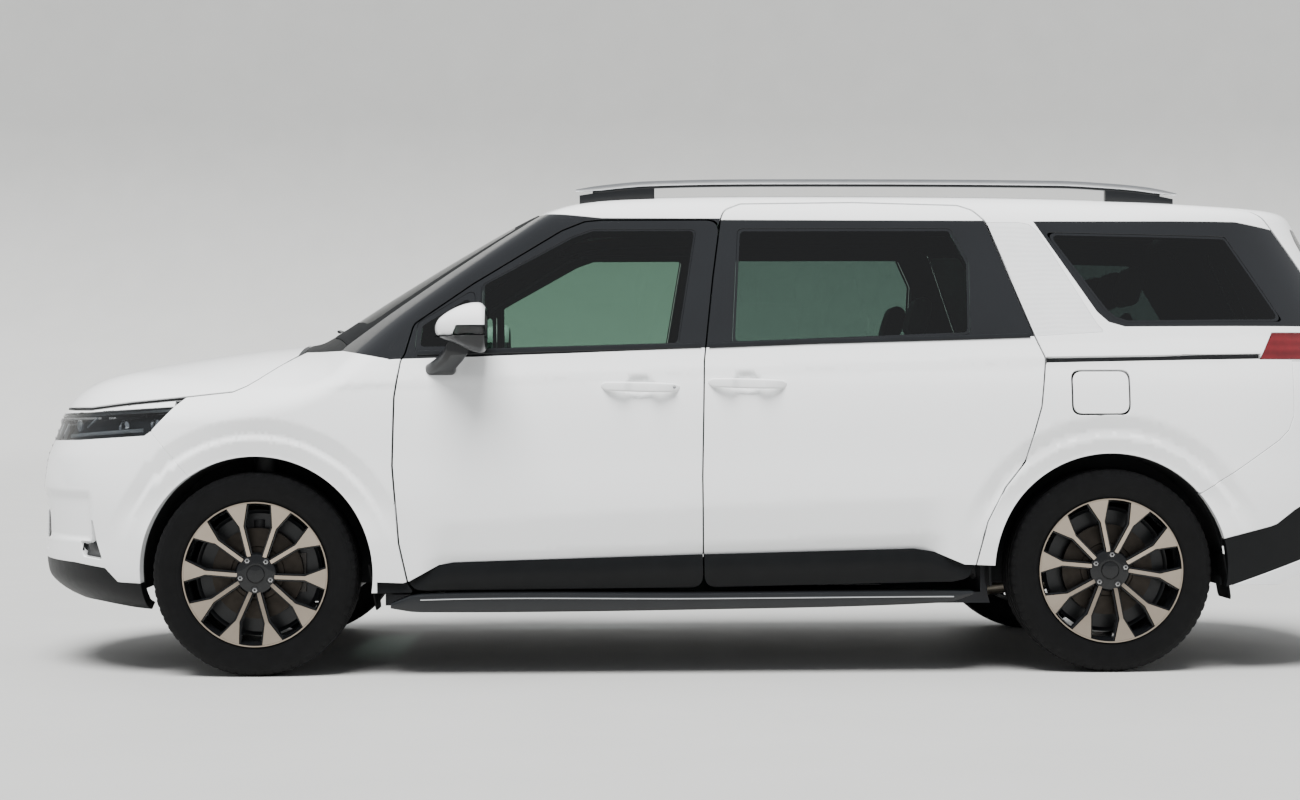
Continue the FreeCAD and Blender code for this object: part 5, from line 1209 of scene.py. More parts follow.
def tyreProfile():
    wall = curveOf([(0.0, 0.0947), (0.012, 0.103), (0.030, 0.1115), (0.052, 0.1168), (0.068, 0.1172),
                    (0.083, 0.1145), (0.096, 0.1085), (0.104, 0.1035), (0.1105, 0.096)])
    steps = np.linspace(0, 0.1105, 41)
    rise = wall(steps)
    radius = 0.2545 + steps
    crown = np.linspace(-0.092, 0.092, 47)
    top = tyre["radius"] - 0.0022 * (np.abs(crown) / 0.092) ** 2.2
    left = np.stack([-rise, radius], 1)[::2]
    tread = np.stack([crown, top], 1)
    right = np.stack([rise[::-1], radius[::-1]], 1)
    return np.concatenate([left, tread, right])


def addTyre(name, axle):
    profile = tyreProfile()
    steps = tyre["pitches"] * tyre["perPitch"]
    turns = np.arange(steps) / steps * 2 * math.pi
    phase = (np.arange(steps) % tyre["perPitch"])
    along, reach = profile[:, 0][:, None], profile[:, 1][:, None]
    isTread = reach > 0.3655
    cut = np.zeros_like(along)
    for place in tyre["grooves"]:
        cut = np.maximum(cut, 1 - ease(0.7, 1.0, np.abs(along - place) / (tyre["grooveWidth"] / 2)))
    drop = tyre["groove"] * cut * isTread
    lateral = (phase == 0)[None, :] * 1.0
    shoulderZone = ease(0.076, 0.080, np.abs(along)) * ease(0.340, 0.350, reach)
    sipe = ((phase == 3) * 0.35)[None, :] * ease(0.030, 0.034, np.abs(along)) * isTread
    drop = drop + tyre["shoulder"] * shoulderZone * lateral + 0.003 * sipe
    ring = np.zeros_like(along)
    for place, height in ((0.2745, 0.0012), (0.2815, -0.0008), (0.300, -0.0006), (0.3335, 0.0008),
                          (0.3385, -0.0009), (0.3440, 0.0007)):
        ring += height * np.exp(-((reach - place) / 0.0014) ** 2)
    away = np.sign(along) * (np.abs(along) > 0.094)
    side = along + away * ring - 0.6 * np.sign(along) * tyre["shoulder"] * lateral * ease(
        0.345, 0.352, reach) * (np.abs(along) > 0.094)
    radius = reach - drop
    points = np.stack([axle + radius * np.sin(turns), halfTrack + side + 0 * turns,
                       axleHeight + radius * np.cos(turns)], 2)
    rows = len(profile)
    faces = [(i * steps + j, i * steps + (j + 1) % steps, (i + 1) * steps + (j + 1) % steps, (i + 1) * steps + j)
             for i in range(rows - 1) for j in range(steps)]
    made = {"points": points.reshape(-1, 3), "faces": faces, "normals": None, "kinds": None}
    addBoth("tyre_" + name, made, [tyreRubber], "wheel_" + name + "_left", ["tyre_" + name + "_left"],
            sharp=35)


# Wheel: five pairs of flared spokes, machined on their faces and enamelled at their sides
wheel = {"spread": 19.9, "offset": 0.0093, "bar": 0.0080, "flare": 0.0385, "knee": 0.178, "root": 0.060,
         "tip": 0.2560, "ledge": 0.006, "ledgeDrop": 0.009, "lugCircle": 0.05715}


def spokeForm(turn, side):
    shares = np.concatenate([np.linspace(0, 0.60, 16), np.linspace(0.62, 1.0, 14)])
    # each row: a multiple of the bar's half width, an extra reach, a drop below the face, a material
    ledge, fall = wheel["ledge"], wheel["ledgeDrop"]
    section = [(-1, -ledge, None, 1), (-1, -ledge, fall + 0.0016, 1), (-1, -ledge + 0.0014, fall, 1),
               (-1, -0.0012, fall - 0.0006, 1), (-1, 0, 0.0035, 2), (-1, 0.0012, 0.0, 0), (-0.45, 0, 0.0, 0),
               (0, 0, 0.0, 0), (0.45, 0, 0.0, 0), (1, -0.0012, 0.0, 2), (1, 0, 0.0035, 1),
               (1, 0.0012, fall - 0.0006, 1), (1, ledge - 0.0014, fall, 1), (1, ledge, fall + 0.0016, 1),
               (1, ledge, None, 1)]
    root, tip, knee, bar = wheel["root"], wheel["tip"], wheel["knee"], wheel["bar"]
    angle = math.radians(turn + side * wheel["spread"])
    points, kinds, faces = [], [], []
    for share in shares:
        reach = root + share * (tip - root)
        flare = ease(knee - 0.010, knee + 0.012, reach) * max(0.0, (reach - knee) / (tip - knee))
        half = bar + (wheel["flare"] - bar) * flare
        face = np.interp(reach, [0.060, 0.075, 0.178, 0.256], [0.0800, 0.0865, 0.1005, 0.1055])
        back = np.interp(reach, [0.060, 0.256], [0.040, 0.074])
        for scale, extra, drop, _ in section:
            across = scale * half + extra
            out = across - side * wheel["offset"]
            along = root + share * (math.sqrt(tip ** 2 - out ** 2) - root)
            depth = back if drop is None else face - drop
            x = out * math.cos(angle) + along * math.sin(angle)
            z = -out * math.sin(angle) + along * math.cos(angle)
            points.append([x, depth, z])
    count = len(section)
    for i in range(len(shares) - 1):
        for j in range(count - 1):
            faces.append((i * count + j, i * count + j + 1, (i + 1) * count + j + 1, (i + 1) * count + j))
            kinds.append(section[j][3])
    return {"points": np.array(points), "faces": faces, "normals": None, "kinds": kinds}


def nutForm(angle, reach, radius, low, high):
    turns = np.arange(24) / 24 * 2 * math.pi
    hexagon = radius / np.cos((turns % (math.pi / 3)) - math.pi / 6) * math.cos(math.pi / 6)
    loops = []
    for level, scale in ((low, 1.0), (high - 0.002, 1.0), (high - 0.0006, 0.9), (high, 0.72), (high, 0.4),
                         (high - 0.004, 0.36), (high - 0.004, 0.02)):
        size = hexagon * scale if scale > 0.8 else np.full(24, radius * scale)
        loops.append(np.stack([reach * math.sin(angle) + size * np.cos(turns), np.full(24, level),
                               reach * math.cos(angle) + size * np.sin(turns)], 1))
    return loft(loops, (False, True))


def moved(made, offset):
    made["points"] = made["points"] + np.array(offset)
    return made


# Turned profiles of the wheel and its brake, as (distance along the axle, radius, finish) rows
wheelProfiles = {
    "barrel": [(-0.095, 0.2400, 1), (-0.1070, 0.2460, 1), (-0.1070, 0.2618, 1), (-0.0990, 0.2618, 1),
               (-0.0945, 0.2520, 1), (0.0945, 0.2520, 1), (0.0990, 0.2618, 1), (0.1050, 0.2618, 0),
               (0.1068, 0.2605, 0), (0.1068, 0.2568, 0), (0.1055, 0.2555, 1), (0.0900, 0.2500, 1),
               (0.0500, 0.2440, 1), (-0.0950, 0.2400, 1)],
    "hub": [(0.040, 0.0778, 1), (0.066, 0.0778, 1), (0.0765, 0.0745, 1), (0.0825, 0.0690, 1),
            (0.0838, 0.0660, 2), (0.0838, 0.0335, 2), (0.0815, 0.0325, 2), (0.0815, 0.0312, 2),
            (0.0880, 0.0305, 2), (0.0895, 0.0290, 2), (0.0903, 0.0150, 2), (0.0905, 0.0005, 2)],
    "disc": [(0.004, 0.160, 0), (0.0045, 0.1645, 0), (0.0315, 0.1645, 0), (0.0320, 0.1600, 0), (0.0320, 0.0980, 0),
             (0.0300, 0.0950, 0), (0.0318, 0.0900, 0), (0.0320, 0.0700, 0)],
    "shield": [(-0.016, 0.060, 0), (-0.014, 0.062, 0), (-0.014, 0.220, 0), (-0.006, 0.229, 0), (-0.004, 0.229, 0),
               (-0.010, 0.219, 0), (-0.017, 0.213, 0), (-0.018, 0.060, 0)],
    "lugRing": [(0.0838, 0.0150, 1), (0.0846, 0.0142, 1), (0.0846, 0.0128, 1), (0.0800, 0.0120, 1)],
}


def addWheel(name, axle, turn):
    middle = [axle, halfTrack, axleHeight]
    forms = [turnedForm(wheelProfiles["barrel"], middle, 144), turnedForm(wheelProfiles["hub"], middle, 96)]
    for pair in range(5):
        for side in (-1, 1):
            forms.append(moved(spokeForm(turn + 72 * pair, side), middle))
    body = "wheel_" + name + "_left"
    addBoth("wheel_" + name, joinForms(forms), [machinedAlloy, wheelEnamel, capEnamel], body, [body],
            sharp=30)
    disc = turnedForm(wheelProfiles["disc"], middle, 96)
    addBoth("disc_" + name, disc, [brakeIron], body, sharp=30)
    carrier = {"front": "knuckle_left", "rear": "body"}[name]
    shield = turnedForm(wheelProfiles["shield"], middle, 72)
    addBoth("brake_shield_" + name, shield, [satinBlack], carrier, sharp=30)
    nuts = []
    for i in range(5):
        angle = math.radians(turn + 72 * i)
        nuts.append(moved(nutForm(angle, wheel["lugCircle"], 0.0105, 0.070, 0.0872), middle))
        spot = [middle[0] + wheel["lugCircle"] * math.sin(angle), middle[1],
                middle[2] + wheel["lugCircle"] * math.cos(angle)]
        nuts.append(turnedForm(wheelProfiles["lugRing"], spot, 24))
    addBoth("lug_nuts_" + name, joinForms(nuts), [smokedNickel, wheelEnamel], body, sharp=30)


# Turned face: bright metal with fine rings left by the lathe; its warm tan colour is a painted reflection of brown
# ground
def machinedFace():
    # Warm tan base colour: a painted reflection of brown ground, not the metal's own tone
    material, tree, shader = newMaterial("machined_aluminium_clear_coated_painted_warm_reflection", "#B8AA99", {
        "Metallic": 1.0, "Roughness": 0.34, "Coat Weight": 0.6, "Coat Roughness": 0.08})
    place = placeIn(tree)
    apart = addNode(tree, "ShaderNodeSeparateXYZ", {}, {"Vector": place})
    upright = addNode(tree, "ShaderNodeMath", {"operation": "SUBTRACT", 1: axleHeight}, {0: apart.outputs["Z"]})
    ahead = addNode(tree, "ShaderNodeMath", {"operation": "SUBTRACT", 1: frontAxle}, {0: apart.outputs["X"]})
    forward = addNode(tree, "ShaderNodeMath", {"operation": "PINGPONG", 1: wheelbase / 2}, {0: ahead.outputs[0]})
    flat = addNode(tree, "ShaderNodeCombineXYZ", {}, {"X": forward.outputs[0], "Y": upright.outputs[0]})
    reach = addNode(tree, "ShaderNodeVectorMath", {"operation": "LENGTH"}, {0: flat.outputs[0]})
    count = addNode(tree, "ShaderNodeMath", {"operation": "MULTIPLY", 1: 2 * math.pi / 0.0011},
                    {0: reach.outputs["Value"]})
    ring = addNode(tree, "ShaderNodeMath", {"operation": "SINE"}, {0: count.outputs[0]})
    emboss(tree, shader, 0.35, 0.00002, ring.outputs[0])
    # The warm tan mottle carries on the painted reflection of brown ground
    mottle(tree, shader, "#BDAF9E", "#AB9D8C", 90)
    return material


# Enamel of the pockets: deep black with a wet gloss
def enamel(name, hexColour):
    settings = {"Roughness": 0.22, "IOR": 1.5, "Specular IOR Level": 0.3, "Coat Weight": 0.3}
    return finished(name, hexColour, settings, (hexColour, "#0D0E10", 60), None, (5.0, 0.008, 2.0))


# Brake iron: brown grey with wiped rings and a little rust
brakeIron = finished("turned_brake_iron", "#3A3530", {"Metallic": 0.85},
                     ("#443E38", "#2C2824", 30), (0.38, 0.6, 20), (1.2, 0.02, 4.0))


# Nickel plate and bright trim: cool mirror with light haze
def brightPlate(name, hexColour, roughness):
    settings = {"Metallic": 1.0, "Roughness": roughness}
    return finished(name, hexColour, settings, (hexColour, "#C4C5C7", 50), None, (3.0, 0.004, 2.0))


# Wheel finishes: turned faces with a painted warm reflection, black pockets, a glossier cap, brown discs and dull
# nuts
machinedAlloy = machinedFace()
wheelEnamel = enamel("black_wheel_enamel", "#0B0C0D")
capEnamel = enamel("gloss_black_cap_enamel", "#08090A")
brightNickel = brightPlate("bright_nickel_plate", "#D5D2CB", 0.2)
smokedNickel = brightPlate("smoked_nickel_plate", "#6A6762", 0.24)
print("wheels and tyres")
addTyre("front", frontAxle)
addTyre("rear", rearAxle)
addWheel("front", frontAxle, 32.5)
addWheel("rear", rearAxle, 64.7)


# A place behind the front axle, from a share of the wheelbase
def behindAxle(place):
    return frontAxle - place * wheelbase


def skinAt(x, z, pressed=True):
    return fromSide(np.array([[x, z]]), pressed)[0]


# A rounded bar swept through sections of (place, wide, tall, radius), with its two cross directions
def sweptBar(sections, steps=4, across=(0, 1, 0), up=(0, 0, 1)):
    loops = []
    for place, wide, tall, radius in sections:
        flat = roundedLoop(wide, tall, radius, steps)
        loops.append(np.array(place) + flat[:, :1] * np.array(across) + flat[:, 1:] * np.array(up))
    return loft(loops)


# Door handles: tapered pull bar over a hollow, with a lock at the rear end of the front one
handle = {"places": {"front_door": (0.449, 0.5725), "sliding_door": (0.574, 0.5790)}, "length": 0.284,
          "stand": 0.036}


def addHandle(door, body):
    x, z = behindAxle(handle["places"][door][0]), handle["places"][door][1] * carHeight
    sections, half = [], handle["length"] / 2
    for t in np.linspace(-1, 1, 33):
        at = skinAt(x + t * half, z + 0.004 * t)
        lift = handle["stand"] * (1 - abs(t) ** 3.5) + 0.0005
        tall = 0.036 * (1 - 0.16 * t * t) * (1 - 0.55 * max(0, abs(t) - 0.9) / 0.1)
        sections.append(((at[0], at[1] + lift - 0.006, z + 0.004 * t), 0.013, tall, 0.0062))
    bar = sweptBar(sections)
    addBoth(door + "_handle", bar, [white], body, sharp=50)
    lock = skinAt(x - half + 0.020, z)
    if door == "front_door":
        turns = turnsOf(20)
        ring = np.stack([np.cos(turns), np.zeros(20), np.sin(turns)], 1)
        stem = loft([np.array([lock[0], lock[1] + out, z - 0.001]) + radius * ring for out, radius in (
            (0.0235, 0.0062), (0.0262, 0.0060), (0.0268, 0.0052), (0.0262, 0.0014))], (False, True))
        addPiece("door_lock_left", stem, [chrome], body, sharp=40)


# Mirror: painted cap over a black lower shell, a lamp strip, a foot on the door and the silvered glass
mirror = {
    "x": 0.805, "y": 0.956, "z": 1.250, "wide": 0.236, "long": 0.180, "tall": 0.176,
    "tops": curveOf([(0, 0.80), (0.06, 0.95), (0.16, 1.0), (0.32, 0.97), (0.50, 0.86), (0.70, 0.66), (0.85, 0.46),
                     (0.95, 0.26), (1.0, 0.06)]),
    "bottoms": curveOf([(0, -0.88), (0.05, -1.0), (0.20, -1.0), (0.40, -0.86), (0.60, -0.66), (0.80, -0.50),
                        (0.95, -0.34), (1.0, -0.18)]),
    "wides": curveOf([(0, 0.93), (0.05, 1.0), (0.30, 1.0), (0.60, 0.90), (0.85, 0.66), (0.95, 0.46), (1.0, 0.20)]),
    "seam": ([0, 0.56, 0.64, 1.0], [0.006, 0.006, -0.031, -0.031]),
}


def mirrorLoops(shrink, low, high):
    loops, half = [], mirror["tall"] / 2
    for t in np.linspace(0, 1, 33):
        top, bottom = mirror["tops"](t) * half - shrink, mirror["bottoms"](t) * half + shrink
        wide = mirror["wides"](t) * mirror["wide"] - 2 * shrink
        flat = roundedLoop(wide, top - bottom, 0.46 * (top - bottom), 7)
        seam = np.interp(t, *mirror["seam"])
        z = mirror["z"] + np.clip((top + bottom) / 2 + flat[:, 1], low if low is not None else seam,
                                  high if high is not None else seam - 0.002)
        out = mirror["y"] + mirror["wide"] / 2 + flat[:, 0] - 0.04 * (mirror["wide"] - wide)
        loops.append(np.stack([np.full(len(flat), mirror["x"] + t * (mirror["long"] - shrink)), out, z], 1))
    return loops


def addMirror():
    cap = loft(mirrorLoops(0.0, None, 9), (False, True))
    addBoth("mirror_cap", cap, [white], "front_door_left", ["mirror_left"], sharp=40)
    strip = loft(mirrorLoops(0.002, -0.028, None), (False, True))
    addBoth("mirror_lamp_strip", strip, [smokedLens], "front_door_left", sharp=40)
    shell = loft(mirrorLoops(0.0008, -9, -0.030), (False, True))
    addBoth("mirror_shell", shell, [satinBlack], "front_door_left", sharp=40)
    half, middle = mirror["tall"] / 2, mirror["y"] + mirror["wide"] / 2
    wide, tall = 0.93 * mirror["wide"], (mirror["tops"](0.0) - mirror["bottoms"](0.0)) * half
    height = mirror["z"] + (mirror["tops"](0.0) + mirror["bottoms"](0.0)) / 2 * half
    frameLoops = []
    for depth, inset in ((0.0, 0.0), (-0.0012, 0.004), (0.0012, 0.008), (0.010, 0.011)):
        flat = roundedLoop(wide - 2 * inset, tall - 2 * inset, 0.46 * tall, 7)
        frameLoops.append(acrossLoop(flat, mirror["x"] + depth, middle, height))
    bezel = loft(frameLoops, (False, False))
    addBoth("mirror_bezel", bezel, [satinBlack], "front_door_left", sharp=50)
    flat = roundedLoop(wide - 0.022, tall - 0.022, 0.44 * tall, 7)
    faces = [acrossLoop(flat * size, mirror["x"] + 0.0055 + back, middle, height)
             for back, size in ((0.003, 1.0), (0.0, 1.0), (-0.001, 0.5))]
    addBoth("mirror_glass", loft(faces), [silveredGlass], "front_door_left", sharp=30)
    root = skinAt(0.972, mirror["z"] - 0.146, False)
    sections = [((x, root[1] + out, z), across, up, 0.018) for x, out, z, across, up in (
        (0.975, -0.006, 1.102, 0.112, 0.046), (0.972, 0.012, 1.105, 0.106, 0.044),
        (0.955, 0.045, 1.122, 0.086, 0.044), (0.925, 0.085, 1.150, 0.080, 0.046),
        (0.905, 0.120, 1.178, 0.080, 0.050))]
    addBoth("mirror_foot", sweptBar(sections, 5, (1, 0, 0)), [satinBlack], "front_door_left",
            sharp=50)


# Roof rails: bright bar on black feet with a black strip below
rail = {"y": 0.700, "wide": 0.034,
        "tops": curveOf([(0.372, 0.9800), (0.400, 0.9870), (0.46, 0.9962), (0.60, 1.0), (0.95, 0.9962),
                         (1.03, 0.9885), (1.07, 0.9805), (1.10, 0.9700)])}


def addRails():
    sections, strips = [], []
    for place in np.linspace(0.3735, 1.0985, 73):
        x, z = behindAxle(place), float(rail["tops"](place)) * carHeight
        taper = min(1, (place - 0.3715) / 0.03, (1.1005 - place) / 0.03) ** 0.5
        sections.append(((x, rail["y"], z - 0.0105 * taper - 0.004 * (1 - taper)),
                         rail["wide"] * (0.55 + 0.45 * taper), 0.019 * taper + 0.001, 0.008 * taper))
        strips.append(((x, rail["y"] - 0.001, z - 0.0245 * taper), rail["wide"] * 0.72, 0.008, 0.002))
    addBoth("roof_rail_bar", sweptBar(sections, 5), [railSilver], "body",
            ["roof_rails"], sharp=40)
    feet = [sweptBar(strips[2:-2], 2)]
    for low, high in ((0.378, 0.468), (1.012, 1.094)):
        foot = []
        for place in np.linspace(low, high, 17):
            x, z = behindAxle(place), float(rail["tops"](place)) * carHeight - 0.026
            roof = fromTop(np.array([[x, rail["y"]]]))[0][2] - 0.004
            foot.append(((x, rail["y"] - 0.002, (z + roof) / 2), 0.026, max(0.006, z - roof), 0.003))
        feet.append(sweptBar(foot, 2))
    addBoth("roof_rail_feet", joinForms(feet), [satinBlack], "body", sharp=40)


# Running boards with tapered ends, a stepped tread and a bright line along the edge
def addBoards():
    low = curveOf([(0.1560, 0.2455), (0.190, 0.2300), (0.5226, 0.2350), (0.8086, 0.2570), (0.8380, 0.2880)])
    high = curveOf([(0.1560, 0.2600), (0.190, 0.2950), (0.5226, 0.2960), (0.8086, 0.2990), (0.8380, 0.2960)])
    sections, line = [], []
    for place in np.linspace(0.158, 0.837, 60):
        a, b = float(low(place)), float(high(place))
        sections.append(((behindAxle(place), 0.934, (a + b) / 2), 0.097, max(0.012, b - a), 0.011))
        if 0.19 < place < 0.815:
            line.append(((behindAxle(place), 0.9835, b - 0.020), 0.003, 0.0055, 0.0014))
    addBoth("running_board", sweptBar(sections, 4), [satinBlack], "body",
            ["running_boards"], sharp=40)
    brightLine = sweptBar(line, 2)
    addBoth("running_board_bright_line", brightLine, [chrome], "body", sharp=40)
    ribs = []
    for row in range(5):
        y = 0.906 + row * 0.014
        ribs.append(sweptBar([((behindAxle(p), y, float(high(p)) + 0.0008), 0.006, 0.003, 0.0012)
                              for p in np.linspace(0.22, 0.79, 40)], 1))
    addBoth("running_board_treads", joinForms(ribs), [tyreRubber], "body", sharp=40)


# Mud flaps ahead of and behind the wheels, hanging from the sills and the bumper
def addFlaps():
    forms = []
    for x, z in ((1.222, 0.300), (-1.872, 0.325)):
        rows = [(x + lean, 0.862, z + drop, thick, 0.185 * half, 0.0025) for drop, lean, half, thick in (
            (0.10, 0.012, 1.0, 0.008), (0.05, 0.004, 1.0, 0.007), (0.0, -0.004, 0.98, 0.006),
            (-0.052, -0.012, 0.94, 0.006), (-0.064, -0.014, 0.84, 0.005))]
        forms.append(stackedForm(rows, 3))
    addBoth("mud_flaps", joinForms(forms), [tyreRubber], "body", sharp=40)


# Headlamps: smoked cover over a dark tray with a lens, reflector blocks and a bright blade
def lampPanels():
    outer = sideShape("headlamp", -0.0012)
    grilleLoop = endShape("grille", 0.002, corner["panel"])
    lines = bothSideLines(onSide(outer, True, True, 0.2)) + [fromFront(closedLoop(grilleLoop))]
    sheet = cutSheet("nose", endBand(0.455, 0.545, 1.25), lines, 0.012)
    cover = keepArea(sheet, seen("side", outer), seen("rear", grilleLoop))
    addPiece("headlamp_covers", formPanel(sheet, cover, -0.001, 0.0012, 0.010), [clearLens, seal], "body",
             ["headlamps"])
    tray = formPanel(sheet, cover, -0.052, 0.001, 0.012, 0, lampTrayForm)
    addPiece("headlamp_trays", tray, [satinBlack], "body")
    bright, glow = [], []
    for side in (1, -1):
        for place, low, high, depth in lampCells:
            at = lampPoint(place, (low + high) / 2 * carHeight, side)
            radius = (high - low) * carHeight / 2
            turns = turnsOf(28)
            circle = at["along"] * np.cos(turns)[:, None] + upward * np.sin(turns)[:, None]
            rings = [at["point"] + at["out"] * (rise - depth) + circle * radius * size for rise, size in (
                (0, 1), (0.004, 0.98), (-0.006, 0.86), (-0.002, 0.80), (0.002, 0.55), (0.003, 0.2))]
            (bright if depth > 0.02 else glow).append(loft(rings, (False, True)))
        for low, high, first, last, thick in lampBlades:
            blade = []
            for t in np.linspace(0, 1, 26):
                at = lampPoint(first + (last - first) * t, (low + (high - low) * t) * carHeight, side)
                flat = roundedLoop(0.006, thick, 0.0025, 2)
                blade.append(at["point"] - at["out"] * 0.007 + flat[:, :1] * at["out"] + flat[:, 1:] * upward)
            glow.append(loft(blade))
    addPiece("headlamp_lenses", joinForms(bright), [chrome], "body", sharp=40)
    addPiece("headlamp_blocks", joinForms(glow), [frostedBlock], "body", sharp=40)


# Round cells: place round the nose, low and high edge, depth. Blades: two heights, two places, thickness
lampCells = [(0.82, 0.4870, 0.5175, 0.034), (0.95, 0.4930, 0.5190, 0.034), (0.60, 0.4880, 0.5120, 0.010)]
lampBlades = [(0.4780, 0.4905, 0.56, 0.92, 0.013), (0.4760, 0.4960, 0.44, 0.45, 0.030),
              (0.4760, 0.4960, 0.50, 0.51, 0.030), (0.4960, 0.5160, 0.66, 0.70, 0.006)]


# A place on the skin of the nose, by its share of the way round and its height
def lampPoint(turn, z, side):
    point = reachSkin(*charts["nose"][0](np.array([[turn * side, z]])))[0]
    out = skinNormals(point[None], True)[0]
    along = np.cross(out, [0, 0, 1])
    return {"point": point, "out": out, "along": along / np.linalg.norm(along)}


def lampTrayForm(points):
    return 0.006 * np.sin(points[:, 2] / 0.010 * math.pi) ** 2


# Grille: a dark lattice of rows and posts in a bright frame, set back behind the nose
def addGrille():
    loop = endShape("grille", -0.002, corner["panel"])
    inner = endShape("grille", -0.016, corner["panel"])
    lines = [fromFront(closedLoop(loop)), fromFront(closedLoop(inner))]
    sheet = cutSheet("nose", endBand(0.36, 0.52, 0.80), lines, 0.016)
    surround = formPanel(sheet, keepArea(sheet, seen("rear", loop), seen("rear", inner)), -0.001, 0.002, 0.028)
    addPiece("grille_frame", surround, [darkChrome], "body", ["grille"])
    back = formPanel(sheet, keepArea(sheet, seen("rear", inner)), -0.034, 0.0002, 0.004)
    addPiece("grille_screen", back, [satinBlack], "body")
    bars = []
    low, high = 0.368 * carHeight, 0.512 * carHeight
    rows = 9
    for row in range(rows):
        z = low + (high - low) * (row + 0.5) / rows
        edge = max(p[0] for p in inner if abs(p[1] - z) < 0.02) - 0.001
        ys = np.linspace(-edge, edge, 100)
        spots = fromFront(np.stack([ys, np.full(100, z)], 1))
        normals = skinNormals(spots, True)
        loops = []
        for y, spot, normal in zip(ys, spots, normals):
            cell = abs(((y / 0.052 + 0.5 * (row % 2)) % 1) - 0.5) * 2
            tall = 0.0045 + 0.0075 * cell
            flat = roundedLoop(0.010, tall, 0.0022, 2)
            loops.append(spot - normal * (0.014 - 0.004 * cell) + flat[:, :1] * normal + flat[:, 1:] * upward)
        bars.append(loft(loops))
    addPiece("grille_bars", joinForms(bars), [darkChrome], "body", sharp=40)


# Mouldings along the belt and between the front panes, bent along the skin
def addMoulding(name, shape, body, material, wide, lift):
    points = fromSide(shape)
    normals = skinNormals(points)
    loops = []
    count = len(points)
    for i in range(count):
        a, b = points[max(i - 1, 0)], points[min(i + 1, count - 1)]
        forward = (b - a) / max(np.linalg.norm(b - a), 1e-9)
        across = np.cross(forward, normals[i])
        flat = roundedLoop(wide, 0.005, 0.0022, 2)
        loops.append(points[i] + normals[i] * lift + flat[:, :1] * across + flat[:, 1:] * normals[i])
    addBoth(name, loft(loops), [material], body, sharp=50)


def addMouldings():
    front = openLine(sidePlaces([(0.1885, 0.6418), (0.2641, 0.6440), (0.4941, 0.6545), (0.5205, 0.6555)]))
    addMoulding("front_door_belt", front, "front_door_left", satinBlack, 0.019, 0.0015)
    middle = openLine(sidePlaces([(0.5300, 0.6545), (0.6500, 0.6620), (0.8420, 0.6705), (0.9080, 0.6740)]))
    addMoulding("sliding_door_belt", middle, "body", satinBlack, 0.019, 0.0015)
    division = openLine(sidePlaces([(0.2592, 0.6500), (0.2597, 0.7780)]))
    addMoulding("front_door_division", division, "front_door_left", glossBlack, 0.016, 0.001)


# Wipers laid across the foot of the windscreen
def addWipers():
    forms = []
    for start, tip in ((0.32, 0.02), (-0.20, -0.58)):
        loops = []
        for t in np.linspace(0, 1, 30):
            y = start + (tip - start) * t
            behind = 0.072 + 0.024 * (y / 0.75) ** 2
            at = fromTop(np.array([[behindAxle(behind), y]]))[0]
            normal = skinNormals(at[None], True)[0]
            flat = roundedLoop(0.012, 0.012, 0.004, 2)
            loops.append(at + normal * 0.006 + flat[:, :1] * np.array([1, 0, 0]) + flat[:, 1:] * normal)
        forms.append(loft(loops))
    addPiece("wipers", joinForms(forms), [satinBlack], "body", sharp=50)


# Blank number plates: name, view, height, body, plate height, recess, and the way it faces
plates = [("rear_plate_blank", fromRear, 0.877, "tailgate", 0.155, 0.013, -1),
          ("front_plate_blank", fromFront, 0.520, "body", 0.110, 0.0, 1)]


def addPlates():
    for name, view, z, body, tall, recess, away in plates:
        loops = []
        for lift, scale in ((0.001, 1.0), (0.0045, 1.0), (0.0055, 0.985), (0.0055, 0.5)):
            flat = roundedLoop(0.335 * scale, tall * scale, 0.008, 3)
            reach = np.max(view(flat + np.array([0, z]))[:, 0] * away) * away
            loops.append(acrossLoop(flat, reach + away * (lift - recess), 0, z))
        addPiece(name, loft(loops, (False, True)), [plateWhite], body, sharp=40)


# Frosted light block: milky acrylic that glows softly in daylight
frostedBlock = finished("frosted_acrylic", "#C9CCCE", {"Roughness": 0.35, "IOR": 1.49, "Transmission Weight": 0.4},
                        ("#D2D5D7", "#B5B9BC", 20), None, (4.0, 0.02, 2.0))

# Plain plate: white enamel with a soft shine
plateWhite = finished("plain_white_plate_enamel", "#D9DADA",
                      {"Roughness": 0.4, "Coat Weight": 0.4, "Coat Roughness": 0.1},
                      ("#DCDDDD", "#D0D1D1", 80), None, (3.0, 0.01, 2.0))


# Bright parts: sharp chrome, smoky grille chrome, hazy rail lacquer and a clean mirror
chrome = brightPlate("chrome_plated_trim", "#D9DADC", 0.09)
darkChrome = brightPlate("dark_satin_chrome", "#5E6266", 0.26)
railSilver = brightPlate("silver_lacquered_rail", "#D6D7D8", 0.38)
silveredGlass = brightPlate("silvered_mirror_glass", "#E4E6E8", 0.03)
# Lamp covers: a clear one over the headlamp and a smoky strip on the mirror
clearLens = tintedGlass("clear_polycarbonate_cover", "#DDE1E4", "#FFFFFF")
smokedLens = tintedGlass("smoked_lamp_strip", "#A3A5A8", "#FFFFFF")
print("trim, mirrors, rails, lamps")
addHandle("front_door", "front_door_left")
addHandle("sliding_door", "body")
addMirror()
addRails()
addBoards()
addFlaps()
lampPanels()
addGrille()
addMouldings()
addWipers()
addPlates()


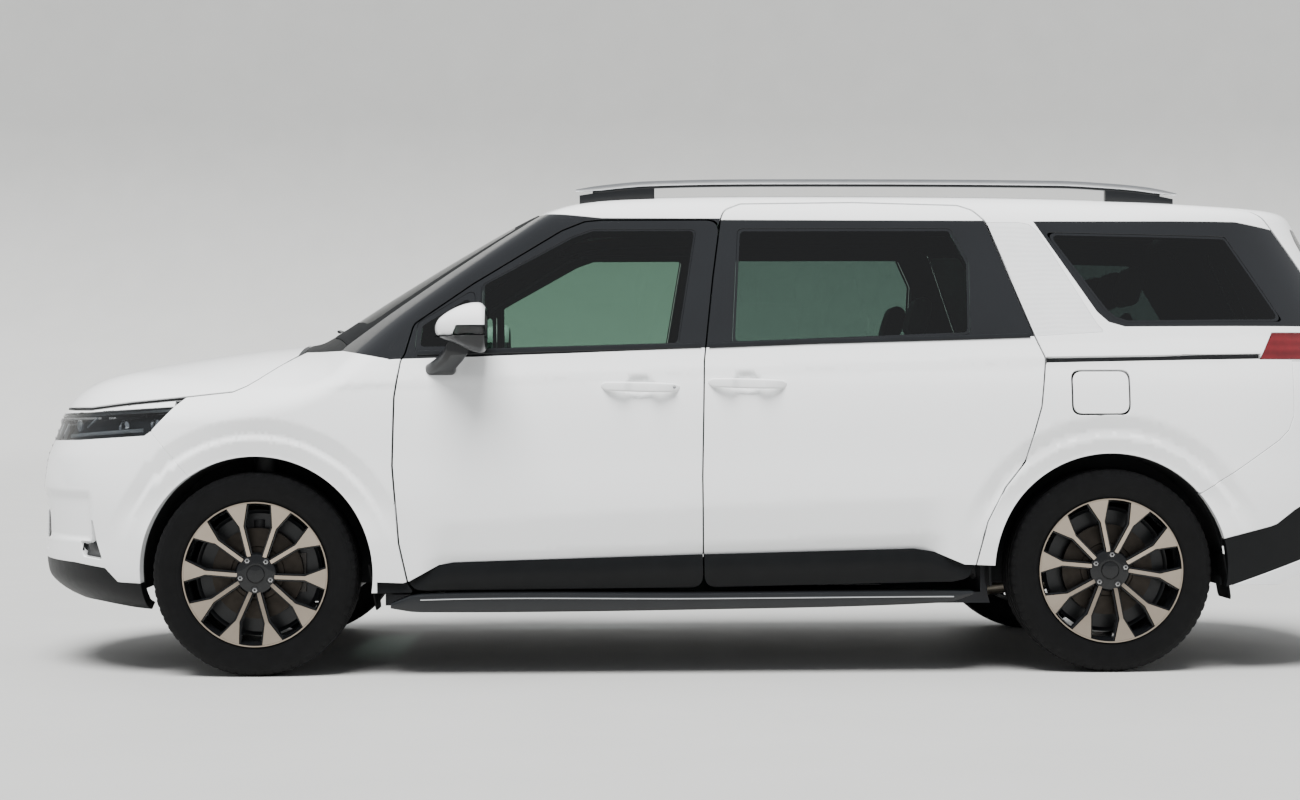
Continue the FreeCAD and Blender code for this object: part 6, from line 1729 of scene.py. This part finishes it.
# Window panes: clear inside a black printed border, on the doors and on the body side
def addPane(name, outlineName, material, body, border, replaces=()):
    shape = sideShape(outlineName, -0.0008, pane["corner"])
    inner = sideShape(outlineName, -border, pane["corner"] * 0.8)
    sheet = cutSheet("side", sideFlat(fromSide(shape, False)), onSide(inner, True, False), 0.024, False)
    clear = formPanel(sheet, keepArea(sheet, seen("side", inner)), -pane["drop"], 0.0002, pane["thick"])
    printed = formPanel(sheet, keepArea(sheet, [], seen("side", inner)), -pane["drop"], 0.0003, pane["thick"])
    printed["kinds"] = [1] * len(printed["faces"])
    addBoth(name, joinForms([clear, printed]), [material, glossBlack], body, replaces)


def addPanes():
    addPane("quarter_light_pane", "quarterLight", greenGlass, "front_door_left", 0.018)
    addPane("drop_glass_pane", "dropGlass", greenGlass, "front_door_left", 0.006, ["front_door_glass_left"])
    addPane("sliding_door_pane", "slidingGlass", smokedGlass, "body", 0.010)
    addPane("rear_quarter_pane", "rearGlass", privacyGlass, "body", 0.009)
    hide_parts("side_glass")


# Seats: padded cushions on a moulded base, with piping along their seams
chair = {
    "floor": 0.284,
    "base": 0.47,
    "long": 0.50,
    "wide": 0.50,
    "thick": 0.115,
    "tall": 0.62,
    "backThick": 0.105,
    "reach": 0.52,
    "lean": math.atan2(0.190, 0.640),
    "slope": math.radians(4),
    "bolster": 0.075,
    "head": (0.155, 0.25, 0.085),
    "voxel": 0.020,
    "headVoxel": 0.015,
    "pressure": 4.0,
    "cap": 0.018,
    "frames": 20,
    "fill": 0.75,
    "out": 0.40,
    "fronts": (("front_seat", 0.651), ("middle_seat", -0.152)),
}


# A soft bar along the first axis: sections of (place, middle, height, wide, thick)
def softBar(sections, steps=6):
    loops = []
    for along, across, up, wide, thick in sections:
        flat = roundedLoop(wide, thick, min(wide, thick) * 0.48, steps)
        loops.append(acrossLoop(flat, along, across, up))
    return loft(loops)


# A pad's block: a middle that swells, and wings along its sides where asked
def padForms(long, wide, thick, wings, rise, narrow):
    def sizes(across, up, width, height, ends):
        rows = []
        for t in np.linspace(0, 1, 11):
            swell = (1 - abs(2 * t - 1) ** ends) ** (1 / ends)
            rows.append((t * long, across * (1 - narrow * t), up, width * (0.86 + 0.14 * swell) * (1 - narrow * t),
                         height * (0.35 + 0.65 * swell)))
        return rows
    forms = [softBar(sizes(0, thick / 2, wide, thick * 0.86, 5))]
    if wings:
        for side in (-1, 1):
            out = side * (wide / 2 - wings / 2)
            forms.append(softBar(sizes(out, thick / 2 + rise, wings, thick + rise, 3)))
    return forms


# Stuffed form: a smaller block is filled from inside until its cover is tight
def paddedMesh(forms, voxel=chair["voxel"]):
    made = joinForms(forms)
    mesh = bpy.data.meshes.new("pad")
    mesh.from_pydata(made["points"].tolist(), [], made["faces"])
    piece = bpy.data.objects.new("pad", mesh)
    bpy.context.scene.collection.objects.link(piece)
    bpy.context.view_layer.objects.active = piece
    piece.select_set(True)
    remesh = piece.modifiers.new("remesh", "REMESH")
    remesh.mode = "VOXEL"
    remesh.voxel_size = voxel
    smooth = piece.modifiers.new("smooth", "SMOOTH")
    smooth.iterations = 3
    for step in ("remesh", "smooth"):
        bpy.ops.object.modifier_apply(modifier=step)
    fillPad(piece)
    divide = piece.modifiers.new("divide", "SUBSURF")
    divide.levels = 1
    bpy.ops.object.modifier_apply(modifier="divide")
    piece.select_set(False)
    points = np.array([v.co[:] for v in piece.data.vertices])
    faces = [tuple(p.vertices) for p in piece.data.polygons]
    bpy.data.objects.remove(piece)
    return points, faces


def fillPad(piece):
    rest = np.array([v.co[:] for v in piece.data.vertices])
    cloth = piece.modifiers.new("cloth", "CLOTH")
    cloth.settings.quality = 4
    cloth.settings.use_pressure = True
    cloth.settings.uniform_pressure_force = chair["pressure"]
    cloth.settings.effector_weights.gravity = 0
    cloth.point_cache.frame_start = 1
    cloth.point_cache.frame_end = chair["frames"]
    scene = bpy.context.scene
    for number in range(1, chair["frames"] + 1):
        scene.frame_set(number)
    shown = piece.evaluated_get(bpy.context.evaluated_depsgraph_get())
    way = np.array([v.co[:] for v in shown.data.vertices]) - rest
    far = np.linalg.norm(way, axis=1, keepdims=True)
    way *= np.minimum(1, chair["cap"] / np.maximum(far, 1e-9))
    piece.modifiers.remove(cloth)
    for vertex, place in zip(piece.data.vertices, rest + way):
        vertex.co = place
    scene.frame_set(1)


# Cushion frames: where the pad starts, and its length, width and thickness directions
def placed(points, start, along, across, up):
    return np.array(start) + points @ np.array([along, across, up], float)


def addPad(name, mesh, wings, wide, frameOf):
    points, faces = mesh
    middle = points[np.array([f[0] for f in faces])]
    line = wide / 2 - wings if wings else 9.0
    kinds = [0 if abs(m[1]) < line and m[2] > 0.05 else 1 for m in middle]
    made = {"points": placed(points, *frameOf), "faces": faces, "normals": None, "kinds": kinds}
    addPiece(name, made, [wovenFabric, seatLeather], "body")


def pipingForm(mesh, line, frameOf, radius=0.0028):
    points = mesh[0]
    tree = kdtree.KDTree(len(points))
    for i, p in enumerate(points):
        tree.insert(p, i)
    tree.balance()
    spots = np.array([tree.find_n(p, 3)[0][0][:] for p in line])
    for _ in range(2):
        spots[1:-1] = (spots[:-2] + 2 * spots[1:-1] + spots[2:]) / 4
    turns = turnsOf(6)
    loops = []
    for i, spot in enumerate(spots):
        way = spots[min(i + 1, len(spots) - 1)] - spots[max(i - 1, 0)]
        way /= max(np.linalg.norm(way), 1e-9)
        first = np.cross(way, (0.0, 0.3, 1.0))
        first /= max(np.linalg.norm(first), 1e-9)
        second = np.cross(way, first)
        loops.append(spot + radius * (np.cos(turns)[:, None] * first + np.sin(turns)[:, None] * second))
    return loft(placed(np.array(loops).reshape(-1, 3), *frameOf).reshape(len(loops), 6, 3))


def seamLines(long, wide, thick, wings):
    line = wide / 2 - wings
    rows = []
    for out in (-line, line):
        rows.append([(t, out, thick + 0.02) for t in np.linspace(0.02 * long, 0.98 * long, 40)])
    for portion in (0.36, 0.68):
        rows.append([(portion * long, y, thick + 0.02) for y in np.linspace(-line, line, 24)])
    return rows


def seatFrames(front, middle, base, lean):
    rear = front - chair["reach"]
    slope = chair["slope"]
    cushion = ((rear + 0.02, middle, base), (math.cos(slope), 0, math.sin(slope)), (0, 1, 0),
               (-math.sin(slope), 0, math.cos(slope)))
    up = (-math.sin(lean), 0, math.cos(lean))
    ahead = (math.cos(lean), 0, math.sin(lean))
    back = ((rear + 0.004, middle, base + 0.125), up, (0, 1, 0), ahead)
    return cushion, back


def addChair(name, front, middle, meshes):
    cushionFrame, backFrame = seatFrames(front, middle, chair["base"], chair["lean"])
    addPad(name + "_cushion", meshes["cushion"], chair["bolster"], chair["wide"], cushionFrame)
    addPad(name + "_backrest", meshes["back"], chair["bolster"], chair["wide"] * 0.98, backFrame)
    headStart = placed(np.array([[chair["tall"] + 0.030, 0, 0.012]]), *backFrame)[0]
    addPad(name + "_headrest", meshes["head"], 0, chair["head"][1], (headStart,) + backFrame[1:])
    lines = []
    for line in seamLines(chair["long"], chair["wide"], chair["thick"], chair["bolster"]):
        lines.append(pipingForm(meshes["cushion"], line, cushionFrame))
    for line in seamLines(chair["tall"], chair["wide"], chair["backThick"], chair["bolster"]):
        lines.append(pipingForm(meshes["back"], line, backFrame))
    addPiece(name + "_piping", joinForms(lines), [seatThread], "body", sharp=40)
    posts = []
    for side in (-0.065, 0.065):
        posts.append(softBar([(chair["tall"] - 0.02, side, 0.05, 0.012, 0.012),
                              (chair["tall"] + 0.05, side, 0.05, 0.012, 0.012)]))
    posts = joinForms(posts)
    posts["points"] = placed(posts["points"], *backFrame)
    addPiece(name + "_headrest_posts", posts, [brightNickel], "body", sharp=40)
    addSeatBase(name, front - chair["reach"], middle)


# Seat base: two floor rails and a moulded skirt with a hinge cover at each side
def addSeatBase(name, rear, middle):
    forms = []
    for y, wide in ((middle - 0.19, 0.05), (middle + 0.19, 0.05)):
        forms.append(softBar([(rear + 0.02, y, chair["floor"] + 0.012, wide, 0.022),
                              (rear + 0.50, y, chair["floor"] + 0.012, wide, 0.022)], 2))
    rails = joinForms(forms)
    addPiece(name + "_rails", rails, [brightNickel], "body", sharp=40)
    skirt = []
    for z, spread, ahead in ((0.300, 0.30, 0.0), (0.36, 0.34, 0.0), (0.42, 0.42, 0.01), (0.462, 0.47, 0.015),
                            (chair["base"] + 0.018, 0.475, 0.018)):
        skirt.append((rear + 0.25 + ahead, middle, z, spread, spread * 0.98, 0.05))
    covers = [stackedForm(skirt, 5)]
    for side in (-1, 1):
        loops = []
        for portion, size in ((0, 0.75), (0.35, 1.0), (1, 0.93)):
            flat = roundedLoop(0.36 * size, 0.11 * size, 0.05, 5)
            y = middle + side * (0.232 + 0.024 * portion)
            loops.append(np.stack([rear + 0.20 + flat[:, 0], np.full(len(flat), y),
                                   0.485 + flat[:, 1] + flat[:, 0] * -0.08], 1))
        covers.append(loft(loops))
    addPiece(name + "_base", joinForms(covers), [cabinPlastic], "body", sharp=35)


def addSeats():
    wide, bolster = chair["wide"], chair["bolster"]
    meshes = {
        "cushion": paddedMesh(padForms(chair["long"], wide - 0.02, chair["thick"], bolster, 0.012, 0.04)),
        "back": paddedMesh(padForms(chair["tall"], wide - 0.02, chair["backThick"], bolster, 0.014, 0.14)),
        "head": paddedMesh(padForms(*chair["head"], 0, 0, 0.10), chair["headVoxel"]),
    }
    for name, front in chair["fronts"]:
        for side, middle in (("left", chair["out"]), ("right", -chair["out"])):
            addChair(name + "_" + side, front, middle, meshes)
            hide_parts(name + "s")
    addBench()


# Rear bench: three places wide, on a moulded plinth
bench = {"long": 0.50, "wide": 1.20, "thick": 0.16, "tall": 0.60, "backThick": 0.11, "bolster": 0.06,
         "voxel": 0.025, "front": -0.987, "base": 0.585, "backBase": 0.735, "headOut": 0.36, "seamOut": 0.20}


def addBench():
    long, wide, tall, bolster = bench["long"], bench["wide"], bench["tall"], bench["bolster"]
    cushionForms = padForms(long, wide - 0.02, bench["thick"], bolster, 0.006, 0.02)
    cushionMesh = paddedMesh(cushionForms, bench["voxel"])
    backMesh = paddedMesh(padForms(tall, wide - 0.02, bench["backThick"], bolster, 0.008, 0.06), bench["voxel"])
    cushionFrame, backFrame = seatFrames(bench["front"], 0, bench["base"], chair["lean"])
    backFrame = ((backFrame[0][0], 0, bench["backBase"]),) + backFrame[1:]
    addPad("rear_bench_cushion", cushionMesh, bolster, wide, cushionFrame)
    addPad("rear_bench_backrest", backMesh, bolster, wide, backFrame)
    headMesh = paddedMesh(padForms(*chair["head"], 0, 0, 0.10), chair["headVoxel"])
    for side, y in (("left", bench["headOut"]), ("middle", 0.0), ("right", -bench["headOut"])):
        start = placed(np.array([[tall + 0.025, y, 0.014]]), *backFrame)[0]
        addPad("rear_bench_headrest_" + side, headMesh, 0, chair["head"][1], (start,) + backFrame[1:])
    seams = []
    for y in (-bench["seamOut"], bench["seamOut"]):
        for mesh, size, frameOf in ((cushionMesh, long, cushionFrame), (backMesh, tall, backFrame)):
            line = [(t, y, 0.20) for t in np.linspace(0.02 * size, 0.98 * size, 40)]
            seams.append(pipingForm(mesh, line, frameOf))
    addPiece("rear_bench_piping", joinForms(seams), [seatThread], "body", sharp=40)
    loops = []
    for x, bottom in ((-1.50, 0.50), (-1.46, 0.482), (-1.05, 0.482), (-1.01, 0.50)):
        loops.append(acrossLoop(roundedLoop(1.16, 0.594 - bottom, 0.02, 4), x, 0, (0.594 + bottom) / 2))
    plinth = addPiece("rear_bench_base", loft(loops), [cabinPlastic], "body", sharp=35)
    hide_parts("rear_bench")


# Dashboard: a padded top that follows the screen, a lower panel, vents, a screen and an instrument hood
dash = {
    "half": 0.785,
    "screenLimit": 1.165,
    "profile": [(0.150, 0.42), (0.150, 0.595), (0.172, 0.606), (0.205, 0.605), (0.232, 0.585), (0.240, 0.572),
                (0.236, 0.54), (0.229, 0.515), (0.235, 0.497), (0.222, 0.455), (0.190, 0.42)],
    "hoodFront": 0.985,
    "hoodLong": 0.145,
    "hoodMiddle": (0.40, 1.082),
    "screens": ((0.824, 0.0, 0.985, 0.26, 0.15), (0.849, 0.40, 1.062, 0.27, 0.055)),
    "vents": (-0.62, -0.22, 0.22, 0.62),
    "stack": ((0.785, 0.93, 0.20), (0.86, 0.885, 0.24), (0.93, 0.872, 0.26), (0.965, 0.88, 0.27)),
}


def addDashboard():
    loops = []
    for y in np.linspace(-1, 1, 41):
        ends = max(0, abs(y) - 0.86) / 0.14
        profile = softened(sidePlaces(dash["profile"]), 0.02, 0.02)
        middle = profile.mean(axis=0)
        flat = middle + (profile - middle) * (1 - 0.12 * ends ** 2)
        flat[:, 0] += -0.035 * abs(y) ** 2.4 + 0.012 * math.cos(y * math.pi * 2)
        ahead = np.minimum(flat[:, 0], dash["screenLimit"])
        loops.append(np.stack([ahead, np.full(len(flat), y * dash["half"]), flat[:, 1]], 1))
    addPiece("dashboard_pad", loft(loops), [softDashSkin], "body", ["dashboard"], sharp=45)
    hood = []
    for t in np.linspace(0, 1, 9):
        size = 0.55 + 0.45 * math.sin(math.pi * (0.15 + 0.7 * t))
        flat = roundedLoop(0.34 * size, 0.075 * size, 0.03, 5)
        x = dash["hoodFront"] - dash["hoodLong"] * t
        hood.append(acrossLoop(flat * np.array([1, 0.8]), x, dash["hoodMiddle"][0],
                               dash["hoodMiddle"][1] + 0.010 * size))
    addPiece("instrument_hood", loft(hood), [softDashSkin], "body", sharp=45)
    forms = []
    for reach, y, z, wide, tall in dash["screens"]:
        loops = []
        for back, size in [(0.02, 1.0), (0.0, 1.0), (-0.004, 0.97)]:
            flat = roundedLoop(wide * size, tall * size, 0.012, 4)
            loops.append(np.stack([reach + back + flat[:, 1] * 0.25, y + flat[:, 0], z + flat[:, 1]], 1))
        forms.append(loft(loops))
    addPiece("dashboard_screens", joinForms(forms), [glossBlack], "body", sharp=35)
    vents = []
    for y in dash["vents"]:
        for row in range(5):
            x, z = 0.842 + 0.004 * row, 0.985 + 0.014 * row
            vents.append(softBar([(x, y, z, 0.13, 0.005), (x + 0.026, y, z, 0.13, 0.005)], 2))
    addPiece("dashboard_vents", joinForms(vents), [satinBlack], "body", sharp=35)
    stack = stackedForm([(reach, 0, z, 0.12, wide, 0.03) for z, reach, wide in dash["stack"]], 4)
    addPiece("dashboard_stack", stack, [cabinPlastic], "body", sharp=35)


# Steering wheel: stitched rim, three flared spokes and a soft hub, on its column
wheelAt = {
    "middle": (0.740, 0.400, 0.969),
    "tilt": math.radians(24),
    "radius": 0.182,
    "grip": 0.0145,
    "spokes": ((math.radians(8), 0.055), (math.radians(172), 0.055), (math.radians(270), 0.085)),
    "hub": ((-0.06, 0.5), (-0.045, 0.8), (-0.01, 1.0), (0.008, 0.98), (0.018, 0.9), (0.022, 0.72)),
    "shroud": ((-0.145, 0.9), (-0.135, 1.0), (-0.075, 1.0), (-0.062, 0.92)),
}


def onWheel(points):
    c, s = math.cos(wheelAt["tilt"]), math.sin(wheelAt["tilt"])
    turned = np.stack([-points[:, 2] * c + points[:, 1] * s, points[:, 0], points[:, 2] * s + points[:, 1] * c], 1)
    return np.array(wheelAt["middle"]) + turned


def addSteeringWheel():
    loops = []
    for t in turnsOf(96):
        wide = wheelAt["grip"] * (1 + 0.13 * math.exp(-((abs(math.sin(t)) - 0.42) / 0.14) ** 2))
        turns = turnsOf(16)
        reach = wheelAt["radius"] + wide * np.cos(turns)
        loops.append(np.stack([reach * math.cos(t), reach * math.sin(t), 1.12 * wide * np.sin(turns)], 1))
    rimForm = loft(loops, closed=True)
    rimForm["points"] = onWheel(rimForm["points"])
    addPiece("steering_wheel_rim", rimForm, [seatLeather], "steering_wheel", ["steering_wheel"])
    forms = []
    for angle, wide in wheelAt["spokes"]:
        along = np.array([math.cos(angle), math.sin(angle), 0])
        side = np.array([-math.sin(angle), math.cos(angle), 0])
        loops = []
        for t in np.linspace(0, 1, 8):
            flat = roundedLoop(wide * (1 - 0.45 * math.sin(math.pi * min(t, 0.95) / 1.1)), 0.014, 0.006, 4)
            spot = along * (0.045 + 0.135 * t) - upward * 0.012 * (1 - t)
            loops.append(spot + flat[:, :1] * side + flat[:, 1:] * upward)
        forms.append(loft(loops))
    spokes = joinForms(forms)
    spokes["points"] = onWheel(spokes["points"])
    addPiece("steering_wheel_spokes", spokes, [satinBlack], "steering_wheel", sharp=40)
    hub = stackedForm([(0, -0.004, z, 0.15 * size, 0.115 * size, 0.04 * size) for z, size in wheelAt["hub"]], 8)
    hub["points"] = onWheel(hub["points"])
    addPiece("steering_wheel_hub", hub, [softDashSkin], "steering_wheel", sharp=40)
    shroud = stackedForm([(0, 0, z, 0.10 * size, 0.11 * size, 0.03) for z, size in wheelAt["shroud"]], 6)
    shroud["points"] = onWheel(shroud["points"])
    addPiece("column_shroud", shroud, [cabinPlastic], "body", sharp=40)


# Woven seat cloth: charcoal, matt, with the threads standing up
def wovenSeatCloth():
    material, tree, shader = newMaterial("woven_charcoal_seat_cloth", "#2E2F32", {
        "Roughness": 0.9, "Sheen Weight": 0.35, "Sheen Roughness": 0.5})
    mottle(tree, shader, "#292A2D", "#36373B", 12)
    place = placeIn(tree)
    threads = {"Scale": 90.0, "Distortion": 0.6, "Detail": 1.0}
    weave = addNode(tree, "ShaderNodeTexWave", threads, {"Vector": place})
    emboss(tree, shader, 1.0, 0.0003, weave.outputs["Fac"])
    return material


# Black leather: soft sheen over small pebbles
def grainedLeather():
    material, tree, shader = newMaterial("grained_black_leather", "#1C1C1E", {"IOR": 1.5})
    mottle(tree, shader, "#1A1A1C", "#232325", 70)
    roughen(tree, shader, 0.38, 0.52, 30)
    place = placeIn(tree)
    pebble = addNode(tree, "ShaderNodeTexVoronoi", {"Scale": 500.0}, {"Vector": place})
    emboss(tree, shader, 1.0, 0.0002, pebble.outputs["Distance"])
    return material


# Thread, soft skins, felt, paint and cast metal, which differ only in these values
def plainFinish(name, first, second, roughness, size, grainSize, grainHeight, metallic=0.0):
    return finished(name, first, {"Metallic": metallic}, (first, second, size),
                    (roughness - 0.06, roughness + 0.06, size / 2), (grainSize, grainHeight, 3.0))


wovenFabric = wovenSeatCloth()
seatLeather = grainedLeather()
seatThread = plainFinish("grey_sewn_piping", "#55565A", "#606166", 0.7, 20, 1.5, 0.05)
softDashSkin = plainFinish("soft_touch_dash_skin", "#232426", "#2A2B2D", 0.62, 120, 1.6, 0.05)

print("panes")
addPanes()
print("cabin")
addSeats()
addDashboard()
addSteeringWheel()


# Underneath, the solids keep their own shape and take a finish
# Rough dark underseal, matt felt, black paint, grey iron, tinted steel and pale sand-cast metal
underseal = plainFinish("sprayed_underseal", "#26272A", "#303135", 0.72, 110, 5.0, 0.25)
linerFelt = plainFinish("pressed_liner_felt", "#141516", "#1D1E20", 0.93, 60, 2.5, 0.30)
paintedSteel = plainFinish("black_painted_steel", "#1E1F21", "#29292B", 0.5, 120, 3.0, 0.05)
castIron = plainFinish("cast_knuckle_iron", "#5A5856", "#6E6A66", 0.6, 60, 2.5, 0.12, 0.9)
exhaustSteel = plainFinish("heat_tinted_exhaust_steel", "#8C857A", "#A59C8E", 0.42, 150, 3.0, 0.03, 1.0)
castAluminium = plainFinish("sand_cast_aluminium", "#9A9B9C", "#A9AAAB", 0.55, 90, 2.0, 0.15, 1.0)
finishes = {
    "floor_pan": underseal, "front_frame": paintedSteel, "front_wheel_houses": linerFelt,
    "rear_wheel_houses": linerFelt, "front_suspension": paintedSteel, "knuckle_left": castIron,
    "knuckle_right": castIron, "rear_axle": paintedSteel, "exhaust": exhaustSteel, "engine": castAluminium,
}


def finishNodes():
    for name, material in finishes.items():
        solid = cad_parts[name]
        for slot in solid.material_slots:
            slot.material = material


print("underneath")
finishNodes()


# Stage: pale floor that runs up behind, large soft lamps, and the camera at the car's left side
studio = {
    "floor": "#A9A9A7",
    "floorFar": 40,
    "floorBend": 8,
    "sky": "#E9ECF0",
    "skyStrength": 0.66,
    "lamps": [("high_soft_lamp", (1.0, 2.9, 8.0), 36, 10.0), ("rear_soft_lamp", (-3.0, -6.0, 5.0), 60, 0.7)],
    "camera": (0.390, 9.485, 0.955),
    "turn": (90.24, 0.19, 178.86),
    "lens": 65.45,
}


# Sealed concrete: pale, even and dull, with faint clouds
def pouredFloor():
    return finished("sealed_pale_concrete", studio["floor"], {"IOR": 1.5}, ("#A6A6A4", "#ADADAB", 700),
                    (0.55, 0.7, 300), (12, 0.05, 3.0))


def buildStage():
    far, bend = studio["floorFar"], studio["floorBend"]
    profile = [(3 * far, 0), (-far, 0)]
    profile += [(-far - bend * math.sin(t), bend - bend * math.cos(t)) for t in np.linspace(0.1, math.pi / 2, 12)]
    profile += [(-far - bend, far)]
    points = [(x, y, z) for y, z in profile for x in (-2 * far, 2 * far)]
    faces = [(2 * i, 2 * i + 1, 2 * i + 3, 2 * i + 2) for i in range(len(profile) - 1)]
    mesh = bpy.data.meshes.new("studio_floor")
    mesh.from_pydata(points, [], faces)
    mesh.polygons.foreach_set("use_smooth", [True] * len(faces))
    mesh.materials.append(pouredFloor())
    floor = bpy.data.objects.new("studio_floor", mesh)
    bpy.context.scene.collection.objects.link(floor)


def addLamp(name, place, angle, strength):
    light = bpy.data.lights.new(name, "SUN")
    light.angle = math.radians(angle)
    light.energy = strength
    lamp = bpy.data.objects.new(name, light)
    lamp.location = place
    lamp.visible_glossy = False
    lamp.rotation_euler = (-Vector(place)).to_track_quat("-Z", "Y").to_euler()
    bpy.context.scene.collection.objects.link(lamp)


def lightStage():
    world = bpy.data.worlds.new("studio")
    bpy.context.scene.world = world
    world.use_nodes = True
    back = world.node_tree.nodes["Background"]
    back.inputs["Color"].default_value = toLinear(studio["sky"])
    back.inputs["Strength"].default_value = studio["skyStrength"]
    for name, place, angle, strength in studio["lamps"]:
        addLamp(name, place, angle, strength)


def placeCamera():
    lens = bpy.data.cameras.new("camera")
    lens.lens = studio["lens"]
    lens.sensor_width = 36
    camera = bpy.data.objects.new("camera", lens)
    camera.location = studio["camera"]
    camera.rotation_euler = [math.radians(a) for a in studio["turn"]]
    bpy.context.scene.collection.objects.link(camera)
    bpy.context.scene.camera = camera


print("stage")
buildStage()
lightStage()
placeCamera()

bpy.context.view_layer.update()
